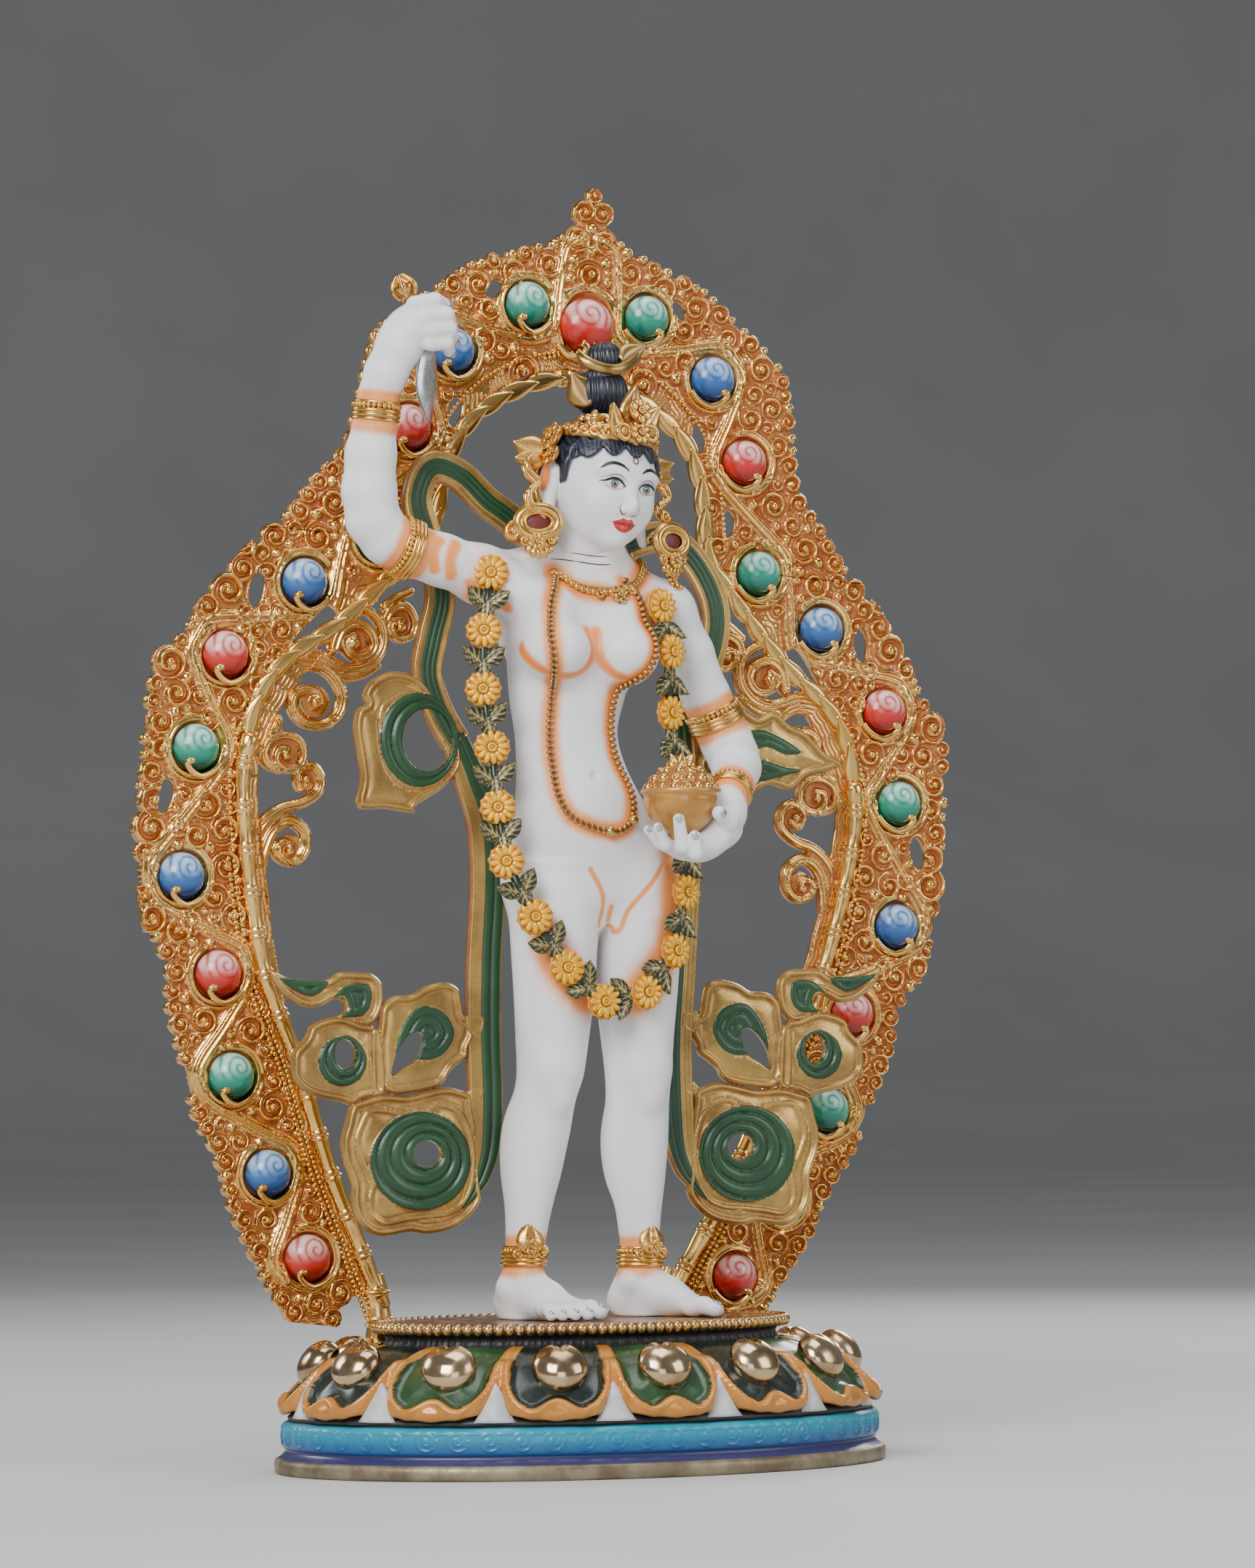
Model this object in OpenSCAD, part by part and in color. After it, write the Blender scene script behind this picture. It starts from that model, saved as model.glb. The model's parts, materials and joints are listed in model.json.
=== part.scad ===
// Standing deity figure on an oval lotus pedestal, backed by a jewelled openwork aureole.
// Millimetres. Origin: centre of the pedestal's underside. +Z is up and the figure faces -Y.
// The aureole is a separate casting: its two tenons drop into sockets at the back of the lotus,
// so it lifts straight up and out of the pedestal.

/* [Pedestal] */
// Half width of the plinth, side to side
plinth_a = 104; // [102:1:106]
// Half depth of the plinth, front to back
plinth_b = 73; // [72:1:75]
// Height of the brass rim that the statue stands on
rim_h = 5; // [4:0.5:6]
// Height of the upper face of the top plate
plate_z = 47.6; // [47:0.1:48]
// Half width of the top plate
plate_a = 69; // [68:1:70]
// Half depth of the top plate
plate_b = 44; // [43:1:45]
// Number of lotus petals round the pedestal
petal_count = 14; // [14:2:14]
// Radius of the polished boss on each petal
boss_r = 8.5; // [7.5:0.5:9]

/* [Aureole] */
// Lean of the aureole towards the figure, in degrees
halo_lean = 2.5; // [2:0.5:3]
// Sideways tilt of the aureole, in degrees
halo_tilt = 3.6; // [3:0.2:4]
// Thickness of the openwork panel
panel_t = 5; // [4:0.5:6]
// Radius of the small domed jewels
jewel_r = 7.8; // [7:0.2:8]
// Radius of the large jewel at the top of the arch
main_jewel_r = 9.6; // [9:0.2:10]
// Width of each tenon
tenon_w = 8; // [7:0.5:9]
// Thickness of each tenon
tenon_t = 4; // [3.5:0.5:4.5]
// Running gap round each tenon in its socket
tenon_gap = 0.3; // [0.25:0.05:0.4]

/* [Ornaments] */
// Radius of the garland's flowers
flower_r = 5.6; // [5:0.2:6]
// Thickness of the bead chain
chain_r = 1.3; // [1.1:0.1:1.5]
// Radius of the skull cup at its rim
cup_r = 12; // [11:0.5:12.5]

/* [Hidden] */
gold = "goldenrod";
copper = "peru";
skin = "whitesmoke";
leaf = "darkgreen";

// ---------- helpers ----------
function unit(v) = v / max(norm(v), 1e-6);
// an ellipse as a polygon
module oval(a, b, n = 96) polygon([for (i = [0:n - 1]) [a * cos(360 * i / n), b * sin(360 * i / n)]]);
module oval_plate(a, b, h) linear_extrude(h) oval(a, b);
module oval_ring(a, b, w, h) linear_extrude(h) difference() { oval(a, b); oval(a - w, b - w); }

// a closed ring of oval cross-lines: each entry of prof is [half width, half depth, height]
module oval_lathe(prof, n = 44) {
    m = len(prof);
    pts = [for (p = prof) for (i = [0:n - 1]) [p[0] * cos(360 * i / n), p[1] * sin(360 * i / n), p[2]]];
    tri = [for (j = [0:m - 1]) for (i = [0:n - 1])
        let (a = j * n + i, b = j * n + (i + 1) % n, c = ((j + 1) % m) * n + (i + 1) % n, d = ((j + 1) % m) * n + i)
        each [[a, c, b], [a, d, c]]];
    polyhedron(points = pts, faces = tri, convexity = 6);
}

// a body lofted through oval sections: each entry is [height, centre x, centre y, half width, half depth]
module loft(sec, n = 18) {
    m = len(sec);
    pts = [for (s = sec) for (i = [0:n - 1]) [s[1] + s[3] * cos(360 * i / n), s[2] + s[4] * sin(360 * i / n), s[0]]];
    side = [for (j = [0:m - 2]) for (i = [0:n - 1])
        let (a = j * n + i, b = j * n + (i + 1) % n, c = (j + 1) * n + (i + 1) % n, d = (j + 1) * n + i)
        each [[a, c, b], [a, d, c]]];
    ends = [[for (i = [0:n - 1]) i], [for (i = [n - 1:-1:0]) (m - 1) * n + i]];
    polyhedron(points = pts, faces = concat(side, ends), convexity = 6);
}

// a tube swept along 3-D points, oval in section: rn along the in-plane normal, rb along ref
module sweep(path, rn, rb, ref = [0, -1, 0], n = 8, phase = 0) {
    m = len(path);
    pts = [for (k = [0:m - 1])
        let (t = unit(path[min(k + 1, m - 1)] - path[max(k - 1, 0)]), nn = unit(cross(t, ref)), bb = cross(nn, t))
        for (i = [0:n - 1]) path[k] + rn * cos(360 * i / n + phase) * nn + rb * sin(360 * i / n + phase) * bb];
    side = [for (j = [0:m - 2]) for (i = [0:n - 1])
        let (a = j * n + i, b = j * n + (i + 1) % n, c = (j + 1) * n + (i + 1) % n, d = (j + 1) * n + i)
        each [[a, b, c], [a, c, d]]];
    ends = [[for (i = [n - 1:-1:0]) i], [for (i = [0:n - 1]) (m - 1) * n + i]];
    polyhedron(points = pts, faces = concat(side, ends), convexity = 8);
}

module bone(p, r, q, s, f = 12) hull() { translate(p) sphere(r = r, $fn = f); translate(q) sphere(r = s, $fn = f); }
module egg(c, v, f = 16) translate(c) scale(v) sphere(r = 1, $fn = f);
// a flat shape drawn in (x, z), its front face at y = -t/2
module upright(t) rotate([90, 0, 0]) translate([0, 0, -t / 2]) linear_extrude(t) children();

// ---------- pedestal ----------
petal_step = 360 / petal_count;
// oval angle of petal number i: spaced by arc length, denser at the long ends
function petal_angle(i) = let (q = i * petal_step - 90) q + 4.1 * sin(2 * q);
function on_oval(a, b, q, z) = [a * cos(q), b * sin(q), z];
function heading(a, b, q) = atan2(a * sin(q), b * cos(q));

module socket_cut(grow) for (sx = [-1, 1]) translate([sx * socket_x, socket_y, 30])
    cube([tenon_w + grow, tenon_t + grow, 40], center = true);
socket_x = 52;
socket_y = 46;

module plinth_rim() color("darkgoldenrod") difference() {
    oval_plate(plinth_a, plinth_b, rim_h);
    translate([0, 0, -1]) oval_plate(plinth_a - 6, plinth_b - 6, rim_h + 2);
}

module base_sealing_plate() color("sienna") oval_plate(plinth_a - 6, plinth_b - 6, 1.2);

module scroll_band() color("deepskyblue") union() {
    translate([0, 0, rim_h]) oval_ring(101.5, 70.5, 3, 3.4);
    translate([0, 0, rim_h + 3.4]) oval_ring(103, 72, 4.5, 7.6);
    translate([0, 0, rim_h + 11]) oval_ring(99, 68, 3, 1.5);
}

module lotus_shell() color("black") difference() {
    oval_lathe([[99, 68, 17.5], [96, 66, 22], [90, 61, 28], [84, 57, 34], [76, 50, 38], [68, 42, 39],
                [64, 38, 37], [72, 46, 35], [80, 54, 31], [87, 59, 25], [92, 63, 19], [93, 63, 17.5]]);
    socket_cut(4);
}

module petal(i) {
    q = petal_angle(i);
    hd = heading(100, 70, q);
    for (side = [-1, 1]) hull() {
        translate(on_oval(85, 58, q, 33)) rotate([0, 0, hd]) translate([-1, side * 5, 0]) sphere(r = 7, $fn = 8);
        translate(on_oval(91, 62, q, 27)) rotate([0, 0, hd]) translate([0, side * 9, 0]) sphere(r = 6, $fn = 8);
        translate(on_oval(97, 66.5, q, 20)) rotate([0, 0, hd]) translate([0, side * 3, 0]) sphere(r = 2.6, $fn = 6);
        translate(on_oval(76, 50, q, 37)) rotate([0, 0, hd]) translate([0, side * 4, 0]) sphere(r = 3, $fn = 6);
    }
}
module lotus_core_cut() oval_lathe([[99, 68, 16], [99, 68, 17.5], [96, 66, 22], [90, 61, 28], [84, 57, 34], [76, 50, 38],
    [68, 42, 39], [68, 42, 42.5], [1, 1, 42.5], [1, 1, 16]]);
module light_petals() color("seagreen") difference() {
    for (i = [1:2:petal_count - 1]) petal(i);
    lotus_core_cut();
    socket_cut(4);
    for (i = [0:petal_count - 1]) {
        q = petal_angle(i);
        translate(on_oval(88, 61.5, q, 34.5)) rotate([0, 0, heading(100, 70, q)]) rotate([0, 52, 0])
            cylinder(r1 = boss_r, r2 = boss_r * 0.55, h = 5.5, $fn = 12);
    }
}
module dark_petals() color("darkslategray") difference() {
    for (i = [0:2:petal_count - 2]) petal(i);
    lotus_core_cut();
    socket_cut(4);
    for (i = [0:petal_count - 1]) {
        q = petal_angle(i);
        translate(on_oval(88, 61.5, q, 34.5)) rotate([0, 0, heading(100, 70, q)]) rotate([0, 52, 0])
            cylinder(r1 = boss_r, r2 = boss_r * 0.55, h = 5.5, $fn = 12);
    }
}
module petal_bosses() color("gold") difference() {
    for (i = [0:petal_count - 1]) {
        q = petal_angle(i);
        translate(on_oval(88, 61.5, q, 34.5)) rotate([0, 0, heading(100, 70, q)]) rotate([0, 52, 0])
            cylinder(r1 = boss_r, r2 = boss_r * 0.55, h = 5.5, $fn = 24);
    }
    socket_cut(4);
    // clearance under the feet of the aureole
    translate([-200, 44.8, 35.6]) cube([400, 6.6, 20]);
}
module white_sepals() color("white") for (i = [0:petal_count - 1]) {
    q = petal_angle(i + 0.5);
    translate(on_oval(99.6, 68.6, q, 17.5)) rotate([0, 0, heading(100, 70, q)]) rotate([90, 0, 90])
        linear_extrude(2) polygon([[-5, 0], [5, 0], [0, 8]]);
}

module neck_collar() color("dimgray") difference() {
    oval_lathe([[68, 43, 39], [66, 41, 42], [67, 42, plate_z - 2.6], [62, 37, plate_z - 2.6], [61, 36, 42], [63, 38, 39]]);
    socket_cut(4);
}
module top_plate() color("orange") difference() {
    translate([0, 0, plate_z - 2.6]) oval_plate(plate_a, plate_b, 2.6);
    for (p = ankles) translate([p[0], p[1], 30]) cylinder(r = 2.4, h = 40, $fn = 32);
}
module beaded_rope_rim() color(gold) translate([0, 0, plate_z - 2.6]) oval_ring(plate_a + 2.5, plate_b + 2.5, 2.5, 2.6);

ankles = [[-20, 2], [21.5, 1]];
module foot_tangs() color("peru") for (p = ankles) {
    translate([p[0], p[1], plate_z - 6.6]) cylinder(r = 4.5, h = 4, $fn = 6);
    translate([p[0], p[1], plate_z - 6.6]) cylinder(r = 2.4, h = 18, $fn = 32);
}
module aureole_sockets() color("peru") difference() {
    for (sx = [-1, 1]) translate([sx * socket_x, socket_y, 28]) cube([tenon_w + 4, tenon_t + 4, 18], center = true);
    for (sx = [-1, 1]) translate([sx * socket_x, socket_y, 29.5])
        cube([tenon_w + 2 * tenon_gap, tenon_t + 2 * tenon_gap, 18], center = true);
}

// ---------- figure ----------
trunk = [[180, 7, 1, 24, 13], [190, 6.5, 1.5, 30, 18], [198, 6, 1.5, 30, 18.5], [208, 3.5, 0.5, 26.5, 17], [222, -0.5, -0.5, 20.5, 15],
    [238, -3, 0, 17.5, 13.5], [252, -2, 1, 20, 14.5], [266, 0.5, 1.5, 23, 15.5], [278, 2, 2, 25, 14.5], [287, 3.5, 2, 21, 11.5],
    [293, 6, 1.5, 10.5, 9], [304, 7.5, 0, 8.4, 8.4], [308, 8, 0, 8.2, 8.2]];
right_leg = [[47.6, -20.5, 1.5, 6.6, 8.6], [58, -20, 2, 6.4, 7.4], [70, -19.2, 2, 6.4, 7], [82, -18, 2, 7.6, 8.4], [96, -16.2, 2, 9.4, 10.4],
    [108, -14.4, 1.5, 10.4, 11.4], [118, -12.6, -0.5, 10.4, 11], [127, -10.8, -2, 11, 11.4], [140, -9.8, -1.5, 11.8, 12.6],
    [155, -9, -1, 13, 14], [170, -8.4, 0, 14, 15.4], [184, -6.5, 1, 16, 16.6], [194, -4, 1.5, 15, 15]];
left_leg = [[47.6, 21.8, 0.5, 6.6, 8.6], [58, 21.6, 1, 6.4, 7.4], [70, 21.4, 1, 6.4, 7], [82, 21.2, 1, 7.6, 8.4], [96, 21, 1.5, 9.4, 10.4],
    [108, 20.8, 1, 10.4, 11.4], [118, 20.8, -0.5, 10.4, 11], [127, 20.8, -2, 11, 11.4], [140, 20.6, -1.5, 12, 12.8],
    [155, 20.6, -1, 13.4, 14.2], [170, 20.8, 0, 14.6, 15.6], [184, 21, 1, 16, 16.6], [194, 18, 1.5, 15, 15]];
function foot_pt(o, yaw, d, w, z) = [o[0] + d * sin(yaw) + w * cos(yaw), o[1] - d * cos(yaw) + w * sin(yaw), z];
module foot(o, yaw) {
    bone(foot_pt(o, yaw, -3, 0, 53), 6.2, foot_pt(o, yaw, 10, 0, 54), 6, 12);
    bone(foot_pt(o, yaw, 8, 0, 55), 6.4, foot_pt(o, yaw, 22, -3, 51.4), 4, 12);
    bone(foot_pt(o, yaw, 8, 0, 53), 5.6, foot_pt(o, yaw, 21, 4, 51), 3.6, 12);
    for (k = [0:4]) bone(foot_pt(o, yaw, 21 - k, 6.4 - 3 * k, 50.6), 2.6, foot_pt(o, yaw, 28 - 1.4 * k, 7.6 - 3.4 * k, 50), 2.3 - 0.12 * k, 8);
}
module body_shape() {
    loft(trunk);
    loft(right_leg, 14);
    loft(left_leg, 14);
    foot(ankles[0], 19);
    foot(ankles[1], 42);
    bone([-9, -8, 263], 9.5, [-10, -14.5, 260], 8, 14);
    bone([12, -8, 263], 9.5, [13.5, -14.5, 260], 8, 14);
    bone([-20, 3, 285], 8.5, [-33, 3, 291], 8.2);
    bone([22, 3, 282], 8.5, [33, 3, 280], 7.6);
    bone([-6, 9, 190], 12, [-8, 10, 196], 10);
    bone([19, 9, 190], 12, [20, 10, 196], 10);
}
module body_casting() color(skin) difference() {
    body_shape();
    translate([0, 0, plate_z - 50]) cube([200, 200, 100], center = true);
    for (p = ankles) translate([p[0], p[1], 30]) cylinder(r = 2.4, h = 30, $fn = 32);
    head_shape();
}

head_c = [8, -3, 321];
head_yaw = 12;
module head_shape() translate(head_c) rotate([-4, 0, head_yaw]) {
    egg([0, 2, 5], [19.5, 21, 20.5]);
    hull() { egg([0, -4, -4], [17, 14, 14], 16); egg([0, -10, -18], [6.5, 5.5, 5.5], 14); egg([0, 4, -8], [15, 13, 10], 14); }
    bone([0, -17, 0], 1.6, [0, -21, -7.5], 2.6, 10);
    egg([-19, 4, -4], [2.4, 4, 8], 12);
    egg([19, 4, -4], [2.4, 4, 8], 12);
}
module head() color(skin) difference() {
    head_shape();
    translate([7.5, 0, 298]) cylinder(r = 3, h = 10, $fn = 24);
}
module hair_shape() {
    translate(head_c) rotate([-4, 0, head_yaw]) {
        hull() { egg([0, 4, 8], [21.6, 21, 18.4]); egg([0, -6, 19], [15, 12, 7], 16); }
        egg([0, 13, 2], [16, 10, 14], 16);
    }
    bone([10, 2, 342], 8, [10.4, 2, 350], 8);
    bone([10.4, 2, 350], 8.4, [11, 2, 354], 7);
    bone([11, 2, 356], 5, [12, 2, 362], 5);
    bone([12, 2, 362], 5, [14, 2, 368], 2.6);
    for (sx = [-1, 1]) bone(head_c + [sx * 19, 10, -6], 4, head_c + [sx * 22, 10, -24], 3.5, 10);
    bone([8, 14, 318], 9, [7, 14, 296], 6, 12);
}
module hair_and_topknot() color("midnightblue") difference() {
    hair_shape();
    head_shape();
    body_shape();
}
module topknot_crescent() color(gold) difference() {
    for (k = [[10.6, 351, 10], [11.6, 359, 8]]) translate([k[0], 2, k[1]]) rotate_extrude($fn = 18) translate([k[2] - 1.6, 0]) circle(r = 1.4, $fn = 8);
    hair_shape();
}
module crown() color(gold) translate(head_c) rotate([-12, 0, head_yaw]) difference() {
    union() {
        translate([0, 2, 13]) cylinder(r = 23, h = 4, $fn = 48);
        for (q = [-70, -35, 0, 35, 70]) rotate([0, 0, q]) translate([0, -19.8, 17]) rotate([-8, 0, 0]) rotate([90, 0, 0])
            linear_extrude(2.4) polygon([[-6, -1], [6, -1], [7, 5], [3, 9], [0, 15], [-3, 9], [-7, 5]]);
        for (q = [-70, -35, 0, 35, 70]) rotate([0, 0, q]) translate([0, -21, 16]) rotate([90, 0, 0]) cylinder(r = 4, h = 3.4, $fn = 24);
    }
    translate([0, 2, 12]) cylinder(r = 21.6, h = 6, $fn = 48);
}
module earring(c, yaw) translate(c) rotate([0, 0, yaw]) {
    rotate([90, 0, 0]) rotate_extrude($fn = 40) translate([5.6, 0]) circle(r = 1.7, $fn = 16);
    rotate([90, 0, 0]) translate([0, 0, -0.6]) cylinder(r = 4.2, h = 1.2, $fn = 32);
    translate([0, 0, -9.5]) sphere(r = 3, $fn = 24);
}
module right_earring() color(gold) earring([-16.5, -9, 307], 12);
module left_earring() color(gold) earring([33, -3, 302], 12);

shoulder_r = [-34, 3, 292];
elbow_r = [-71, 1, 304];
wrist_r = [-68, -4, 348];
fist_r = [-51, -9, 371];
shoulder_l = [34, 3, 279];
elbow_l = [58, 6, 238];
wrist_l = [45, -27, 218];
palm_l = [30, -36, 207];
module right_arm_shape() {
    bone(shoulder_r, 8.4, (shoulder_r + elbow_r) / 2, 8.4);
    bone((shoulder_r + elbow_r) / 2, 8.4, elbow_r, 7.6);
    bone(elbow_r, 7.6, [-71, -1, 320], 8.2);
    bone([-71, -1, 320], 8.2, wrist_r, 5.6);
}
module right_arm() color(skin) difference() { right_arm_shape(); body_shape(); right_hand_shape(); }
module right_hand_shape() {
    bone(wrist_r + [1, -1, 3], 5.6, wrist_r + [8, -3, 12], 6.2, 10);
    bone(wrist_r + [8, -3, 12], 6.4, fist_r, 7, 10);
    for (k = [0:3]) {
        bone(fist_r + [-1 - 2 * k, -7, 5 - 3.4 * k], 2.2, fist_r + [6 - 2 * k, -6, 6 - 3.4 * k], 2.1, 8);
        bone(fist_r + [6 - 2 * k, -6, 6 - 3.4 * k], 2.1, fist_r + [8 - 2 * k, 0, 5 - 3.4 * k], 2, 8);
    }
    bone(fist_r + [-2, 4, 6], 2.4, fist_r + [5, 3, 9], 2.2, 8);
}
module right_hand() color(skin) difference() { right_hand_shape(); handle_shape(); }
module left_arm_shape() {
    bone(shoulder_l, 8, (shoulder_l + elbow_l) / 2, 8);
    bone((shoulder_l + elbow_l) / 2, 8, elbow_l, 7);
    bone(elbow_l, 7, (elbow_l + wrist_l) / 2, 7.2);
    bone((elbow_l + wrist_l) / 2, 7.2, wrist_l, 5.4);
}
module left_arm() color(skin) difference() { left_arm_shape(); body_shape(); left_hand_shape(); }
module left_hand_shape() {
    bone(wrist_l + [-2, -2, -2], 5.2, palm_l + [4, 2, 0], 5.6, 10);
    bone(palm_l + [4, 2, 0], 5.6, palm_l + [-6, 0, -3], 4.8, 10);
    for (k = [0:3]) {
        bone(palm_l + [-6 + 2 * k, -3, -4], 2.3, palm_l + [-14 + 4.4 * k, -7, 0], 2.1, 8);
        bone(palm_l + [-14 + 4.4 * k, -7, 0], 2.1, palm_l + [-18 + 5 * k, -9 - k, 6], 1.8, 8);
    }
    bone(palm_l + [2, 4, 2], 2.6, palm_l + [-4, 9, 8], 2.2, 8);
}
module left_hand() color(skin) difference() { left_hand_shape(); cup_solid(); }

// ---------- ornaments ----------
module necklace() color(gold) difference() {
    sweep([for (q = [-200:20:20]) [6.6 + 13.5 * cos(q), 0.5 + 12.5 * sin(q), 288.5 + 3.5 * sin(q)]], chain_r, chain_r, [0, 0, 1]);
    body_shape();
}
chain_path = [[-10, -8, 287], [-15, -14, 280], [-19, -21, 270], [-18, -23, 260], [-16, -18.5, 250], [-16, -14.5, 240],
    [-16, -14.5, 228], [-15.5, -17, 218], [-11, -19.5, 211], [-3, -20.5, 206.5], [6, -20.5, 205.5], [13, -18.5, 209], [15, -16, 218],
    [12.5, -14.5, 230], [11, -14.5, 242], [13, -18.5, 251], [18, -22, 259], [19, -20.5, 270], [16, -12, 281], [13, -8, 287]];
module bead_chain() color(gold) difference() {
    sweep(chain_path, chain_r, chain_r, [0, -1, 0.2]);
    body_shape();
    necklace_cut();
}
module necklace_cut() translate([6.6, 0.5, 288.5]) scale([1, 1, 1]) cylinder(r = 15.5, h = 4, center = true, $fn = 32);
garland = [[-33, -7, 290], [-36.5, -9, 271], [-37, -9, 252], [-34.5, -10, 233], [-33.5, -12, 213.5], [-32, -15, 196], [-23.5, -18, 178],
    [-13, -19, 161.5], [0, -19, 150.5], [15, -19, 153.5], [25.5, -19, 167], [29.5, -19, 186], [31.5, -16, 205], [30, -12, 224], [28.5, -11, 245],
    [28, -13, 265], [25, -12, 280]];
module flower(c) translate(c) rotate([90, 0, 0]) {
    cylinder(r = flower_r, h = 2.4, $fn = 10);
    translate([0, 0, 2.4]) cylinder(r = flower_r * 0.45, h = 1.4, $fn = 8);
}
module garland_flowers() color("gold") difference() {
    for (c = garland) flower(c);
    union() for (k = [0:7]) hull() { translate([0, 200 + k, 0]) sphere(r = 0.2, $fn = 8); translate([0.2, 200 + k, 0]) sphere(r = 0.2, $fn = 8); }
    body_shape();
    left_hand_shape();
    left_arm_shape();
}
module garland_leaves() color(leaf) difference() {
    union() for (k = [0:len(garland) - 2]) let (m = (garland[k] + garland[k + 1]) / 2, d = unit(garland[k + 1] - garland[k]))
        bone(m - 4.4 * d + [0, -0.6, 0], 2.6, m + 4.4 * d + [0, -0.6, 0], 2.6, 6);
    for (c = garland) flower(c);
    body_shape();
    left_hand_shape();
    left_arm_shape();
}
module cuff(p, q, r, w = 4.6) {
    d = unit(q - p);
    translate(p) rotate([0, acos(d[2]), atan2(d[1], d[0])]) rotate_extrude($fn = 20)
        polygon([[r - 1.4, -w / 2], [r + 1.1, -w / 2], [r + 1.7, 0], [r + 1.1, w / 2], [r - 1.4, w / 2]]);
}
module armlets() color(gold) difference() {
    union() {
        cuff([-58, 1.7, 299.8], elbow_r, 8.2);
        cuff([53.6, 5.4, 245.6], elbow_l, 7.6);
    }
    union() { right_arm_shape(); left_arm_shape(); body_shape(); }
}
module bracelets() color(gold) difference() {
    union() {
        cuff([-68.8, -2.9, 339], wrist_r, 6.6);
        cuff([47.6, -20.4, 222], wrist_l, 6.4);
    }
    union() { right_arm_shape(); left_arm_shape(); right_hand_shape(); left_hand_shape(); }
}
module anklets() color(gold) difference() {
    union() for (p = [[-19.4, 2, 69], [21.4, 1, 68]]) translate(p) {
        rotate_extrude($fn = 20) polygon([[5.4, -2.5], [8.4, -2.5], [9.2, 0], [8.4, 2.5], [5.4, 2.5]]);
        translate([0, -6.6, 1]) rotate([90, 0, 0]) linear_extrude(2.6) polygon([[-4.4, 0], [4.4, 0], [5, 5], [2.4, 9], [0, 13], [-2.4, 9], [-5, 5]]);
    }
    union() body_shape();
}
module handle_shape() {
    hull() { translate(fist_r + [-9, 1, 11]) sphere(r = 2.6, $fn = 12); translate(fist_r + [-2, 0, -6]) sphere(r = 2, $fn = 12); }
    hull() { translate(fist_r + [-8.6, 1, 9]) sphere(r = 3.8, $fn = 12); translate(fist_r + [-7.2, 0.8, 5]) sphere(r = 2.2, $fn = 12); }
}
module knife_handle() color(gold) handle_shape();
module knife_blade() color("silver") difference() {
    translate(fist_r + [-1.2, 0, -7.4]) rotate([90, 0, 90]) translate([0, 0, -0.8]) linear_extrude(1.6)
        polygon([[-2, 0], [2, 0], [3, -4], [8, -8], [9, -14], [5, -22], [-2, -28], [-6, -30], [-8, -24], [-8, -14], [-5, -7], [-3, -4]]);
    union() { right_hand_shape(); handle_shape(); }
}
cup_at = [21, -35, 206];
module cup_solid() translate(cup_at) cylinder(r = cup_r + 0.1, h = 22, $fn = 48);
module skull_cup() color("goldenrod") translate(cup_at) rotate_extrude($fn = 64)
    polygon([[0, 0], [5, 0], [9, 2.5], [cup_r - 0.6, 7], [cup_r, 13], [cup_r - 1.6, 13], [cup_r - 2.2, 7.5], [8, 4.2], [4.6, 2], [0, 2]]);
module cup_offering() color("gold") translate(cup_at) rotate_extrude($fn = 64)
    polygon([[0, 2], [4.6, 2], [8, 4.2], [cup_r - 2.2, 7.5], [cup_r - 1.6, 13], [cup_r - 0.4, 13], [cup_r - 1, 15.4], [8, 19], [4, 21.6], [0, 22.6]]);

// ---------- scarf: flat cast ribbons behind the figure ----------
scarf_y = 16;
ribbon_t = 3;
function flat3(path, y) = [for (p = path) [p[0], y, p[1]]];
module ribbon(path, w, y = scarf_y) sweep(flat3(path, y), w / 2 * 1.414, ribbon_t / 2 * 1.414, [0, -1, 0], 4, 45);
module scarf_left_shoulder() color(leaf) difference() {
    ribbon([[-8, 304], [-22, 314], [-34, 324], [-44, 326], [-49, 316], [-46, 304], [-42, 294], [-41, 282], [-44, 270], [-46, 258], [-42, 246], [-36, 236]], 9);
    union() { body_shape(); hair_shape(); right_arm_shape(); }
}
module scarf_right_shoulder() color(leaf) difference() {
    ribbon([[26, 302], [38, 306], [49, 300], [57, 288], [59, 276], [55, 262], [48, 254], [40, 250]], 9);
    union() { body_shape(); hair_shape(); left_arm_shape(); }
}
module scarf_left_fall() color(leaf) ribbon([[-37, 236], [-31, 224], [-26, 210], [-25, 190], [-27, 165], [-29, 140], [-29, 124.4]], 12);
module scarf_right_fall() color(leaf) ribbon([[47, 249], [48, 220], [46, 190], [44, 160], [42, 140], [42, 124.4]], 11);
module scarf_left_loop() color(leaf) difference() {
    translate([0, scarf_y, 0]) upright(ribbon_t) difference() {
        polygon([[-72, 218], [-70, 252], [-58, 259], [-46, 252], [-36.4, 240], [-34, 233], [-36, 218], [-50, 214], [-62, 213]]);
        translate([-53, 236]) circle(r = 3, $fn = 32);
    }
    scarf_left_fall();
    scarf_left_shoulder();
}
module swirl_outline(m) {
    circle(r = 23.5, $fn = 48);
    for (q = [0:60:300]) rotate(q) translate([20, 0]) circle(r = 8, $fn = 32);
}
module knot_outline() {
    difference() { circle(r = 16, $fn = 40); translate([-2, -2]) circle(r = 4, $fn = 32); }
    translate([-21, -3]) difference() { circle(r = 12, $fn = 40); circle(r = 3, $fn = 32); }
    translate([-20, 16]) polygon([[-22, 6], [-14, 0], [2, -10], [16, -8], [14, 4], [2, 10], [-8, 4]]);
}
module scarf_left_swirl() color(leaf) difference() {
    translate([-50.5, scarf_y, 99.5]) upright(ribbon_t) difference() {
        union() { swirl_outline(); translate([5, 37]) knot_outline(); translate([10, 0]) square([14, 24.9]); }
        translate([0, 2]) circle(r = 4.6, $fn = 32);
    }
}
module scarf_right_swirl() color(leaf) difference() {
    translate([68, scarf_y, 100]) upright(ribbon_t) difference() {
        union() { swirl_outline(); translate([-2, 38]) mirror([1, 0]) knot_outline(); translate([-26, 0]) square([14, 24.4]); }
        translate([-2, 0]) circle(r = 4.6, $fn = 32);
    }
}
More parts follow.
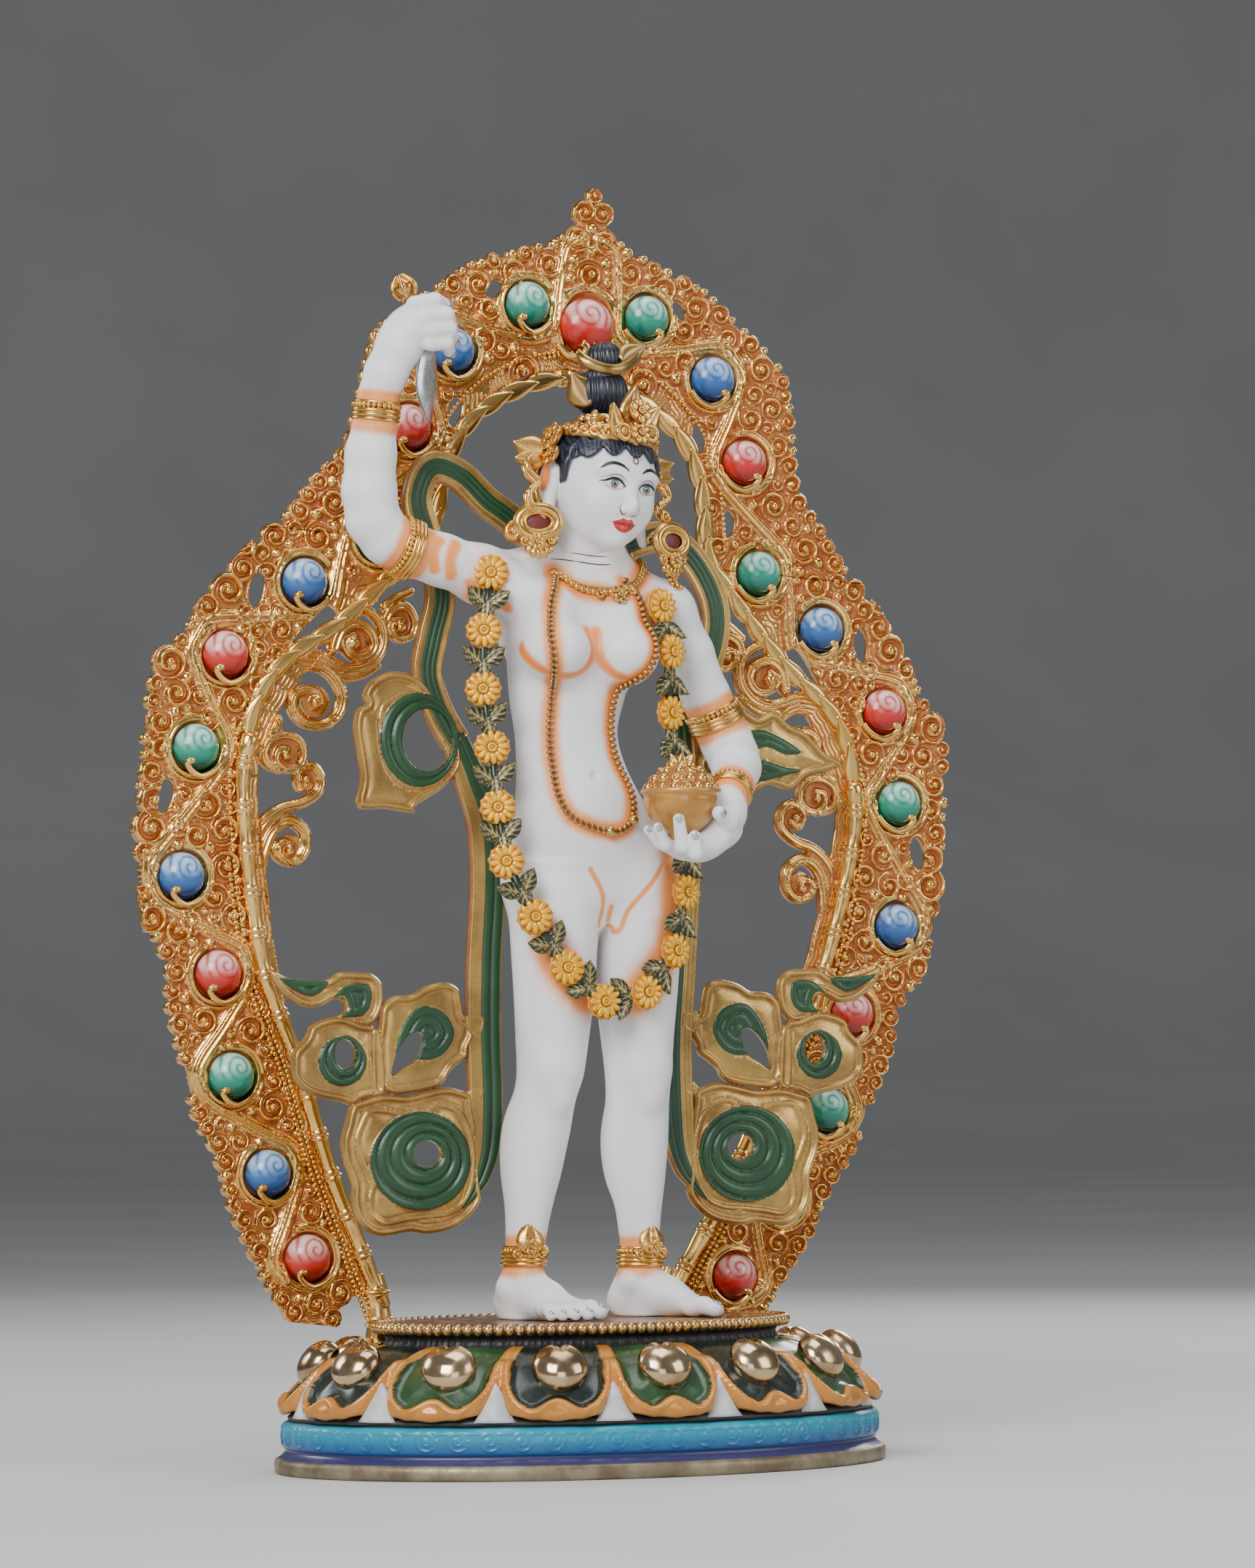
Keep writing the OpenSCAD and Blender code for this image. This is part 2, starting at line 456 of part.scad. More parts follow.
module scarf_elbow_end() color(leaf) difference() {
    translate([0, 12, 0]) upright(ribbon_t) polygon([[52, 228], [56, 238], [64, 246], [76, 247], [88, 240], [101, 231], [90, 226], [78, 222], [62, 221]]);
    union() { left_arm_shape(); body_shape(); scarf_right_shoulder(); scarf_right_fall(); }
}

// ---------- aureole ----------
halo_at = [-1, 48, 45];
module in_halo() translate(halo_at) rotate([halo_lean, 0, 0]) rotate([0, halo_tilt, 0]) children();
// right half of the outer edge, from the finial down to the foot: [across, up]
outer_half = [[0, 380], [5, 375], [7, 367], [14, 361], [28, 356], [42, 351], [54, 342], [68, 332], [77, 322], [80, 306], [84, 286],
    [94, 274], [104, 260], [114, 249], [124, 237], [136, 220], [144, 211], [147, 198], [148, 170], [147, 150], [144, 135], [140, 120],
    [134, 110], [133, 98], [127, 80], [121, 62], [113, 50], [107, 34], [98, 18], [89, 4], [76, -9], [67, -6], [62, 4]];
// right half of the inner edge, from the foot up to the crown of the arch
inner_half = [[48, 4], [58, 24], [70, 48], [82, 78], [91, 104], [98, 130], [103, 156], [105, 178], [100, 194], [89, 212],
    [75, 230], [61, 246], [51, 258], [48, 272], [46, 284], [41, 296], [32, 306], [18, 314], [0, 317]];
half_panel = concat(outer_half, inner_half);
module panel(h) in_halo() upright(h) children();
cut_z = 256;
module limb_2d() intersection() { polygon(half_panel); translate([0, -20]) square([200, cut_z + 20]); }
module limb_trim() translate([0, 50, 36 - 30]) cube([400, 60, 60], center = true);
module aureole_left_limb() color(copper) difference() { panel(panel_t) mirror([1, 0]) limb_2d(); limb_trim(); stem_cut(); tenon_cut(); }
module aureole_right_limb() color(copper) difference() { panel(panel_t) limb_2d(); limb_trim(); stem_cut(); tenon_cut(); }
module aureole_crown_arch() color(copper) difference() {
    panel(panel_t) intersection() {
        union() { polygon(half_panel); mirror([1, 0]) polygon(half_panel); }
        translate([-200, cut_z]) square([400, 200]);
    }
    stem_cut();
}
// bamboo-like stems and a bead row that follow the inner edge, standing proud at the front
function shifted(k, d) = let (p = inner_half[k], a = inner_half[max(k - 1, 0)], b = inner_half[min(k + 1, len(inner_half) - 1)],
    t = unit(b - a)) p + d * [t[1], -t[0]];
strip_last = len(inner_half) - 1;
module strip(d0, d1, k0, k1) polygon(concat([for (k = [k0:k1]) shifted(k, d0)], [for (k = [k1:-1:k0]) shifted(k, d1)]));
module stem_2d() for (m = [0, 1]) mirror([m, 0]) strip(0, 4.5, 0, strip_last);
module stem_cut() in_halo() translate([0, -panel_t / 2 + 0.5, 0]) upright(4) stem_2d();
module aureole_stems() color(gold) difference() { stem_cut(); tenon_cut(); limb_trim(); }
module aureole_bead_rows() color(gold) difference() {
    in_halo() translate([0, -panel_t / 2 - 0.8, 0]) upright(1.6) for (m = [0, 1]) mirror([m, 0]) strip(5.4, 8, 1, strip_last);
}
module bracket_2d() {
    difference() { translate([79, 207]) circle(r = 10, $fn = 40); translate([78, 208]) circle(r = 3, $fn = 32); }
    difference() { translate([88, 192]) circle(r = 7, $fn = 40); translate([88, 192]) circle(r = 2.4, $fn = 32); }
    difference() { translate([89, 160]) circle(r = 9, $fn = 40); translate([88, 160]) circle(r = 2.6, $fn = 32); }
    difference() { translate([84, 146]) circle(r = 7.5, $fn = 40); translate([83, 146]) circle(r = 2.4, $fn = 32); }
    polygon([[84, 148], [92, 154], [99, 132], [95, 118]]);
    polygon([[72, 216], [84, 200], [100, 196], [86, 218], [76, 232]]);
}
module aureole_scroll_brackets() color(gold) difference() {
    panel(4) for (m = [0, 1]) mirror([m, 0]) bracket_2d();
    union() { panel(panel_t + 2) for (m = [0, 1]) mirror([m, 0]) polygon(half_panel); stem_cut(); }
}
module tenon_bars() for (sx = [-1, 1]) {
    translate([sx * socket_x, socket_y, 42]) cube([tenon_w, tenon_t, 37], center = true);
    translate([sx * socket_x, socket_y + 0.5, 49]) cube([tenon_w + 3, tenon_t + 2, 23], center = true);
}
module tenon_cut() tenon_bars();
module aureole_tenons() color(gold) tenon_bars();
red_at = [[62, 293], [121, 213], [116, 109], [78, 18]];
blue_at = [[48, 320], [95, 239], [131, 140], [94, 45]];
green_at = [[22, 338], [70, 256], [129, 182], [109, 76]];
module dome(r) rotate([90, 0, 0]) rotate_extrude($fn = 48)
    polygon([[0, 0], [r, 0], [r * 0.97, 1.6], [r * 0.84, 3.2], [r * 0.6, 4.6], [r * 0.3, 5.4], [0, 5.6]]);
module jewel_set(at) in_halo() for (p = at) for (m = [-1, 1]) translate([m * p[0], -panel_t / 2, p[1]]) dome(jewel_r);
module red_jewels() color("crimson") difference() { jewel_set(red_at); stem_and_beads(); }
module blue_jewels() color("royalblue") difference() { jewel_set(blue_at); stem_and_beads(); }
module green_jewels() color("mediumseagreen") difference() { jewel_set(green_at); stem_and_beads(); }
module stem_and_beads() { stem_cut(); in_halo() translate([0, -panel_t / 2 - 0.8, 0]) upright(1.6) for (m = [0, 1]) mirror([m, 0]) strip(5.4, 8, 1, strip_last); }
module main_jewel() color("red") difference() { in_halo() translate([0, -panel_t / 2, 333]) dome(main_jewel_r); stem_and_beads(); }

plinth_rim();
base_sealing_plate();
scroll_band();
lotus_shell();
light_petals();
dark_petals();
petal_bosses();
white_sepals();
neck_collar();
top_plate();
beaded_rope_rim();
foot_tangs();
aureole_sockets();
body_casting();
head();
hair_and_topknot();
topknot_crescent();
crown();
right_earring();
left_earring();
right_arm();
right_hand();
left_arm();
left_hand();
necklace();
bead_chain();
garland_flowers();
garland_leaves();
armlets();
bracelets();
anklets();
knife_handle();
knife_blade();
skull_cup();
cup_offering();
scarf_left_shoulder();
scarf_right_shoulder();
scarf_left_fall();
scarf_right_fall();
scarf_left_loop();
scarf_left_swirl();
scarf_right_swirl();
scarf_elbow_end();
aureole_left_limb();
aureole_right_limb();
aureole_crown_arch();
aureole_stems();
aureole_bead_rows();
aureole_scroll_brackets();
aureole_tenons();
red_jewels();
blue_jewels();
green_jewels();
main_jewel();
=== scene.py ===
import bpy, math, json
import numpy as np
import openvdb
from mathutils import Vector, Matrix
from mathutils.bvhtree import BVHTree

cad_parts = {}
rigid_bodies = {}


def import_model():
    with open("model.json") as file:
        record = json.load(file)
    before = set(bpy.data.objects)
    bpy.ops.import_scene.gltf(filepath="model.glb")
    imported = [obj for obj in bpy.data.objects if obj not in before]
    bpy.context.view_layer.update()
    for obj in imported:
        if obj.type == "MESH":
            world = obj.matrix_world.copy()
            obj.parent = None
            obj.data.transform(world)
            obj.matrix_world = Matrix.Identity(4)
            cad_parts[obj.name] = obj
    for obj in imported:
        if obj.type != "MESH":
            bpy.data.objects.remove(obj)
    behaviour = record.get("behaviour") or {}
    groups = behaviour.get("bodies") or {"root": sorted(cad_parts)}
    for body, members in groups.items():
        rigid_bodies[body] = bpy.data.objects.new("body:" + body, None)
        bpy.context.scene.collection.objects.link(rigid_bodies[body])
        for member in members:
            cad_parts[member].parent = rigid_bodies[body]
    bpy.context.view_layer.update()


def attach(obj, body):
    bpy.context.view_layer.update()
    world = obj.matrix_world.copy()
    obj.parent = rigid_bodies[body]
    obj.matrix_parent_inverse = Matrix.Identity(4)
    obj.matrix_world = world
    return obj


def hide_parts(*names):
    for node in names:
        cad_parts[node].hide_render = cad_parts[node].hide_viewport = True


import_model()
S = 0.001
STATUE, AUREOLE = "statue", "aureole"
A = np.array


# ------------------------------------------------------------------ small helpers
def lerp(a, b, t):
    return a + (b - a) * t


def sstep(a, b, x):
    t = np.clip((x - a) / (b - a), 0, 1)
    return t * t * (3 - 2 * t)


def smin(a, b, k):
    if k <= 0:
        return np.minimum(a, b)
    h = np.clip(0.5 + 0.5 * (b - a) / k, 0, 1)
    return b + (a - b) * h - k * h * (1 - h)


def unit(v):
    v = np.asarray(v, float)
    return v / max(np.linalg.norm(v), 1e-9)


def rotz(a):
    c, s = math.cos(math.radians(a)), math.sin(math.radians(a))
    return A([[c, -s, 0], [s, c, 0], [0, 0, 1]], float)


def rotx(a):
    c, s = math.cos(math.radians(a)), math.sin(math.radians(a))
    return A([[1, 0, 0], [0, c, -s], [0, s, c]], float)


def roty(a):
    c, s = math.cos(math.radians(a)), math.sin(math.radians(a))
    return A([[c, 0, s], [0, 1, 0], [-s, 0, c]], float)


def catmull(pts, per=8, closed=False):
    P = A(pts, float)
    n = len(P)
    out = []
    rng = n if closed else n - 1
    for i in range(rng):
        if closed:
            p0, p1, p2, p3 = P[(i - 1) % n], P[i], P[(i + 1) % n], P[(i + 2) % n]
        else:
            p0, p1, p2, p3 = P[max(i - 1, 0)], P[i], P[i + 1], P[min(i + 2, n - 1)]
        for k in range(per):
            t = k / per
            out.append(0.5 * ((2 * p1) + (-p0 + p2) * t + (2 * p0 - 5 * p1 + 4 * p2 - p3) * t * t + (-p0 + 3 * p1 - 3 * p2 + p3) * t ** 3))
    if not closed:
        out.append(P[-1])
    return A(out)


def resample(P, step, closed=False):
    P = A(P, float)
    if closed:
        P = np.vstack([P, P[:1]])
    d = np.r_[0, np.cumsum(np.linalg.norm(np.diff(P, axis=0), axis=1))]
    n = max(2, int(round(d[-1] / step)))
    t = np.linspace(0, d[-1], n + 1)
    if closed:
        t = t[:-1]
    return np.stack([np.interp(t, d, P[:, k]) for k in range(P.shape[1])], 1)


def mesh(name, V, F, mat=None, body=STATUE, replaces=(), attrs=None, smooth=True, flat_angle=None):
    """Make one mesh piece from millimetre points and lists of faces (numpy blocks or python lists)."""
    me = bpy.data.meshes.new(name)
    V = np.asarray(V, np.float64) * S
    if isinstance(F, (list, tuple)) and len(F) and isinstance(F[0], np.ndarray) and F[0].ndim == 2:
        blocks = [f for f in F if len(f)]
    else:
        blocks = None
    if blocks is None:
        me.from_pydata([tuple(v) for v in V], [], [tuple(int(i) for i in f) for f in F])
    else:
        me.vertices.add(len(V))
        me.vertices.foreach_set("co", V.astype(np.float32).ravel())
        loops = np.concatenate([b.ravel() for b in blocks]).astype(np.int32)
        tot = np.concatenate([np.full(len(b), b.shape[1], np.int32) for b in blocks])
        start = np.r_[0, np.cumsum(tot)[:-1]].astype(np.int32)
        me.loops.add(len(loops))
        me.polygons.add(len(tot))
        me.polygons.foreach_set("loop_start", start)
        me.polygons.foreach_set("loop_total", tot)
        me.loops.foreach_set("vertex_index", loops)
        me.update(calc_edges=True)
    me.validate()
    if attrs:
        for k, v in attrs.items():
            v = np.asarray(v, np.float32)
            if v.ndim == 1:
                a = me.attributes.new(k, "FLOAT", "POINT")
                a.data.foreach_set("value", v)
            elif v.shape[1] == 3:
                a = me.attributes.new(k, "FLOAT_VECTOR", "POINT")
                a.data.foreach_set("vector", v.ravel())
            else:
                a = me.attributes.new(k, "FLOAT_COLOR", "POINT")
                a.data.foreach_set("color", v.ravel())
    me.polygons.foreach_set("use_smooth", np.full(len(me.polygons), smooth))
    ob = bpy.data.objects.new(name, me)
    bpy.context.scene.collection.objects.link(ob)
    if mat:
        me.materials.append(mat)
    if body:
        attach(ob, body)
    if replaces:
        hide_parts(*replaces)
    return ob


class Bag:
    """Collects many small meshes into one."""
    def __init__(s):
        s.V, s.F, s.n, s.at = [], [], 0, {}

    def add(s, V, F, **attrs):
        V = np.asarray(V, float)
        s.V.append(V)
        s.F += [tuple(int(i) + s.n for i in f) for f in F]
        s.n += len(V)
        for k, v in attrs.items():
            v = np.asarray(v, float)
            if v.ndim == 0:
                v = np.full(len(V), float(v))
            s.at.setdefault(k, []).append(v)

    def make(s, name, mat, body=STATUE, replaces=(), slot=None, smooth=True):
        return mesh(name, np.vstack(s.V), s.F, mat, body, replaces,
                    {k: np.concatenate(v) for k, v in s.at.items()}, smooth)


def ball(r=1.0, n=12, m=7, sc=(1, 1, 1), R=None, c=(0, 0, 0)):
    V = [(0, 0, r)]
    for j in range(1, m):
        p = math.pi * j / m
        for i in range(n):
            q = 2 * math.pi * i / n
            V.append((r * math.sin(p) * math.cos(q), r * math.sin(p) * math.sin(q), r * math.cos(p)))
    V.append((0, 0, -r))
    F = [(0, 1 + i, 1 + (i + 1) % n) for i in range(n)]
    for j in range(m - 2):
        for i in range(n):
            a, b = 1 + j * n + i, 1 + j * n + (i + 1) % n
            F.append((a, a + n, b + n, b))
    L = len(V) - 1
    F += [(L, 1 + (m - 2) * n + (i + 1) % n, 1 + (m - 2) * n + i) for i in range(n)]
    V = A(V) * A(sc)
    if R is not None:
        V = V @ R.T
    return V + A(c), F


def lathe(prof, n=64, closed_ends=True):
    """prof: (r, z) points from bottom to top, r>=0."""
    prof = A(prof, float)
    V, F = [], []
    m = len(prof)
    q = np.arange(n) * 2 * math.pi / n
    V = np.concatenate([np.stack([r * np.cos(q), r * np.sin(q), np.full(n, z)], 1) for r, z in prof])
    for j in range(m - 1):
        for i in range(n):
            a, b = j * n + i, j * n + (i + 1) % n
            F.append((a, b, b + n, a + n))
    if closed_ends:
        F.append(tuple(range(n - 1, -1, -1)))
        F.append(tuple((m - 1) * n + i for i in range(n)))
    return V, F


def tube(P, r, n=10, rb=None, ref=None, closed=False, cap=True):
    """Tube along P (k,3); r scalar or per point; rb second radius along the binormal; ref fixes the frame."""
    P = A(P, float)
    m = len(P)
    r = np.broadcast_to(np.asarray(r, float), (m,))
    rb = r if rb is None else np.broadcast_to(np.asarray(rb, float), (m,))
    if closed:
        T = np.roll(P, -1, 0) - np.roll(P, 1, 0)
    else:
        T = np.gradient(P, axis=0)
    T /= np.maximum(np.linalg.norm(T, axis=1, keepdims=True), 1e-9)
    N = np.zeros_like(P)
    if ref is not None:
        N = np.cross(T, A(ref, float))
        N /= np.maximum(np.linalg.norm(N, axis=1, keepdims=True), 1e-9)
    else:
        v = A([0, 0, 1.0]) if abs(T[0][2]) < 0.9 else A([1.0, 0, 0])
        nn = unit(np.cross(T[0], v))
        for i in range(m):
            nn = nn - T[i] * np.dot(nn, T[i])
            nn = unit(nn)
            N[i] = nn
    B = np.cross(N, T)
    q = np.arange(n) * 2 * math.pi / n
    V = (P[:, None] + r[:, None, None] * np.cos(q)[None, :, None] * N[:, None] + rb[:, None, None] * np.sin(q)[None, :, None] * B[:, None]).reshape(-1, 3)
    F = []
    for j in range(m if closed else m - 1):
        k = (j + 1) % m
        for i in range(n):
            F.append((j * n + i, j * n + (i + 1) % n, k * n + (i + 1) % n, k * n + i))
    if not closed and cap:
        F.append(tuple(range(n - 1, -1, -1)))
        F.append(tuple((m - 1) * n + i for i in range(n)))
    return V, F


# ------------------------------------------------------------------ signed-distance volumes
class Vol:
    def __init__(s, lo, hi, h):
        s.lo = A(lo, float)
        s.h = h
        s.n = np.ceil((A(hi, float) - s.lo) / h).astype(int) + 1
        s.d = np.full(tuple(s.n), 9.0, np.float32)

    def put(s, f, lo, hi, k=0.0, op="u"):
        pad = k + 3 * s.h
        a = np.maximum(0, np.floor((A(lo, float) - pad - s.lo) / s.h).astype(int))
        b = np.minimum(s.n, np.ceil((A(hi, float) + pad - s.lo) / s.h).astype(int) + 1)
        if (b <= a).any():
            return
        sl = tuple(slice(i, j) for i, j in zip(a, b))
        ax = [(s.lo[q] + s.h * np.arange(a[q], b[q])).astype(np.float32) for q in range(3)]
        v = f(ax[0][:, None, None], ax[1][None, :, None], ax[2][None, None, :]).astype(np.float32)
        c = s.d[sl]
        if op == "u":
            s.d[sl] = smin(c, v, k)
        elif op == "s":
            s.d[sl] = -smin(-c, v, k)
        else:
            s.d[sl] = -smin(-c, -v, k)

    def cone(s, p, r, q, t, k=0.0, op="u"):
        p, q = A(p, float), A(q, float)
        d = q - p
        L = max(float(d @ d), 1e-9)
        rm = max(r, t)

        def f(x, y, z):
            w = np.clip(((x - p[0]) * d[0] + (y - p[1]) * d[1] + (z - p[2]) * d[2]) / L, 0, 1)
            return np.sqrt((x - p[0] - w * d[0]) ** 2 + (y - p[1] - w * d[1]) ** 2 + (z - p[2] - w * d[2]) ** 2) - (r + w * (t - r))
        s.put(f, np.minimum(p, q) - rm, np.maximum(p, q) + rm, k, op)

    def chain(s, pts, rad, k=0.0, kk=None, op="u"):
        for i in range(len(pts) - 1):
            s.cone(pts[i], rad[i], pts[i + 1], rad[i + 1], k if i == 0 else (k if kk is None else kk), op)

    def egg(s, c, r, R=None, k=0.0, op="u"):
        c, r = A(c, float), A(r, float)
        R = np.eye(3) if R is None else R
        e = np.sqrt(((R * r[None, :]) ** 2).sum(1))

        def f(x, y, z):
            X, Y, Z = x - c[0], y - c[1], z - c[2]
            u = [(R[0, i] * X + R[1, i] * Y + R[2, i] * Z) / r[i] for i in range(3)]
            k0 = np.sqrt(u[0] ** 2 + u[1] ** 2 + u[2] ** 2)
            k1 = np.sqrt((u[0] / r[0]) ** 2 + (u[1] / r[1]) ** 2 + (u[2] / r[2]) ** 2)
            return k0 * (k0 - 1) / np.maximum(k1, 1e-4)
        s.put(f, c - e, c + e, k, op)

    def torus(s, c, R0, r, R=None, k=0.0, sq=1.0, op="u"):
        c = A(c, float)
        R = np.eye(3) if R is None else R

        def f(x, y, z):
            X, Y, Z = x - c[0], y - c[1], z - c[2]
            u = [(R[0, i] * X + R[1, i] * Y + R[2, i] * Z) for i in range(3)]
            return np.sqrt((np.sqrt(u[0] ** 2 + u[1] ** 2) - R0) ** 2 + (u[2] / sq) ** 2) - r
        m = R0 + r * max(1, sq)
        s.put(f, c - m, c + m, k, op)

    def loft(s, sec, k=0.0, p=2.0):
        """Oval sections [z, cx, cy, a, b], smooth between them."""
        sec = A(sec, float)
        C = catmull(sec, 10)
        z0, z1 = sec[0, 0], sec[-1, 0]

        def f(x, y, z):
            g = [np.interp(z, C[:, 0], C[:, i]) for i in (1, 2, 3, 4)]
            X, Y = (x - g[0]) / g[2], (y - g[1]) / g[3]
            k0 = np.sqrt(X * X + Y * Y)
            k1 = np.sqrt((X / g[2]) ** 2 + (Y / g[3]) ** 2)
            d = k0 * (k0 - 1) / np.maximum(k1, 1e-4)
            return np.maximum(d, np.maximum(z0 - z, z - z1))
        m = sec[:, 3:5].max(0)
        s.put(f, A([sec[:, 1].min() - m[0], sec[:, 2].min() - m[1], z0]), A([sec[:, 1].max() + m[0], sec[:, 2].max() + m[1], z1]), k)

    def at(s, P):
        q = (P - s.lo) / s.h
        q = np.clip(q, 0, s.n - 1.001)
        i = q.astype(int)
        f = q - i
        o = 0
        for a in (0, 1):
            for b in (0, 1):
                for c in (0, 1):
                    w = (f[:, 0] if a else 1 - f[:, 0]) * (f[:, 1] if b else 1 - f[:, 1]) * (f[:, 2] if c else 1 - f[:, 2])
                    o = o + w * s.d[i[:, 0] + a, i[:, 1] + b, i[:, 2] + c]
        return o

    def poly(s, adapt=0.0, iso=0.0):
        d = s.d
        d[0], d[-1], d[:, 0], d[:, -1], d[:, :, 0], d[:, :, -1] = 9, 9, 9, 9, 9, 9
        g = openvdb.FloatGrid(9.0)
        g.copyFromArray(np.ascontiguousarray(d))
        V, T, Q = g.convertToPolygons(isovalue=iso, adaptivity=adapt)
        V = np.asarray(V, float) * s.h + s.lo
        return V, np.asarray(T, np.int32).reshape(-1, 3)[:, ::-1], np.asarray(Q, np.int32).reshape(-1, 4)[:, ::-1]

    def normal(s, V, e=None):
        e = e or s.h
        g = np.stack([s.at(V + A(o, float) * e) - s.at(V - A(o, float) * e) for o in ((1, 0, 0), (0, 1, 0), (0, 0, 1))], 1)
        return g / np.maximum(np.linalg.norm(g, axis=1, keepdims=True), 1e-6)

    # cavity: an occlusion measure, high in recesses; the materials darken with it, painting shade into the recesses
    def cavity(s, V, r=1.2):
        N = s.normal(V)
        a = np.clip((r - s.at(V + N * r)) / r, 0, 1)
        b = np.clip((2 * r - s.at(V + N * 2 * r)) / (2 * r), 0, 1)
        return np.clip(0.5 * a + 0.6 * b, 0, 1)


def split_mesh(V, T, Q, pick):
    """Keep only the faces whose centre satisfies pick(C)."""
    out = []
    for F in (T, Q):
        if len(F):
            C = V[F].mean(1)
            F = F[pick(C)]
        out.append(F)
    used = np.unique(np.concatenate([f.ravel() for f in out])) if sum(len(f) for f in out) else np.zeros(0, int)
    idx = np.full(len(V), -1, np.int64)
    idx[used] = np.arange(len(used))
    return V[used], idx[out[0]].astype(np.int32), idx[out[1]].astype(np.int32), used


# ------------------------------------------------------------------ shader helpers
class Mat:
    def __init__(s, name):
        s.m = bpy.data.materials.new(name)
        s.m.use_nodes = True
        s.t = s.m.node_tree
        for n in list(s.t.nodes):
            s.t.nodes.remove(n)
        s.o = s.t.nodes.new("ShaderNodeOutputMaterial")
        s.b = s.t.nodes.new("ShaderNodeBsdfPrincipled")
        s.t.links.new(s.b.outputs[0], s.o.inputs[0])
        s.tc = None

    def n(s, kind, **kw):
        x = s.t.nodes.new(kind)
        for k, v in kw.items():
            setattr(x, k, v)
        return x

    def link(s, a, b):
        s.t.links.new(a, b)

    def put(s, sock, v):
        if hasattr(v, "is_linked") or hasattr(v, "links"):
            s.t.links.new(v, sock)
        else:
            if sock.type == "RGBA" and len(v) == 3:
                v = tuple(v) + (1.0,)
            sock.default_value = v

    def obj(s):
        if s.tc is None:
            s.tc = s.n("ShaderNodeTexCoord")
        return s.tc.outputs["Object"]

    def attr(s, name, kind="Fac"):
        a = s.n("ShaderNodeAttribute", attribute_name=name)
        return a.outputs[kind]

    def math(s, op, a, b=None, c=None, clamp=False):
        x = s.n("ShaderNodeMath", operation=op, use_clamp=clamp)
        s.put(x.inputs[0], a)
        if b is not None:
            s.put(x.inputs[1], b)
        if c is not None:
            s.put(x.inputs[2], c)
        return x.outputs[0]

    def ramp(s, f, a, b, to0=0.0, to1=1.0, smooth=True):
        x = s.n("ShaderNodeMapRange", interpolation_type="SMOOTHSTEP" if smooth else "LINEAR")
        s.put(x.inputs["Value"], f)
        x.inputs["From Min"].default_value = a
        x.inputs["From Max"].default_value = b
        x.inputs["To Min"].default_value = to0
        x.inputs["To Max"].default_value = to1
        return x.outputs[0]

    def mix(s, f, a, b, mode="MIX"):
        x = s.n("ShaderNodeMix", data_type="RGBA", blend_type=mode)
        s.put(x.inputs[0], f)
        s.put(x.inputs[6], a)
        s.put(x.inputs[7], b)
        return x.outputs[2]

    def noise(s, scale, detail=3.0, rough=0.55, vec=None, dist=0.0):
        x = s.n("ShaderNodeTexNoise")
        s.put(x.inputs["Vector"], vec if vec is not None else s.obj())
        x.inputs["Scale"].default_value = scale
        x.inputs["Detail"].default_value = detail
        x.inputs["Roughness"].default_value = rough
        x.inputs["Distortion"].default_value = dist
        return x.outputs["Fac"]

    def bump(s, h, strength=0.3, dist=0.0002, prev=None):
        x = s.n("ShaderNodeBump")
        x.inputs["Strength"].default_value = strength
        x.inputs["Distance"].default_value = dist
        s.put(x.inputs["Height"], h)
        if prev is not None:
            s.link(prev, x.inputs["Normal"])
        return x.outputs[0]

    def set(s, **kw):
        names = {"color": "Base Color", "metal": "Metallic", "rough": "Roughness", "normal": "Normal", "coat": "Coat Weight",
                 "coat_rough": "Coat Roughness", "spec": "Specular IOR Level", "ior": "IOR"}
        for k, v in kw.items():
            s.put(s.b.inputs[names[k]], v)
        return s.m


def gilt(name, bright=(0.80, 0.52, 0.20), deep=(0.30, 0.10, 0.03), lo=0.15, hi=0.6, rough=(0.24, 0.5), copper=None, cav="cav"):
    bright = tuple(A(bright) * (1.0, 0.93, 0.76))
    copper = None if copper is None else tuple(A(copper) * (0.96, 0.88, 0.76))
    m = Mat(name)
    # towards deep where the cavity attribute is high: partly the orange-brown wash the real gilding has in its hollows,
    # partly painted shade in the recesses
    c = m.attr(cav)
    n1, n2 = m.noise(260, 3), m.noise(1500, 2)
    f = m.ramp(m.math("ADD", c, m.math("MULTIPLY", m.math("SUBTRACT", n1, 0.5), 0.25)), lo, hi)
    base = m.mix(m.ramp(m.noise(55, 2), 0.35, 0.7), bright, tuple(A(bright) * (0.92, 0.84, 0.66)))
    if copper is not None:
        base = m.mix(m.ramp(m.noise(120, 3, 0.6), 0.45, 0.72), base, copper)
    col = m.mix(f, base, deep)
    r = m.math("ADD", m.ramp(f, 0, 1, rough[0], rough[1]), m.math("MULTIPLY", m.math("SUBTRACT", n2, 0.5), 0.16))
    return m.set(color=col, metal=m.ramp(f, 0.0, 1.0, 1.0, 0.35), rough=r, normal=m.bump(m.math("ADD", m.math("MULTIPLY", n1, 0.7), m.math("MULTIPLY", n2, 0.3)), 0.22, 0.00025))


def paint(name, color, color2=None, rough=0.42, bump=0.12, scale=220, coat=0.0, edge=None):
    m = Mat(name)
    n1, n2 = m.noise(scale, 3), m.noise(scale * 6, 2)
    col = m.mix(m.ramp(n1, 0.3, 0.75), color, color2 or tuple(A(color) * 0.72))
    if edge is not None:
        col = m.mix(m.ramp(m.attr("cav"), 0.2, 0.7), col, edge)
    k = dict(color=col, rough=m.ramp(n2, 0.2, 0.8, rough - 0.07, rough + 0.09), normal=m.bump(m.math("ADD", n1, m.math("MULTIPLY", n2, 0.4)), bump, 0.0002))
    if coat:
        m.b.inputs["Coat Weight"].default_value = coat
        m.b.inputs["Coat Roughness"].default_value = 0.12
    return m.set(**k)


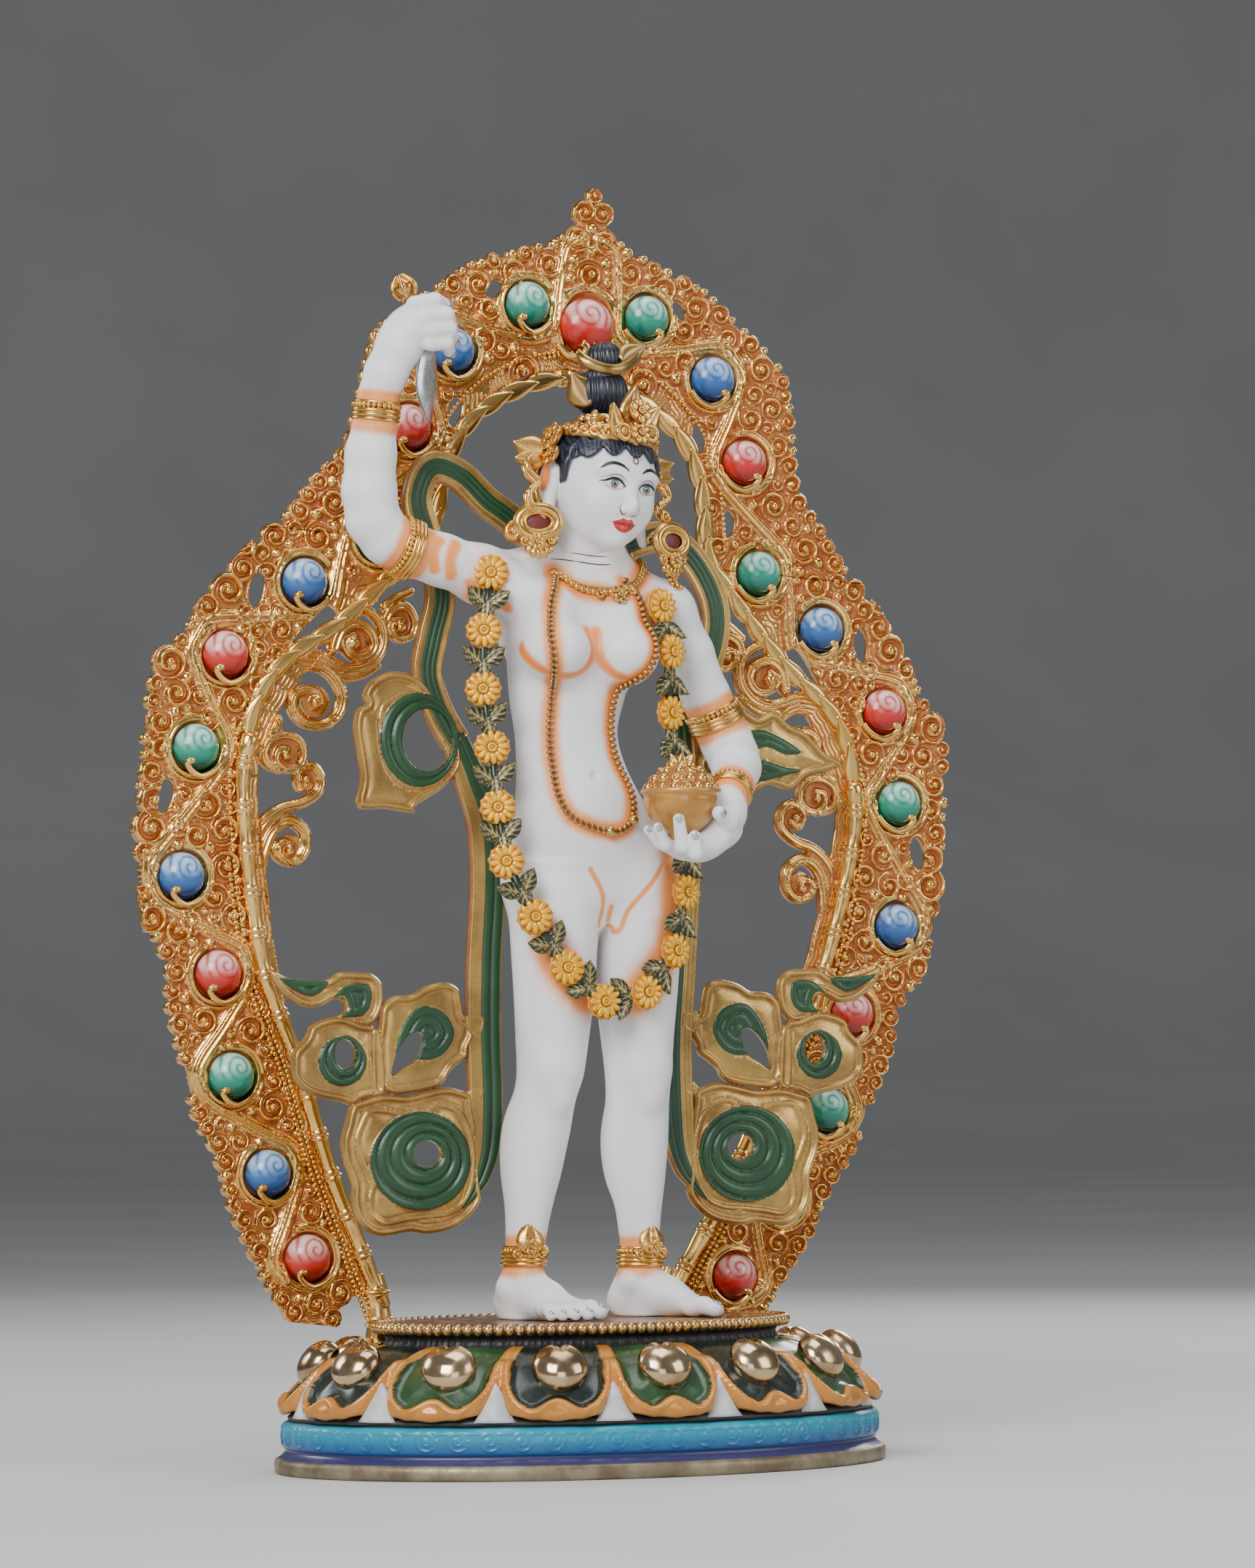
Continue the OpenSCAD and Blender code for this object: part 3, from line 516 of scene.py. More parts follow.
# ------------------------------------------------------------------ camera, floor, light
def camera():
    th, el, roll = math.radians(25.0), math.radians(-2.6), math.radians(-0.6)
    D, zc, tx, f = 2000.0, 131.0, 16.7, 8406.0
    st, ct, se, ce = math.sin(th), math.cos(th), math.sin(el), math.cos(el)
    b = A([-st * ce, -ct * ce, se])
    r = np.cross(-b, A([0, 0, 1.0]))
    r /= np.linalg.norm(r)
    u = np.cross(r, -b)
    r2 = math.cos(roll) * r + math.sin(roll) * u
    u2 = -math.sin(roll) * r + math.cos(roll) * u
    C = A([-st * D, -ct * D, zc]) + tx * A([ct, -st, 0])
    M = Matrix([[r2[i], u2[i], b[i], C[i] * S] for i in range(3)] + [[0, 0, 0, 1]])
    cd = bpy.data.cameras.new("photo_camera")
    cd.sensor_width = 36.0
    cd.lens = f / 2156.0 * 36.0
    cd.clip_start, cd.clip_end = 0.05, 50
    co = bpy.data.objects.new("photo_camera", cd)
    co.matrix_world = M
    bpy.context.scene.collection.objects.link(co)
    bpy.context.scene.camera = co


camera()


def floor():
    V, F = [], []
    prof = [(-9, 0), (5.0, 0), (6.2, 0.12), (7.0, 0.6), (7.4, 1.5), (7.5, 3), (7.5, 9)]
    for y, z in prof:
        for x in (-9, 9):
            V.append((x * 1000, y * 1000, z * 1000))
    F = [(2 * i, 2 * i + 1, 2 * i + 3, 2 * i + 2) for i in range(len(prof) - 1)]
    m = Mat("floor_paper")
    m.set(color=m.mix(m.ramp(m.noise(3, 2), 0.3, 0.7), (0.56, 0.56, 0.555), (0.60, 0.60, 0.595)), rough=0.75)
    ob = mesh("floor", V, F, m.m, body=None)


floor()


def area(name, loc, target, size, power, color=(1, 1, 1), size_y=None):
    L = bpy.data.lights.new(name, "AREA")
    L.shape = "RECTANGLE"
    L.size, L.size_y = size, size_y or size
    L.energy = power
    L.color = color
    o = bpy.data.objects.new(name, L)
    o.location = loc
    o.rotation_euler = (Vector(target) - Vector(loc)).to_track_quat("-Z", "Y").to_euler()
    bpy.context.scene.collection.objects.link(o)
    return o


area("key_soft", (-1.05, -1.0, 0.95), (0, 0, 0.2), 0.8, 27.0)
area("fill_soft", (1.15, -1.1, 0.7), (0, 0, 0.2), 0.9, 9.0)
area("top_soft", (0.1, -0.15, 1.5), (0, 0, 0.2), 0.9, 9.0)
area("front_card", (-0.45, -1.7, 0.25), (0, 0, 0.18), 0.7, 3.0)
area("rim_left", (-0.9, 0.9, 0.7), (0, 0, 0.25), 0.5, 6.0)
area("rim_right", (0.9, 0.9, 0.7), (0, 0, 0.25), 0.5, 6.0)
world = bpy.data.worlds.new("soft_world")
bpy.context.scene.world = world
world.use_nodes = True
world.node_tree.nodes["Background"].inputs[0].default_value = (0.75, 0.77, 0.8, 1)
world.node_tree.nodes["Background"].inputs[1].default_value = 0.27

# ------------------------------------------------------------------ figure: one field, cut into castings
PLATE = 47.6
ANK = [A([-20.0, 2.0]), A([21.5, 1.0])]
YAW = [19.0, 42.0]
SHO_R, ELB_R, WRI_R = A([-34, 3, 291.0]), A([-70.5, 1, 304.0]), A([-70.5, -3, 346.0])
SHO_L, ELB_L, WRI_L = A([35, 3, 280.0]), A([57.5, 5, 235.0]), A([41.5, -28, 216.6])


def foot_pt(k, d, w, z):
    o, a = ANK[k], math.radians(YAW[k])
    m = 1 if k == 0 else -1           # w > 0 is the big-toe side
    return A([o[0] + d * math.sin(a) + m * w * math.cos(a), o[1] - d * math.cos(a) + m * w * math.sin(a), z])


TOES = []


def build_body(v):
    RL = [[46, -20.5, 2.5, 6.4, 8.2], [58, -20, 2.4, 6.3, 7.4], [68, -19.4, 2, 6.2, 6.9], [80, -18.2, 2, 7.0, 8.2], [94, -16.4, 2.6, 9.2, 10.2],
          [107, -14.5, 2, 10.4, 11.0], [118, -12.8, 0.5, 10.4, 10.6], [127, -11, -1.0, 10.9, 11.2], [140, -10, -1, 12, 12.6],
          [155, -9, -0.6, 13.2, 14.2], [170, -8.6, 0, 14.0, 15.6], [184, -7.2, 1, 15.5, 16.5], [194, -5, 2, 15, 15]]
    LL = [[46, 22.4, 1.5, 6.4, 8.2], [58, 22, 1.4, 6.3, 7.4], [68, 21.6, 1, 6.2, 6.9], [80, 21.3, 1, 7.0, 8.2], [94, 21.1, 1.6, 9.2, 10.2],
          [107, 21, 1.5, 10.4, 11.0], [118, 20.8, 0, 10.4, 10.6], [127, 20.7, -1.0, 10.9, 11.2], [140, 20.5, -1, 12, 12.8],
          [155, 20.6, -0.6, 13.5, 14.4], [170, 20.9, 0, 14.5, 15.8], [184, 21.5, 1, 15.5, 16.5], [194, 18.5, 2, 15, 15]]
    v.loft(RL, 0)
    v.loft(LL, 1.6)
    for x in (-11.3, 20.9):
        v.egg((x, -8.6, 128.5), (6.6, 5.0, 7.0), k=5)
        v.egg((x, -8.0, 120), (4.6, 4.4, 5.5), k=4)
    for x in (-14.8, 21.2):
        v.egg((x - 3.4, 7.0, 103), (5.6, 6.6, 15), k=5)
        v.egg((x + 3.4, 7.0, 101), (5.6, 6.6, 14), k=5)
    for k in (0, 1):
        v.egg(foot_pt(k, -5.2, 0, 53.0), (6.0, 6.6, 6.2), k=4)
        v.cone(foot_pt(k, -1, 0, 58), 6.3, foot_pt(k, 10, 1.0, 54.8), 5.4, 5)
        v.cone(foot_pt(k, 9, 0, 54.6), 5.4, foot_pt(k, 21, 3.2, 51.0), 3.7, 4)
        v.cone(foot_pt(k, 7, -1, 53.6), 5.2, foot_pt(k, 19.5, -4.4, 50.6), 3.2, 4)
        v.egg(foot_pt(k, -1.0, 6.2, 59.5), (2.2, 3, 3.2), k=3)
        v.egg(foot_pt(k, -2.0, -6.2, 58), (2.2, 3, 3.2), k=3)
        for j, (w0, w1, d0, d1, r0, r1) in enumerate([(5.6, 6.6, 20, 29.0, 2.9, 2.7), (1.6, 2.0, 20, 28.4, 2.2, 2.0), (-1.6, -2.0, 19, 26.6, 2.1, 1.9),
                                                      (-4.4, -5.4, 18, 24.4, 2.0, 1.8), (-6.6, -8.2, 16, 21.8, 1.9, 1.65)]):
            a, b = foot_pt(k, d0, w0, 51.0), foot_pt(k, d1, w1, 47.6 + r1 + 0.1)
            m = foot_pt(k, lerp(d0, d1, 0.55), lerp(w0, w1, 0.55), 51.6)
            v.cone(a, r0, m, r1 * 1.02, 1.6)
            v.cone(m, r1 * 1.02, b, r1, 0.9)
            TOES.append((m, b, r1))
    trunk = [[176, 7, 1, 20, 10], [184, 7, 1.5, 27.5, 15.5], [192, 6.5, 2, 30, 17.5], [200, 5.6, 1.6, 29.4, 17.2], [209, 3.4, 0.6, 25.6, 15.6], [222, -0.6, 0, 20.2, 13.8],
             [237, -3.2, 0.6, 17.6, 12.6], [250, -2.4, 1.6, 19.8, 13.6], [264, 0, 2, 22.8, 14.6], [276, 1.8, 2.4, 24, 13.4], [285, 3.2, 2.8, 20, 11],
             [291, 5.4, 2.4, 11.5, 9], [297, 6.8, 1.2, 8.8, 8.6], [306, 8, 0.4, 8.3, 8.5], [316, 8.4, 0, 8.2, 8.4]]
    v.loft(trunk, 5)
    v.egg((1.0, -8.0, 211), (15, 8.4, 14), k=8)
    v.egg((-8.5, 8.5, 190), (13.6, 12.4, 13), k=6)
    v.egg((20.5, 8.5, 190), (13.6, 12.4, 13), k=6)
    v.cone((-0.2, -17.6, 224.5), 0.8, (-0.2, -14.4, 224.0), 1.1, 1.6, "s")
    # chest
    v.egg((-11.6, -9.0, 265), (11.4, 13.4, 10.8), k=4.0)
    v.egg((13.2, -9.0, 264.4), (11.4, 13.4, 10.8), k=4.0)
    v.cone((-12, -5, 279), 8, (-31, 0, 288), 8, 7)
    v.cone((14, -5, 278), 8, (30, 0, 281), 7.4, 7)
    v.cone((3, 3, 298), 6.5, (-26, 4, 291), 6.4, 7)
    v.cone((11, 3, 297), 6.5, (28, 4, 284.5), 6.2, 7)
    v.egg((-13, 11, 275), (11, 5.5, 12), k=6)
    v.egg((15, 11, 273), (11, 5.5, 12), k=6)
    v.cone((-2.6, 18.6, 232), 1.4, (3.0, 19.6, 276), 1.4, 5, "s")
    v.cone((6.4, 22.0, 178), 1.2, (6.2, 23.4, 194), 1.0, 3.4, "s")
    # groin folds, kept as shallow lines
    v.cone((-15.5, -17.6, 196), 0.5, (3.6, -17.2, 178.5), 0.6, 2.4, "s")
    v.cone((28.5, -17.6, 196), 0.5, (9.6, -17.2, 178.5), 0.6, 2.4, "s")
    # arms
    v.egg((-33, 3.2, 290.5), (10, 9.2, 9.2), roty(20), k=5)
    v.chain([SHO_R, [-46, 2.6, 294.5], [-58, 2, 297.6], [-66, 1.4, 301.2], [-71, 0.8, 307], [-72.6, 0, 316], [-72.4, -1.2, 328], [-71.4, -2.4, 338], WRI_R],
            [8.6, 8.5, 8.6, 8.5, 8.6, 8.7, 8.1, 7.0, 6.2], 3, 2)
    v.egg((35.5, 3.2, 278), (9.0, 9.0, 10.5), rotz(0) @ roty(18), k=5)
    v.chain([SHO_L, [43, 4, 266], [50, 5, 251], [54.4, 5.6, 243], [57.2, 4.6, 236.4], [57.2, 0, 231.6], [53.4, -10, 227.4], [47.6, -20, 221.6], WRI_L],
            [8.4, 8.2, 8.0, 8.3, 8.4, 8.2, 7.9, 6.6, 5.8], 3, 2)


def fist(v):
    """Right hand, closed round the handle, back of the hand to the upper left."""
    v.chain([WRI_R + A([0, 0, -4]), WRI_R, [-68.6, -5.6, 354], [-65.6, -7.6, 361]], [6.4, 6.2, 6.6, 7.4], 0, 3)
    v.egg((-63.2, -8.2, 366.5), (7.4, 6.6, 9.6), roty(28), k=4)
    v.egg((-60.5, -11.0, 369.5), (6.2, 5.6, 7.0), roty(30), k=3)
    k0 = [A([-61.6, -13.2, 375.6]), A([-58.6, -14.6, 371.6]), A([-57.0, -14.8, 367.2]), A([-56.6, -14.2, 363.0])]
    k1 = [A([-54.8, -13.6, 377.2]), A([-51.4, -15.2, 372.4]), A([-50.4, -15.2, 367.8]), A([-51.0, -14.4, 363.4])]
    k2 = [A([-50.2, -11.0, 376.2]), A([-48.0, -10.4, 369.6]), A([-47.4, -10.4, 365.4]), A([-48.2, -10.0, 361.4])]
    for a, b, c, r in zip(k0, k1, k2, (2.5, 2.6, 2.5, 2.2)):
        v.cone(a, r + 0.3, b, r, 1.5)
        v.cone(b, r, c, r - 0.25, 0.8)
        FIST_TIPS.append((b, c, r - 0.25))
    v.chain([[-62, -4, 371], [-57.5, -3.4, 375.4], [-52.6, -5.4, 377.6]], [3.0, 2.7, 2.3], 2, 1)
    for a, b in zip(k0[:-1], k0[1:]):
        m = (a + b) / 2 + A([2.5, -2.8, 0.6])
        v.cone(m, 0.3, m + A([4, 0, 0.4]), 0.3, 0.8, "s")


FIST_TIPS = []
PALM_TIPS = []


def open_hand(v):
    """Left hand, palm up under the cup, finger tips curling up in front of it."""
    v.chain([WRI_L + A([5, 6, 4]), WRI_L, [39.2, -31.4, 211.4], [35.4, -34.6, 206.4]], [6.2, 5.8, 6.0, 6.4], 0, 3)
    v.egg((29.6, -37.6, 201.6), (9.4, 7.6, 4.8), rotz(20) @ roty(-28), k=4)
    v.egg((24.0, -39.2, 199.6), (6.6, 7.2, 3.6), roty(-8), k=3)
    f = [([23.0, -44.6, 198.8], [19.8, -48.6, 197.8], [19.0, -49.4, 203.2], 2.3),
         ([20.4, -43.0, 198.2], [15.4, -47.6, 199.8], [14.0, -48.2, 208.6], 2.35),
         ([18.6, -39.4, 198.6], [12.2, -42.0, 200.6], [9.0, -43.0, 206.0], 2.15),
         ([19.0, -36.0, 199.2], [12.6, -36.6, 201.4], [8.4, -36.8, 205.6], 1.95)]
    for a, b, c, r in f:
        v.cone(a, r + 0.5, b, r, 2.2)
        v.cone(b, r, c, r - 0.45, 0.9)
        PALM_TIPS.append((A(b, float), A(c, float), r - 0.45))
    v.chain([[37.0, -38.0, 206.6], [34.4, -43.2, 208.4], [29.2, -46.4, 210.8]], [3.9, 3.0, 2.3], 3, 1.2)
    PALM_TIPS.append((A([34.4, -43.2, 208.4]), A([29.2, -46.4, 210.8]), 2.3))


bv = Vol((-92, -34, 46), (76, 30, 360), 0.75)
build_body(bv)
# flat soles
bv.put(lambda x, y, z: (PLATE + 0.05 - z) + 0 * x + 0 * y, (-60, -50, 46), (60, 30, 49), 0.6, "i")
CH = [[-9.5, -6, 289], [-14, -13, 282], [-18, -20, 272], [-18.4, -23, 262], [-16.6, -18.5, 251], [-16.2, -14.5, 240],
      [-16, -15, 228], [-15, -17, 219], [-11, -19.5, 211], [-3, -21, 207], [6, -21, 205.6], [12, -18.5, 209], [13.8, -16, 218],
      [11.6, -14.5, 230], [10.6, -14.5, 242], [12.6, -18.5, 251], [18, -22, 259], [20.6, -20.5, 270], [18, -13, 281], [14.6, -7, 288]]
GA = [[-33, -7, 290], [-36.5, -9, 271], [-37, -9, 252], [-34.5, -10, 233], [-33.5, -12, 213.5], [-32, -15, 196], [-23.5, -18, 178],
      [-13, -19, 161.5], [0, -19, 150.5], [15, -19, 153.5], [25.5, -19, 167], [29.5, -19, 186], [31.5, -16, 205], [30, -12, 224], [28.5, -11, 245],
      [28, -13, 265], [25, -12, 280]]


def near(V, P, chunk=40000):
    """Distance from each point to the nearest point of P."""
    out = np.empty(len(V))
    for i in range(0, len(V), chunk):
        d = ((V[i:i + chunk, None] - P[None]) ** 2).sum(2)
        out[i:i + chunk] = np.sqrt(d.min(1))
    return out


def glow(V, sets):
    w = np.zeros(len(V))
    for P, r, a in sets:
        d = near(V, A(P, float))
        w = np.maximum(w, a * np.exp(-(d / r) ** 2))
    return w


def ring_pts(c, d, r, n=28):
    d = unit(d)
    u = unit(np.cross(d, A([0.3, 0.5, 0.8])))
    w = np.cross(d, u)
    q = np.arange(n) * 2 * math.pi / n
    return A(c, float) + r * (np.cos(q)[:, None] * u + np.sin(q)[:, None] * w)


CUFFS = [("armlet_r", A([-59.5, 1.9, 298.2]), A([-1, -0.05, 0.34]), 8.75), ("armlet_l", A([53.2, 5.5, 245.2]), A([0.45, 0.05, -0.9]), 8.35),
         ("bracelet_r", A([-71.0, -2.7, 341.5]), A([0.06, -0.12, 1.0]), 6.75), ("bracelet_l", A([43.6, -25.4, 218.6]), A([-0.52, -0.7, -0.42]), 6.1),
         ("anklet_r", A([-19.5, 2.1, 68.0]), A([0, 0, 1.0]), 6.4), ("anklet_l", A([21.7, 1.1, 67.0]), A([0, 0, 1.0]), 6.4)]


def to_surface(vol, P, off=0.0, it=6):
    """Slide points on to the iso-surface of a volume along its gradient."""
    P = A(P, float)
    for _ in range(it):
        P = P - (vol.at(P) - off)[:, None] * vol.normal(P) * 0.9
    return P


CHAIN = resample(to_surface(bv, catmull(CH, 8), 0.9), 2.05)
NECK = to_surface(bv, A([[6.8 + 15.5 * math.cos(q), 0.6 - 14.0 * math.sin(q), 291.6 - 5.5 * math.sin(q)] for q in np.linspace(-0.15, math.pi + 0.15, 60)]), 0.8)
NECK = resample(NECK, 2.0)
GARL = resample(catmull(GA, 8), 2.0)
GARL_S = GARL - A([0, -2.5, 0])
skin_sets = [(CHAIN, 3.6, 1.0), (NECK, 4.2, 1.0), (GARL + A([0, 4.0, 0]), 7.0, 1.0)]
for nm, c, d, r in CUFFS:
    dd = unit(d)
    for o, amp in ((-5.2, 0.75), (-3.0, 0.9), (3.0, 0.9), (5.2, 0.75)):
        skin_sets.append((ring_pts(c + dd * o, d, r), 2.5, amp))


def arcline(pts):
    return to_surface(bv, resample(catmull(pts, 8), 0.8), 0.0)


UNDER = [arcline([[-25, -8, 266], [-20, -16, 257], [-12, -18, 254.2], [-4.5, -16, 257.5], [-0.6, -14, 264], [-0.8, -14, 272]]),
         arcline([[26, -8, 265], [21, -16, 256], [13.5, -18, 253.8], [6.5, -16, 257], [2.0, -14, 264], [1.4, -14, 272]])]
GROIN = [arcline([[-2.5, -16, 193.5], [2.4, -16.5, 185], [4.6, -15.5, 175]]), arcline([[29, -14, 199.5], [19, -16.5, 188.5], [11, -16, 179.5], [5.4, -15, 170]]),
         arcline([[6.4, -16, 180], [6.3, -14, 172]])]
ARMPIT = [arcline([[-27, -6, 279], [-33, -7, 284], [-40, -6, 286]]), arcline([[26, -8, 273], [30, -8, 268], [33, -5, 264]]),
          arcline([[-44, -6, 300], [-47, -7, 294], [-46, -6, 288]]), arcline([[-50, -6, 301], [-53, -7, 296], [-52, -6, 290]])]
for u in UNDER:
    skin_sets.append((u, 2.3, 1.0))
for u in GROIN:
    skin_sets.append((u, 1.0, 0.9))
for u in ARMPIT:
    skin_sets.append((u, 2.4, 0.9))


def skin_material():
    m = Mat("white_skin")
    w = m.attr("warm")
    n1, n2, n3 = m.noise(180, 3), m.noise(900, 3), m.noise(30, 2)
    base = m.mix(m.ramp(n3, 0.3, 0.7), (0.80, 0.815, 0.84), (0.85, 0.855, 0.865))
    f = m.ramp(m.math("ADD", w, m.math("MULTIPLY", m.math("SUBTRACT", n1, 0.5), 0.35)), 0.08, 0.72)
    mid = m.mix(f, base, (0.93, 0.33, 0.085))
    col = m.mix(m.ramp(m.attr("warm"), 0.80, 1.0, 0, 0.6), mid, (0.82, 0.19, 0.03))
    # painted shade: brownish grey where the cavity measure finds recesses
    col = m.mix(m.math("MULTIPLY", m.attr("cav"), 0.30), col, (0.55, 0.42, 0.36))
    return m.set(color=col, rough=m.ramp(n2, 0.2, 0.8, 0.40, 0.56), normal=m.bump(m.math("ADD", n1, m.math("MULTIPLY", n2, 0.35)), 0.10, 0.0002), spec=0.45)


SKIN = skin_material()
bV, bT, bQ = bv.poly(0.0)
bV = bV.copy()


def skin_piece(name, V, T, Q, vol, sets, replaces, extra=None):
    warm = glow(V, sets)
    cav = vol.cavity(V, 1.6)
    return mesh(name, V, [T, Q], SKIN, STATUE, replaces, {"warm": warm, "cav": cav})


def side(c, d):
    c, d = A(c, float), unit(d)
    return lambda C: (C - c) @ d > 0


cuf = {n: (c, d, r) for n, c, d, r in CUFFS}
pr = side(*cuf["armlet_r"][:2])
pl = side(*cuf["armlet_l"][:2])
wr = side(*cuf["bracelet_r"][:2])
wl = side(*cuf["bracelet_l"][:2])
in_r = lambda C: pr(C) & (C[:, 0] < -48) & (C[:, 2] > 270)
in_l = lambda C: (pl(C) | (C[:, 1] < -11)) & (C[:, 0] > 36) & (C[:, 2] > 200) & (C[:, 2] < 256)
for nm, pick, rep in (("figure_body", lambda C: ~in_r(C) & ~in_l(C), ("body_casting",)),
                      ("figure_right_arm", lambda C: in_r(C) & ~(wr(C) & (C[:, 2] > 330)), ("right_arm",)),
                      ("figure_left_arm", lambda C: in_l(C) & ~(wl(C) & (C[:, 1] < -20)), ("left_arm",))):
    v_, t_, q_, used = split_mesh(bV, bT, bQ, pick)
    skin_piece(nm, v_, t_, q_, bv, skin_sets, rep)

hr = Vol((-84, -26, 338), (-38, 8, 386), 0.36)
fist(hr)
hv, ht, hq = hr.poly(0.0)
v_, t_, q_, _ = split_mesh(hv, ht, hq, lambda C: wr(C))
skin_piece("figure_right_hand", v_, t_, q_, hr, skin_sets[3:], ("right_hand",))
hl = Vol((0, -58, 190), (58, -14, 228), 0.36)
open_hand(hl)
hv, ht, hq = hl.poly(0.0)
v_, t_, q_, _ = split_mesh(hv, ht, hq, lambda C: wl(C))
skin_piece("figure_left_hand", v_, t_, q_, hl, skin_sets[3:], ("left_hand",))


# ------------------------------------------------------------------ aureole
SP, CP = math.sin(math.radians(2.5)), math.cos(math.radians(2.5))
ST, CT = math.sin(math.radians(3.6)), math.cos(math.radians(3.6))


def halo(P):
    """(u, s, n) on the aureole to millimetres in the statue's frame."""
    P = A(P, float)
    xx = P[..., 0] * CT + P[..., 1] * ST
    ss = -P[..., 0] * ST + P[..., 1] * CT
    return np.stack([-1 + xx, 48 - ss * SP - P[..., 2] * CP, 45 + ss * CP - P[..., 2] * SP], -1)


OUTER = A([(-12, 380), (0, 380), (5, 375), (7, 367), (14, 361), (28, 356), (42, 351), (54, 342), (68, 332), (77, 322), (80, 306), (84, 286), (94, 274), (104, 260), (114, 249), (124, 237), (136, 220), (144, 211), (147, 198), (148, 170), (147, 150), (144, 135), (140, 120), (134, 110), (133, 98), (127, 80), (121, 62), (113, 50), (107, 34), (98, 18), (89, 4), (76, -9), (67, -6), (62, 4)], float)
INNER = A([(48, 4), (58, 24), (70, 48), (82, 78), (91, 104), (98, 130), (103, 156), (105, 178), (100, 194), (89, 212), (75, 230), (61, 246), (51, 258), (48, 272), (46, 284), (41, 296), (32, 306), (18, 314), (0, 317), (-12, 314)], float)
JEWELS = {"red": [(62, 293), (121, 213), (116, 109), (78, 18)], "blue": [(48, 320), (95, 239), (131, 140), (94, 45)], "green": [(22, 338), (70, 256), (129, 182), (109, 76)]}
ALLJ = [p for q in JEWELS.values() for p in q]
g_h = 0.42
u0, u1, s0, s1 = -153.0, 153.0, -13.0, 385.0
gu = np.arange(0, u1 + g_h, g_h)
gs = np.arange(s0, s1, g_h)
GU, GS = np.meshgrid(gu, gs, indexing="ij")


def seg_field(P, closed=False, U=GU, W=GS):
    """Distance to a polyline over the whole half plane and the sign (inside) of the closed one."""
    d = np.full(U.shape, 1e9)
    ins = np.zeros(U.shape, bool)
    n = len(P)
    for i in range(n if closed else n - 1):
        a, b = P[i], P[(i + 1) % n]
        e = b - a
        t = np.clip(((U - a[0]) * e[0] + (W - a[1]) * e[1]) / max(e @ e, 1e-9), 0, 1)
        d = np.minimum(d, (U - a[0] - t * e[0]) ** 2 + (W - a[1] - t * e[1]) ** 2)
        if closed:
            c = (a[1] > W) != (b[1] > W)
            xx = (b[0] - a[0]) * (W - a[1]) / (b[1] - a[1] if b[1] != a[1] else 1e-9) + a[0]
            ins ^= c & (U < xx)
    d = np.sqrt(d)
    return np.where(ins, -d, d) if closed else d


OUTS = catmull(OUTER, 3)
INS = catmull(INNER, 3)
poly = np.vstack([OUTS, INS])
M0 = seg_field(poly, True)
EDGE = resample(OUTS, 0.5)
H = np.full(GU.shape, 0.35)
OCC = np.full(GU.shape, 9.0)          # distance outside every stamped feature
BR = np.full(GU.shape, 9.0)           # bracket mask
HB = np.full(GU.shape, -1.0)


def win(c, r):
    i0, i1 = int(max(0, (c[0] - r) / g_h)), int(min(len(gu), (c[0] + r) / g_h + 2))
    j0, j1 = int(max(0, (c[1] - r - s0) / g_h)), int(min(len(gs), (c[1] + r - s0) / g_h + 2))
    return (slice(i0, i1), slice(j0, j1)) if i1 > i0 and j1 > j0 else None


def occupy(c, r):
    w = win(c, r + 9)
    if w:
        OCC[w] = np.minimum(OCC[w], np.hypot(GU[w] - c[0], GS[w] - c[1]) - r)


def scroll(c, R, a0=0.0, dr=1, h=2.6, turns=1.6, field=None, cup=None):
    """A dished spiral scroll with a ball at its centre."""
    Hf = H if field is None else field
    w = win(c, R + 0.4)
    if not w:
        return
    du, ds = GU[w] - c[0], GS[w] - c[1]
    rho = np.hypot(du, ds)
    q = np.clip(rho / R, 1e-3, 1.3)
    b = math.log(1 / 0.3) / (2 * math.pi * turns)
    ph = np.arctan2(ds, du) * dr - math.radians(a0)
    t = np.log(1 / q) / b
    dl = (t - ph) / (2 * math.pi)
    dl = (dl - np.round(dl)) * 2            # -1..1 across one turn
    ridge = np.clip(1 - (dl / 0.62) ** 2, 0, 1) ** 0.6
    dish = 0.45 + 0.55 * q
    z = 0.5 + (h - 0.5) * dish * (0.12 + 0.88 * ridge)
    z = np.where(q < 0.3, 0, z)
    core = h * (0.74 if cup is None else cup) + 0.28 * R * np.sqrt(np.clip(1 - (rho / (0.29 * R)) ** 2, 0, 1)) * 0.8
    z = np.where(rho < 0.29 * R, core, z)
    z = np.where(rho <= R, z * np.clip((1.06 - q) / 0.16, 0, 1) ** 0.5, -5)
    Hf[w] = np.maximum(Hf[w], z)
    if field is None:
        occupy(c, R)


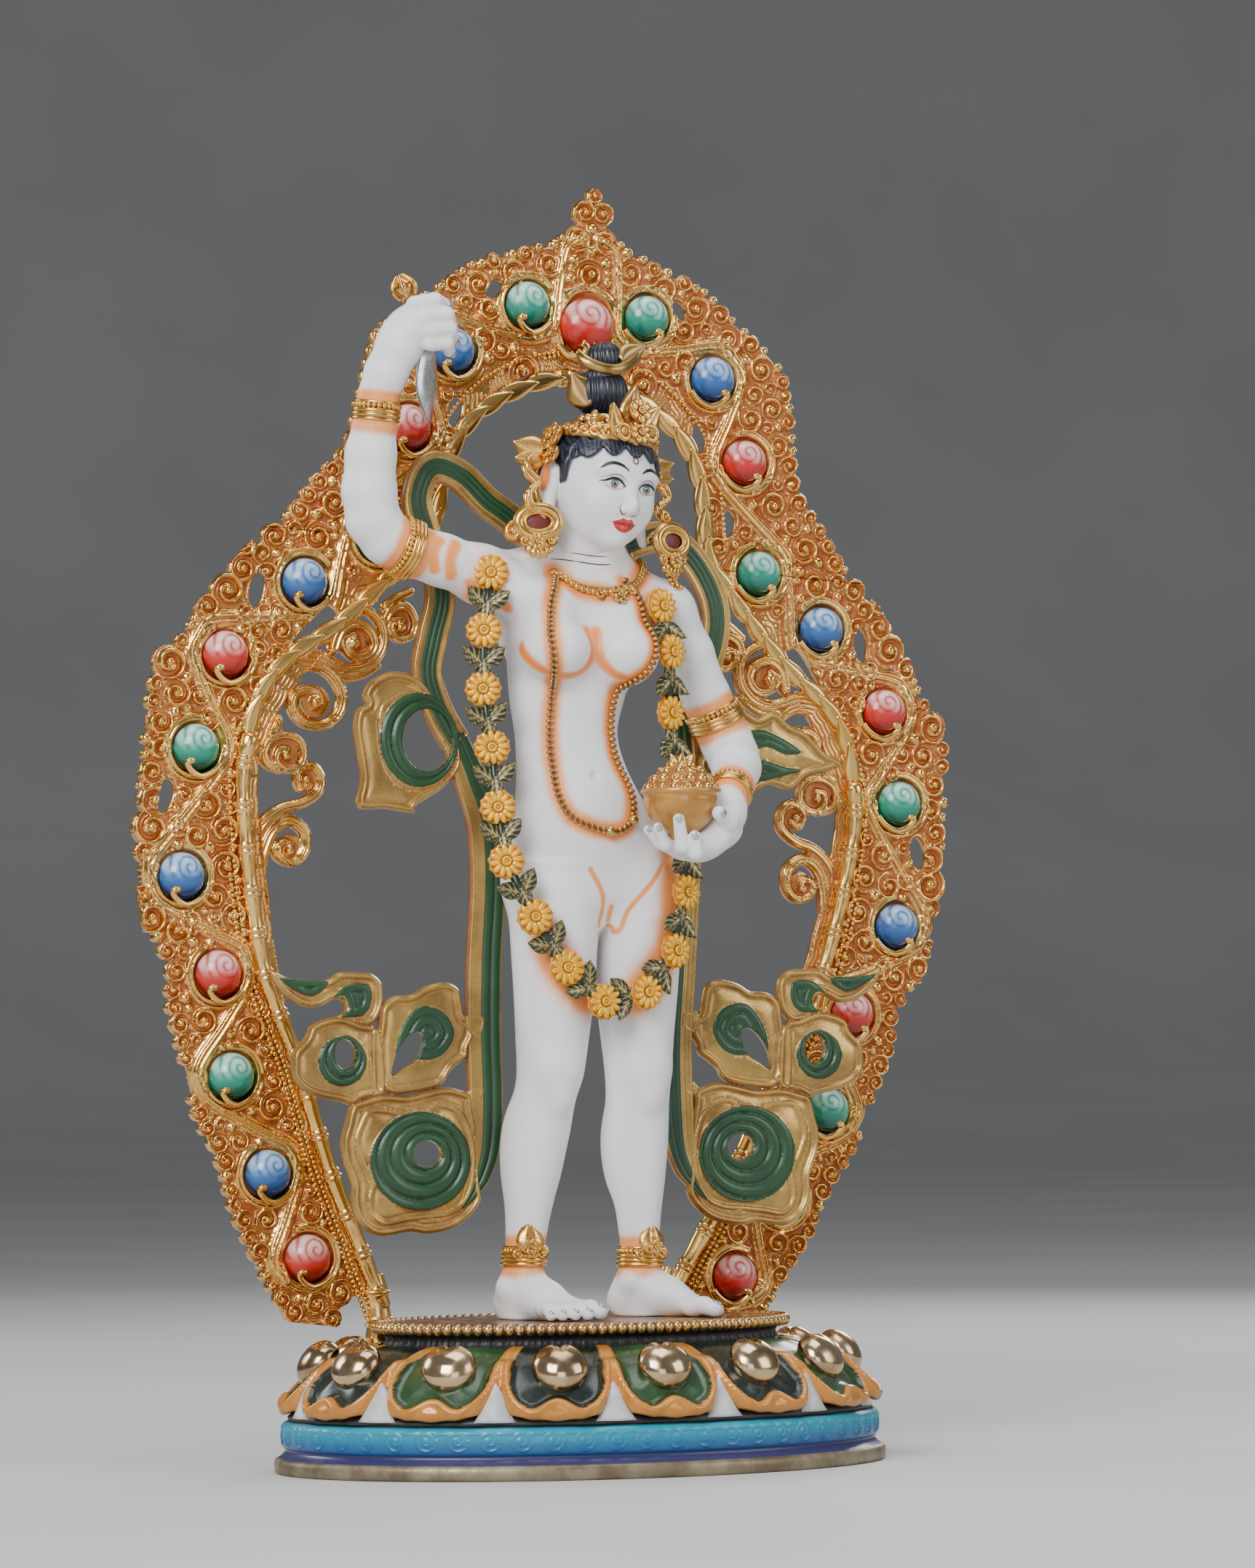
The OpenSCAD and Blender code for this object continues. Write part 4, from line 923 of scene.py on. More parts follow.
def stroke(P, w0, w1, h=2.6, lines=2, step=0.9, field=None, mask=None, tip=True):
    """A tapering vine with grooves along it."""
    Hf = H if field is None else field
    P = resample(catmull(P, 6), step)
    n = len(P)
    W = lerp(w0, w1, np.linspace(0, 1, n) ** 1.1)
    r = max(w0, w1) + 1.5
    lo, hi = P.min(0) - r, P.max(0) + r
    i0, i1 = int(max(0, lo[0] / g_h)), int(min(len(gu), hi[0] / g_h + 2))
    j0, j1 = int(max(0, (lo[1] - s0) / g_h)), int(min(len(gs), (hi[1] - s0) / g_h + 2))
    if i1 <= i0 or j1 <= j0:
        return
    sl = (slice(i0, i1), slice(j0, j1))
    U, V = GU[sl], GS[sl]
    best = np.full(U.shape, 1e9)
    off = np.zeros(U.shape)
    ww = np.ones(U.shape)
    for k in range(n - 1):
        a, b = P[k], P[k + 1]
        e = b - a
        t = np.clip(((U - a[0]) * e[0] + (V - a[1]) * e[1]) / max(e @ e, 1e-9), 0, 1)
        dx, dy = U - a[0] - t * e[0], V - a[1] - t * e[1]
        wk = W[k] + t * (W[k + 1] - W[k])
        d = np.hypot(dx, dy)
        m = d / wk < best
        best = np.where(m, d / wk, best)
        off = np.where(m, np.sign(e[0] * dy - e[1] * dx) * d / wk, off)
        ww = np.where(m, wk, ww)
    q = np.clip(best, 0, 1)
    prof = np.sqrt(1 - q ** 2) ** 0.8
    gr = 0.5 - 0.5 * np.cos(off * math.pi * (lines + 1)) if lines else 1.0
    z = h * (0.25 + 0.75 * prof) * (0.62 + 0.38 * gr)
    z = np.where(best < 1, z, -5)
    Hf[sl] = np.maximum(Hf[sl], z)
    if mask is not None:
        mask[sl] = np.minimum(mask[sl], (best - 1) * ww)
    if field is None:
        OCC[sl] = np.minimum(OCC[sl], (best - 1) * ww)


# jewel seats and their frames, chained by S-shaped vines
order = [(78, 18), (94, 45), (109, 76), (116, 109), (131, 140), (129, 182), (121, 213), (95, 239), (70, 256), (62, 293), (48, 320), (22, 338)]
for k, c in enumerate(order):
    c = A(c, float)
    nx = A(order[k + 1] if k + 1 < len(order) else (0, 352), float)
    pv = A(order[k - 1] if k else (70, 2), float)
    d = unit(nx - c)
    sd = 1 if k % 2 else -1
    nrm = A([-d[1], d[0]]) * sd
    a0 = math.atan2(nrm[1], nrm[0])
    arc = [c + 10.1 * A([math.cos(a0 + sd * t), math.sin(a0 + sd * t)]) for t in np.linspace(-0.2, 4.6, 16)]
    stroke(arc, 2.5, 1.5, 3.0, 1)
    gap = np.linalg.norm(nx - c)
    if gap < 46:
        vine = [c + nrm * 10.2 - d * 3, c + nrm * 10.8 + d * 5, c + d * gap * 0.5, nx - nrm * 10.6 - d * 4, nx - nrm * 10.2 + d * 4]
        stroke(vine, 3.0, 2.0, 3.1, 2)
    occupy(c, 8.6)
stroke([(-9, 326), (-11, 334), (-7, 343), (0, 346), (7, 343), (11, 334), (9, 326)], 1.8, 1.8, 2.6, 1)
stroke([(10, 324), (12, 334), (8, 343), (0, 346.5)], 1.8, 1.8, 2.6, 1)
occupy((0, 333), 10.6)

# scrolls placed one by one: the ones that read clearly
HAND = [((117, 241.5), 4.2), ((121.5, 234), 5.4), ((128.5, 228), 3.8), ((140, 209), 5.2), ((137, 199), 4.4), ((142, 189.5), 4.0), ((141, 180.5), 3.9), ((143.5, 173), 3.8),
        ((142, 164), 5.0), ((142.5, 155), 5.8), ((143.5, 147), 3.4), ((143.5, 132.5), 3.4), ((140.5, 126), 4.8), ((131.5, 122.5), 4.8), ((114, 227), 3.9), ((110.5, 221.5), 3.2),
        ((109.5, 215), 3.8), ((102, 222.5), 4.2), ((103.5, 228.5), 3.2), ((117, 198), 4.8), ((129, 199), 3.6), ((124, 164), 4.8), ((133.5, 156), 3.6), ((127, 153.5), 4.2),
        ((119, 134), 4.4), ((126, 125.5), 4.0), ((110.5, 247), 3.4), ((116.5, 249), 3.0), ((106.5, 253), 4.0), ((108.5, 241), 3.0), ((125.5, 191.5), 3.6)]
for k, (c, r) in enumerate(HAND):
    scroll(A(c, float), r + 0.4, 40 * k, 1 if k % 3 else -1, 3.3, turns=1.3)
# the finial and the scroll pairs on the crown
for k, (c, r) in enumerate([((3.2, 371), 4.2), ((5.0, 362), 4.6), ((15, 352.5), 5.2), ((28, 348), 4.6), ((40, 343), 5.4), ((53, 334), 5.2), ((66, 325), 5.0), ((71, 312), 4.6), ((74, 300), 4.2)]):
    scroll(A(c, float), r, 70 * k, -1 if k % 2 else 1, 3.0)
scroll(A((0, 350.5)), 5.6, 90, 1, 3.4, cup=0.9)
for k, (c, r) in enumerate([((21.6, 315.6), 5.8), ((37.4, 324.6), 4.6), ((36, 335.5), 4.2), ((47.5, 290.5), 4.4), ((50.5, 276.5), 4.0), ((54, 263.5), 4.0)]):
    scroll(A(c, float), r, 50 + 90 * k, -1 if k % 2 else 1, 3.5, turns=1.3)
# scrolls along the outer edge wherever it is still bare
for p in EDGE[::6]:
    t = EDGE[np.argmin(np.linalg.norm(EDGE - p, axis=1))]
    k = int(np.argmin(np.linalg.norm(EDGE - p, axis=1)))
    tg = unit(EDGE[min(k + 2, len(EDGE) - 1)] - EDGE[max(k - 2, 0)])
    nin = A([tg[1], -tg[0]])
    for r in (5.4, 4.6, 3.6, 2.8):
        c = p - A([-tg[1], tg[0]]) * (r - 0.4)
        if M0[int(np.clip(c[0] / g_h, 0, len(gu) - 1)), int(np.clip((c[1] - s0) / g_h, 0, len(gs) - 1))] > 0:
            c = p + A([-tg[1], tg[0]]) * (r - 0.4)
        if c[0] < 0:
            continue
        o = OCC[int(min(c[0] / g_h, len(gu) - 1)), int((c[1] - s0) / g_h)]
        if o > r - 0.5:
            scroll(c, r, 57 * k, 1 if k % 2 else -1, 3.2, turns=1.35)
            break
SC = [(c, r) for c, r in HAND]
# openwork
HOLES = [(((111, 235)), 2.6, 6.0, 10), (((138, 165.5)), 2.8, 5.6, 14), ((34, 342), 2.4, 3.6, 40), ((45, 300), 2.6, 5.0, 10), ((58, 272), 2.6, 4.4, 0)]
HOLE = np.full(GU.shape, 9.0)
for c, a, b, ang in HOLES:
    t = math.radians(ang)
    x, y = GU - c[0], GS - c[1]
    X, Y = x * math.cos(t) + y * math.sin(t), -x * math.sin(t) + y * math.cos(t)
    HOLE = np.minimum(HOLE, (np.sqrt((X / a) ** 2 + (Y / b) ** 2) - 1) * min(a, b))
tri = A([(97.5, 217.5), (93.5, 224), (86.5, 232), (81, 227.5), (83.5, 218.5), (91, 217.5)], float)
tri2 = A([(75, 237), (64, 238), (67.5, 230.5), (73, 232.5)], float)
HOLE = np.minimum(HOLE, np.minimum(seg_field(catmull(tri, 4, True), True), seg_field(catmull(tri2, 4, True), True)))
OCC = np.minimum(OCC, HOLE - 0.4)
# fill what is left with smaller and smaller scrolls
IN_STEM = seg_field(INS)
STEM_BAND = 9.5
cst = max(1, int(round(0.84 / g_h)))
cu, cs = GU[::cst, ::cst], GS[::cst, ::cst]
D = np.minimum(np.minimum(-M0, OCC), IN_STEM - STEM_BAND)[::cst, ::cst].copy()
for it in range(520):
    k = np.unravel_index(np.argmax(D), D.shape)
    r = D[k]
    if r < 0.95:
        break
    c = A([cu[k], cs[k]])
    R = min(r + 0.3, 5.2)
    if R < 2.1:
        w = win(c, R)
        rho = np.hypot(GU[w] - c[0], GS[w] - c[1]) / R
        H[w] = np.maximum(H[w], np.where(rho < 1, 1.1 + 0.9 * R * np.sqrt(np.clip(1 - rho ** 2, 0, 1)), -5))
        occupy(c, R)
    else:
        scroll(c, R, 83 * it, 1 if it % 2 else -1, 2.5 + 0.16 * R, turns=1.0 + 0.08 * R)
    D = np.minimum(D, np.hypot(cu - c[0], cs - c[1]) - R - 0.35)
# the floor between the scrolls keeps fine parallel lines that follow them
fl = 0.40 + 0.75 * (0.5 + 0.5 * np.cos(np.clip(OCC, 0, 9) * 2 * math.pi / 1.5))
H = np.maximum(H, np.where(OCC > -0.2, fl, 0))
# scalloped outline: shrunk plate plus the scrolls that reach past it
M = np.maximum(M0 + 2.0, -HOLE)
body_ok = H > 1.5
edge_zone = (M0 > -3.2) & (M0 < 1.2)
OUTD = seg_field(OUTS)
near_out = OUTD < 3.4
M = np.where(near_out & (OCC < 0.15) & (HOLE > 0), np.minimum(M, np.maximum(OCC - 0.3, M0 - 1.6)), M)
inn = IN_STEM < 3.0
M = np.where(inn & ~near_out, np.maximum(M0 + 1.2, -HOLE), M)
# brackets
HBm = np.full(GU.shape, -5.0)
bs = lambda P, a, b, h=2.7, l=2: stroke(A(P, float), a, b, h, l, field=HBm, mask=BR)
bs([(111.5, 188.5), (110, 197.5), (104, 206), (96.5, 210.5), (88.5, 212), (82.5, 209), (79, 203.5), (79.5, 197.5), (84, 193), (91.5, 193), (96, 197), (96, 201.5), (92, 204), (88, 203), (86.5, 200.5), (88.5, 198.5)], 2.6, 1.5, 3.2, 2)
bs([(98.5, 214.5), (93, 215.5), (87, 214.5), (78, 211.5), (70.5, 213.5), (66, 219), (66, 226), (70, 230.5), (75, 232.5), (79.5, 235.5), (82, 238.5), (80, 240.5), (76.5, 238.5), (76.5, 235.5)], 2.6, 1.2, 3.0, 2)
bs([(83, 218), (81, 224), (76, 227), (70.5, 224.5), (69, 219.5), (72.5, 216), (77.5, 217), (79.5, 220.5), (76.5, 223)], 2.2, 1.6, 3.2, 1)
bs([(66.5, 213.5), (72.5, 210), (79.5, 209)], 1.0, 2.2, 2.4, 1)
bs([(65.5, 229), (63.5, 232.5), (58.5, 234), (55, 229.5), (56, 224.5), (60, 223), (63.5, 226), (62.5, 229), (59.5, 229.5)], 1.9, 1.3, 2.9, 1)
bs([(65.5, 233.5), (61.5, 236.5), (57, 239)], 1.6, 1.6, 2.4, 1)
bs([(101.5, 120), (101.5, 128), (102.5, 135.5), (104.5, 143.5), (106.5, 149.5), (106, 155), (102.5, 160.5), (97, 164.5), (90.5, 166.5), (85, 170.5), (84.5, 175.5), (87.5, 179), (91.5, 178), (93, 175), (91.5, 171.5), (88.5, 172.5)], 2.7, 1.3, 3.0, 2)
bs([(104, 143.5), (103, 150.5), (101, 156), (97.5, 159.5), (93.5, 160.5), (89, 157.5), (88, 153), (89.5, 149), (93, 147), (97.5, 148.5), (98.5, 151.5), (96.5, 153.5), (93.5, 153)], 2.6, 1.4, 2.8, 2)
bs([(99, 177), (103.5, 178.5), (105, 182.5), (103, 186.5), (98, 188.5), (93, 187), (91, 182.5), (92.5, 178.5), (97, 177), (100.5, 179.5), (100, 183.5), (97, 184)], 1.6, 1.2, 2.7, 1)
bs([(107, 189.5), (107, 193.5), (103.5, 194.5), (100.5, 193), (101, 189.5), (103.5, 188), (105, 190)], 1.5, 1.2, 2.9, 0)
for c, r in (((88.5, 200), 1.9), ((76.5, 220.5), 2.3), ((60, 227), 1.7), ((90, 174.5), 1.5), ((94, 150.5), 1.7), ((97.5, 181.5), 1.5), ((103, 191.5), 2.2)):
    w = win(c, r)
    rho = np.hypot(GU[w] - c[0], GS[w] - c[1]) / r
    HBm[w] = np.maximum(HBm[w], np.where(rho < 1, 1.7 + r * np.sqrt(np.clip(1 - rho ** 2, 0, 1)), -5))
    BR[w] = np.minimum(BR[w], (rho - 1) * r)
# webs that close the small spirals
for c, r in (((88.5, 200), 5.5), ((76.5, 220.5), 5.0), ((60, 228), 4.6), ((89, 174), 3.6), ((93.5, 152), 4.2), ((98, 182.5), 5.2)):
    w = win(c, r)
    rho = np.hypot(GU[w] - c[0], GS[w] - c[1]) - r
    HBm[w] = np.maximum(HBm[w], np.where(rho < 0, 0.9, -5))
    BR[w] = np.minimum(BR[w], rho)
BR = np.where(M < -0.4, 9.0, BR)
trim = 36.6 - (45 + (-GU * ST + GS * CT) * CP)      # the feet end above the petals


def box_blur(X, k):
    for ax in (0, 1):
        Xp = np.pad(X, [(k, k) if a == ax else (0, 0) for a in (0, 1)], mode="edge")
        cs_ = np.cumsum(Xp, axis=ax)
        cs_ = np.insert(cs_, 0, 0, axis=ax)
        n = 2 * k + 1
        X = (cs_[n:] if ax == 0 else cs_[:, n:]) - (cs_[:-n] if ax == 0 else cs_[:, :-n])
        X = X / n
    return X


def relief(name, Hh, Mm, sgn, body, replaces, mat, back=-2.1, lim=None, adapt=0.12):
    n0, n1 = back - 1.0, 4.6
    nn = np.arange(n0, n1, g_h)
    Hs = 0.6 * Hh + 0.4 * box_blur(Hh, 1)
    Mk = Mm if lim is None else np.maximum(Mm, lim)
    Mk = np.maximum(Mk, trim)
    f = np.maximum(np.maximum(nn[None, None, :] - Hs[:, :, None], back - nn[None, None, :]), Mk[:, :, None]).astype(np.float32)
    np.clip(f, -3 * g_h, 3 * g_h, out=f)
    if sgn == 0:                 # both halves in one piece
        f = np.concatenate([f[:0:-1], f], 0)
        lo = A([-gu[-1], s0, n0])
    elif sgn > 0:
        lo = A([0.0, s0, n0])
    else:
        f = f[::-1]
        lo = A([-gu[-1], s0, n0])
    f = np.ascontiguousarray(f)
    f[0], f[-1], f[:, 0], f[:, -1], f[:, :, 0], f[:, :, -1] = 9, 9, 9, 9, 9, 9
    keep = np.argwhere(f.min(axis=(1, 2)) < 0)
    g = openvdb.FloatGrid(3 * g_h)
    g.copyFromArray(f)
    V, T, Q = g.convertToPolygons(isovalue=0.0, adaptivity=adapt)
    V = np.asarray(V, float) * g_h + lo
    T, Q = np.asarray(T, np.int32).reshape(-1, 3)[:, ::-1], np.asarray(Q, np.int32).reshape(-1, 4)[:, ::-1]
    iu = np.clip(np.abs(V[:, 0]) / g_h, 0, len(gu) - 1).astype(int)
    js = np.clip((V[:, 1] - s0) / g_h, 0, len(gs) - 1).astype(int)
    B1, B2 = box_blur(Hh, 2), box_blur(Hh, 5)
    # cavity from the height field: drives the deep colour of the aureole gilt in hollows and low areas, partly its real
    # wash and partly painted shade
    cav = np.clip((B2 - Hh) * 0.42 + (B1 - Hh) * 0.6 + 0.24 + (1.5 - Hh) * 0.16, 0, 1)[iu, js]
    front = V[:, 2] > 0.2
    cav = np.where(front, cav, 0.35)
    return mesh(name, halo(V), [T, Q], mat, body, replaces, {"cav": cav}, True)


m_aur = gilt("aureole_gilt", (0.86, 0.58, 0.22), (0.40, 0.125, 0.035), 0.20, 0.68, (0.17, 0.42), copper=(0.82, 0.48, 0.17))
m_stem = gilt("stem_gilt", (0.93, 0.66, 0.28), (0.50, 0.22, 0.08), 0.2, 0.8, (0.2, 0.4))
split_s = 256.0
Hh = np.clip(H, 0.35, 4.2)
for sgn, nm in ((-1, "left"), (1, "right")):
    relief("aureole_%s_limb_relief" % nm, Hh, M, sgn, AUREOLE, ["aureole_%s_limb" % nm], m_aur, lim=GS - split_s)
relief("aureole_crown_relief", Hh, M, 0, AUREOLE, ["aureole_crown_arch"], m_aur, lim=split_s - GS)
for sgn, nm in ((-1, "left"), (1, "right")):
    relief("aureole_%s_brackets" % nm, np.clip(HBm, 0.3, 4.4), BR, sgn, AUREOLE, ["aureole_scroll_brackets"] if sgn < 0 else [], m_aur, back=-1.6, adapt=0.02)

# bamboo stems with node rings, then overlapping leaf segments, and the bead rows
stem_bag, bead_bag = Bag(), Bag()
ins_f = resample(INS, 1.0)
tg = np.gradient(ins_f, axis=0)
tg /= np.linalg.norm(tg, axis=1, keepdims=True)
NRM = np.stack([tg[:, 1], -tg[:, 0]], 1)
L = np.arange(len(ins_f))
top = int(np.argmin(np.abs(ins_f[:, 1] - 187) + 1000 * (ins_f[:, 1] < 150)))
start = int(np.argmin(np.abs(ins_f[:, 1] - 4)))
for sx in (-1, 1):
    SO = lambda s_: 2.5 + 4.6 * sstep(78, 118, s_)
    P = [(sx * (p[0] + SO(p[1]) * n[0]), p[1] + SO(p[1]) * n[1], 1.7) for p, n in zip(ins_f[start:top], NRM[start:top])]
    P = resample(A(P), 0.5)
    k = np.arange(len(P)) * 0.5
    r = 2.75 + 0.16 * np.sin(2 * math.pi * k / 14.0)
    for off in (0.0, 2.0):
        m = (k + off) % 14.0
        r += 0.55 * np.exp(-((m - 7) / 0.45) ** 2)
    rem = k[-1] - k
    r = np.where(rem < 8, 2.8 + 0.6 * np.sin(math.pi * np.clip(rem / 8, 0, 1)), r)
    r = np.where(rem < 2.4, r * np.sqrt(np.clip(1 - ((2.4 - rem) / 2.4) ** 2, 0.02, 1)), r)
    V, F = tube(P, r, 14, ref=(0, 0, 1))
    V = V.copy()
    cavs = np.repeat(np.clip(0.1 + 0.9 * np.exp(-(((k % 14.0) - 6.0) / 0.35) ** 2), 0, 1), 14)
    stem_bag.add(halo(V), F, cav=np.r_[cavs])
    # leaf segments on the arch
    arch = A([(111, 188), (109, 198), (104, 208), (96, 216), (84, 224.5), (72, 236), (60, 249), (51, 260), (48.5, 274), (46, 286), (40, 297), (31, 305), (18, 312), (5, 315.5), (0, 316)], float)
    arch = resample(catmull(arch, 6), 1.0)
    at_ = np.gradient(arch, axis=0)
    at_ /= np.linalg.norm(at_, axis=1, keepdims=True)
    k0 = 0
    while k0 < len(arch) - 6:
        Lg = 14
        k1 = min(k0 + Lg, len(arch) - 1)
        nvs, nuv = 15, 9
        VV = []
        for a in range(nvs):
            f = a / (nvs - 1)
            idx = min(int(round(k0 + f * (k1 - k0))), len(arch) - 1)
            c, t = arch[idx], at_[idx]
            wd = 3.1 * math.sin(math.pi * (0.12 + 0.86 * f) ** 0.8) ** 0.75
            for b in range(nuv):
                q = -1 + 2 * b / (nuv - 1)
                nrm_ = A([-t[1], t[0]])
                uv = c + nrm_ * q * wd
                hh = 1.0 + 2.3 * math.sqrt(max(0.0, 1 - q * q * 0.96)) * (0.65 + 0.35 * f) - 0.5 * math.exp(-(q / 0.14) ** 2) - 0.35 * math.exp(-((abs(q) - 0.55) / 0.12) ** 2) + 0.5 * f
                VV.append((sx * uv[0], uv[1], hh))
        FF = []
        for a in range(nvs - 1):
            for b in range(nuv - 1):
                i = a * nuv + b
                FF.append((i, i + 1, i + nuv + 1, i + nuv))
        # a back skin closes the leaf
        n0_ = len(VV)
        VV += [(x, y, -0.8) for x, y, z in VV]
        FF += [tuple(n0_ + i for i in reversed(f)) for f in FF[:]]
        rim = [b for b in range(nuv)] + [a * nuv + nuv - 1 for a in range(1, nvs)] + [(nvs - 1) * nuv + b for b in range(nuv - 2, -1, -1)] + [a * nuv for a in range(nvs - 2, 0, -1)]
        for i in range(len(rim)):
            a_, b_ = rim[i], rim[(i + 1) % len(rim)]
            FF.append((a_, b_, b_ + n0_, a_ + n0_)[::-1])
        cv = A([0.45 if v[2] < 1.4 else 0.12 for v in VV])
        stem_bag.add(halo(A(VV)), FF, cav=cv)
        k0 += 10
    # beads
    for d, lim_ in ((4.6, 1.0), (6.5, 0.42)):
        k = 0.0
        dd_ = d + 2.5 + 4.6 * sstep(78, 118, ins_f[start:, 1]) * (1 - sstep(200, 225, ins_f[start:, 1]))
        pts = resample(ins_f[start:] + NRM[start:] * dd_[:, None], 1.75)
        m = len(pts)
        for j, p in enumerate(pts):
            if p[1] > 214 or (lim_ < 1 and p[1] > 150):
                continue
            V, F = ball(0.92, 8, 5, c=(sx * p[0], p[1], 1.5))
            bead_bag.add(halo(V), F, cav=0.18)
        if lim_ == 1.0:
            for j, p in enumerate(pts):
                if p[1] >= 214 and j % 1 == 0 and (p[1] > 262):
                    V, F = ball(0.85, 8, 5, c=(sx * p[0], p[1], 1.6))
                    bead_bag.add(halo(V), F, cav=0.18)
stem_bag.make("aureole_bamboo_stems", m_stem, AUREOLE, ["aureole_stems"], "polished_gilt")
bead_bag.make("aureole_beads", m_aur, AUREOLE, ["aureole_bead_rows"], "gilt")

# jewels: glossy painted domes with spiral lines, each held by a hooked claw
m_jewel = Mat("jewel_paint")
m_jewel.b.inputs["Coat Weight"].default_value = 0.4
m_jewel.b.inputs["Coat Roughness"].default_value = 0.07
m_jewel.set(color=m_jewel.attr("tint", "Color"), rough=m_jewel.ramp(m_jewel.noise(500, 2), 0.3, 0.7, 0.2, 0.34), normal=m_jewel.bump(m_jewel.noise(300, 2), 0.08, 0.0002))
m_jewel = m_jewel.m
# jewel tones: pale is a painted highlight for the upper part, mid the jewel's own colour, deep painted shade for the
# lower part
TONES = {"red": ((0.88, 0.60, 0.57), (0.60, 0.020, 0.014), (0.22, 0.004, 0.004)), "blue": ((0.40, 0.62, 0.84), (0.022, 0.13, 0.42), (0.004, 0.028, 0.13)),
         "green": ((0.46, 0.80, 0.70), (0.004, 0.28, 0.19), (0.001, 0.070, 0.042))}


def jewel(bag, c, r, key, sx, hgt=6.0):
    nr, na = ((26, 76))
    pale, mid, deep = (A(t) for t in TONES[key])
    V = [(0, 0, hgt)]
    for j in range(1, nr + 1):
        p = 0.5 * math.pi * j / nr * 1.06
        for i in range(na):
            q = 2 * math.pi * i / na
            V.append((r * math.sin(p) * math.cos(q), r * math.sin(p) * math.sin(q), hgt * math.cos(p)))
    F = [(0, 1 + i, 1 + (i + 1) % na) for i in range(na)]
    for j in range(nr - 1):
        for i in range(na):
            a, b = 1 + j * na + i, 1 + j * na + (i + 1) % na
            F.append((a, a + na, b + na, b))
    F.append(tuple(1 + (nr - 1) * na + i for i in range(na))[::-1])
    V = A(V)
    X, Y = V[:, 0] / r, V[:, 1] / r
    cx, cy = -0.12 * sx, 0.42
    rr = np.hypot(X - cx, Y - cy)
    th = np.arctan2(Y - cy, X - cx) * sx
    phs = rr * 3.1 + th / (2 * math.pi)
    ln = (0.5 + 0.5 * np.cos(2 * math.pi * phs)) ** 3
    # the pale upper part is a painted highlight and the deep lower part painted shade; the spiral lines are the jewels'
    # own painted design
    jewel_top_highlight = sstep(-0.22, 0.66, Y + 0.12 * X * sx)
    jewel_low_shade = sstep(-0.05, -0.9, Y)
    base = mid[None] * (1 - jewel_low_shade[:, None]) + deep[None] * jewel_low_shade[:, None]
    k = (ln * sstep(-0.45, 0.0, Y) * sstep(0.02, 0.1, rr))[:, None]
    soft = (jewel_top_highlight * 0.92)[:, None]
    col = base * (1 - soft) + pale[None] * soft
    col = col * (1 - k * 0.94) + (mid * 0.8)[None] * k * 0.94
    V = V + A([c[0] * sx, c[1], 1.3])
    bag.add(halo(V), F, tint=np.c_[np.clip(col, 0, 1), np.ones(len(V))])


claws = Bag()
for key, pts in JEWELS.items():
    bag = Bag()
    for sx in (-1, 1):
        for c in pts:
            jewel(bag, c, 7.7, key, sx)
            # hooked claw that rises over the lower edge of the jewel
            P = []
            for t in np.linspace(0, 1, 16):
                a = math.radians(-150 + 95 * t)
                rr = 9.3 - 2.4 * max(0.0, t - 0.55) / 0.45
                P.append((sx * c[0] - sx * rr * math.cos(a) * -1 * 1.0, c[1] + rr * math.sin(a), 2.6 + 2.7 * t))
            P += [(P[-1][0] - sx * 0.3, P[-1][1] + 1.2, 6.0), (P[-1][0] - sx * 1.3, P[-1][1] + 1.3, 5.6)]
            V, F = tube(resample(catmull(A(P), 4), 0.6), 1.1, 8)
            claws.add(halo(V), F, cav=0.12)
            V, F = ball(1.45, 10, 7, c=(P[-1][0], P[-1][1], 5.3))
            claws.add(halo(V), F, cav=0.1)
    bag.make("jewels_" + key, m_jewel, AUREOLE, [key + "_jewels"], key + "_jewel_paint")
bag = Bag()
jewel(bag, (0, 333), 9.4, "red", 1, 7.0)
bag.make("jewel_main", m_jewel, AUREOLE, ["main_jewel"], "red_jewel_paint")
for sx in (-1, 1):
    V, F = tube(resample(catmull(A([(sx * 10.5, 326, 2.6), (sx * 7.0, 322.6, 4.0), (sx * 3.0, 322.4, 5.8), (sx * 1.6, 325.5, 6.8), (sx * 3.4, 327.0, 6.6)], float), 6), 0.6), 1.3, 8)
    claws.add(halo(V), F, cav=0.12)
claws.make("jewel_claws", m_stem, AUREOLE, [], "polished_gilt")


# ------------------------------------------------------------------ pedestal
def tint_mat(name, rough=0.4, coat=0.0, metal_attr=True, bump=0.12, scale=260, grime=0.25):
    """Painted or gilded surface whose colour (tint) and metalness (met) are carried by the mesh."""
    m = Mat(name)
    n1, n2 = m.noise(scale, 3), m.noise(scale * 5, 2)
    c = m.attr("tint", "Color")
    dark = m.mix(m.ramp(n1, 0.35, 0.75), c, (0.55, 0.45, 0.38), "MULTIPLY")
    col = m.mix(grime, c, dark)
    if coat:
        m.b.inputs["Coat Weight"].default_value = coat
        m.b.inputs["Coat Roughness"].default_value = 0.15
    kw = dict(color=col, rough=m.ramp(n2, 0.2, 0.8, rough - 0.07, rough + 0.1), normal=m.bump(m.math("ADD", n1, m.math("MULTIPLY", n2, 0.4)), bump, 0.0002))
    if metal_attr:
        kw["metal"] = m.attr("met")
    return m.set(**kw)


def rgba(C):
    return np.c_[np.clip(C, 0, 1), np.ones(len(C))]


def ring_surface(prof, nphi, disp=None, close=True):
    """Oval rings: prof rows (a, b, z); returns vertices (ring-major) and faces."""
    q = np.arange(nphi) * 2 * math.pi / nphi
    V = np.concatenate([np.stack([a * np.cos(q), b * np.sin(q), np.full(nphi, z)], 1) for a, b, z in prof])
    F = []
    m = len(prof)
    i = np.arange(nphi)
    j = (i + 1) % nphi
    for k in range(m - 1):
        F.append(np.stack([k * nphi + i, k * nphi + j, (k + 1) * nphi + j, (k + 1) * nphi + i], 1))
    return V, np.concatenate(F)


def oval_normals(V, a, b):
    n = np.stack([V[:, 0] / a ** 2, V[:, 1] / b ** 2, np.zeros(len(V))], 1)
    return n / np.maximum(np.linalg.norm(n, axis=1, keepdims=True), 1e-9)


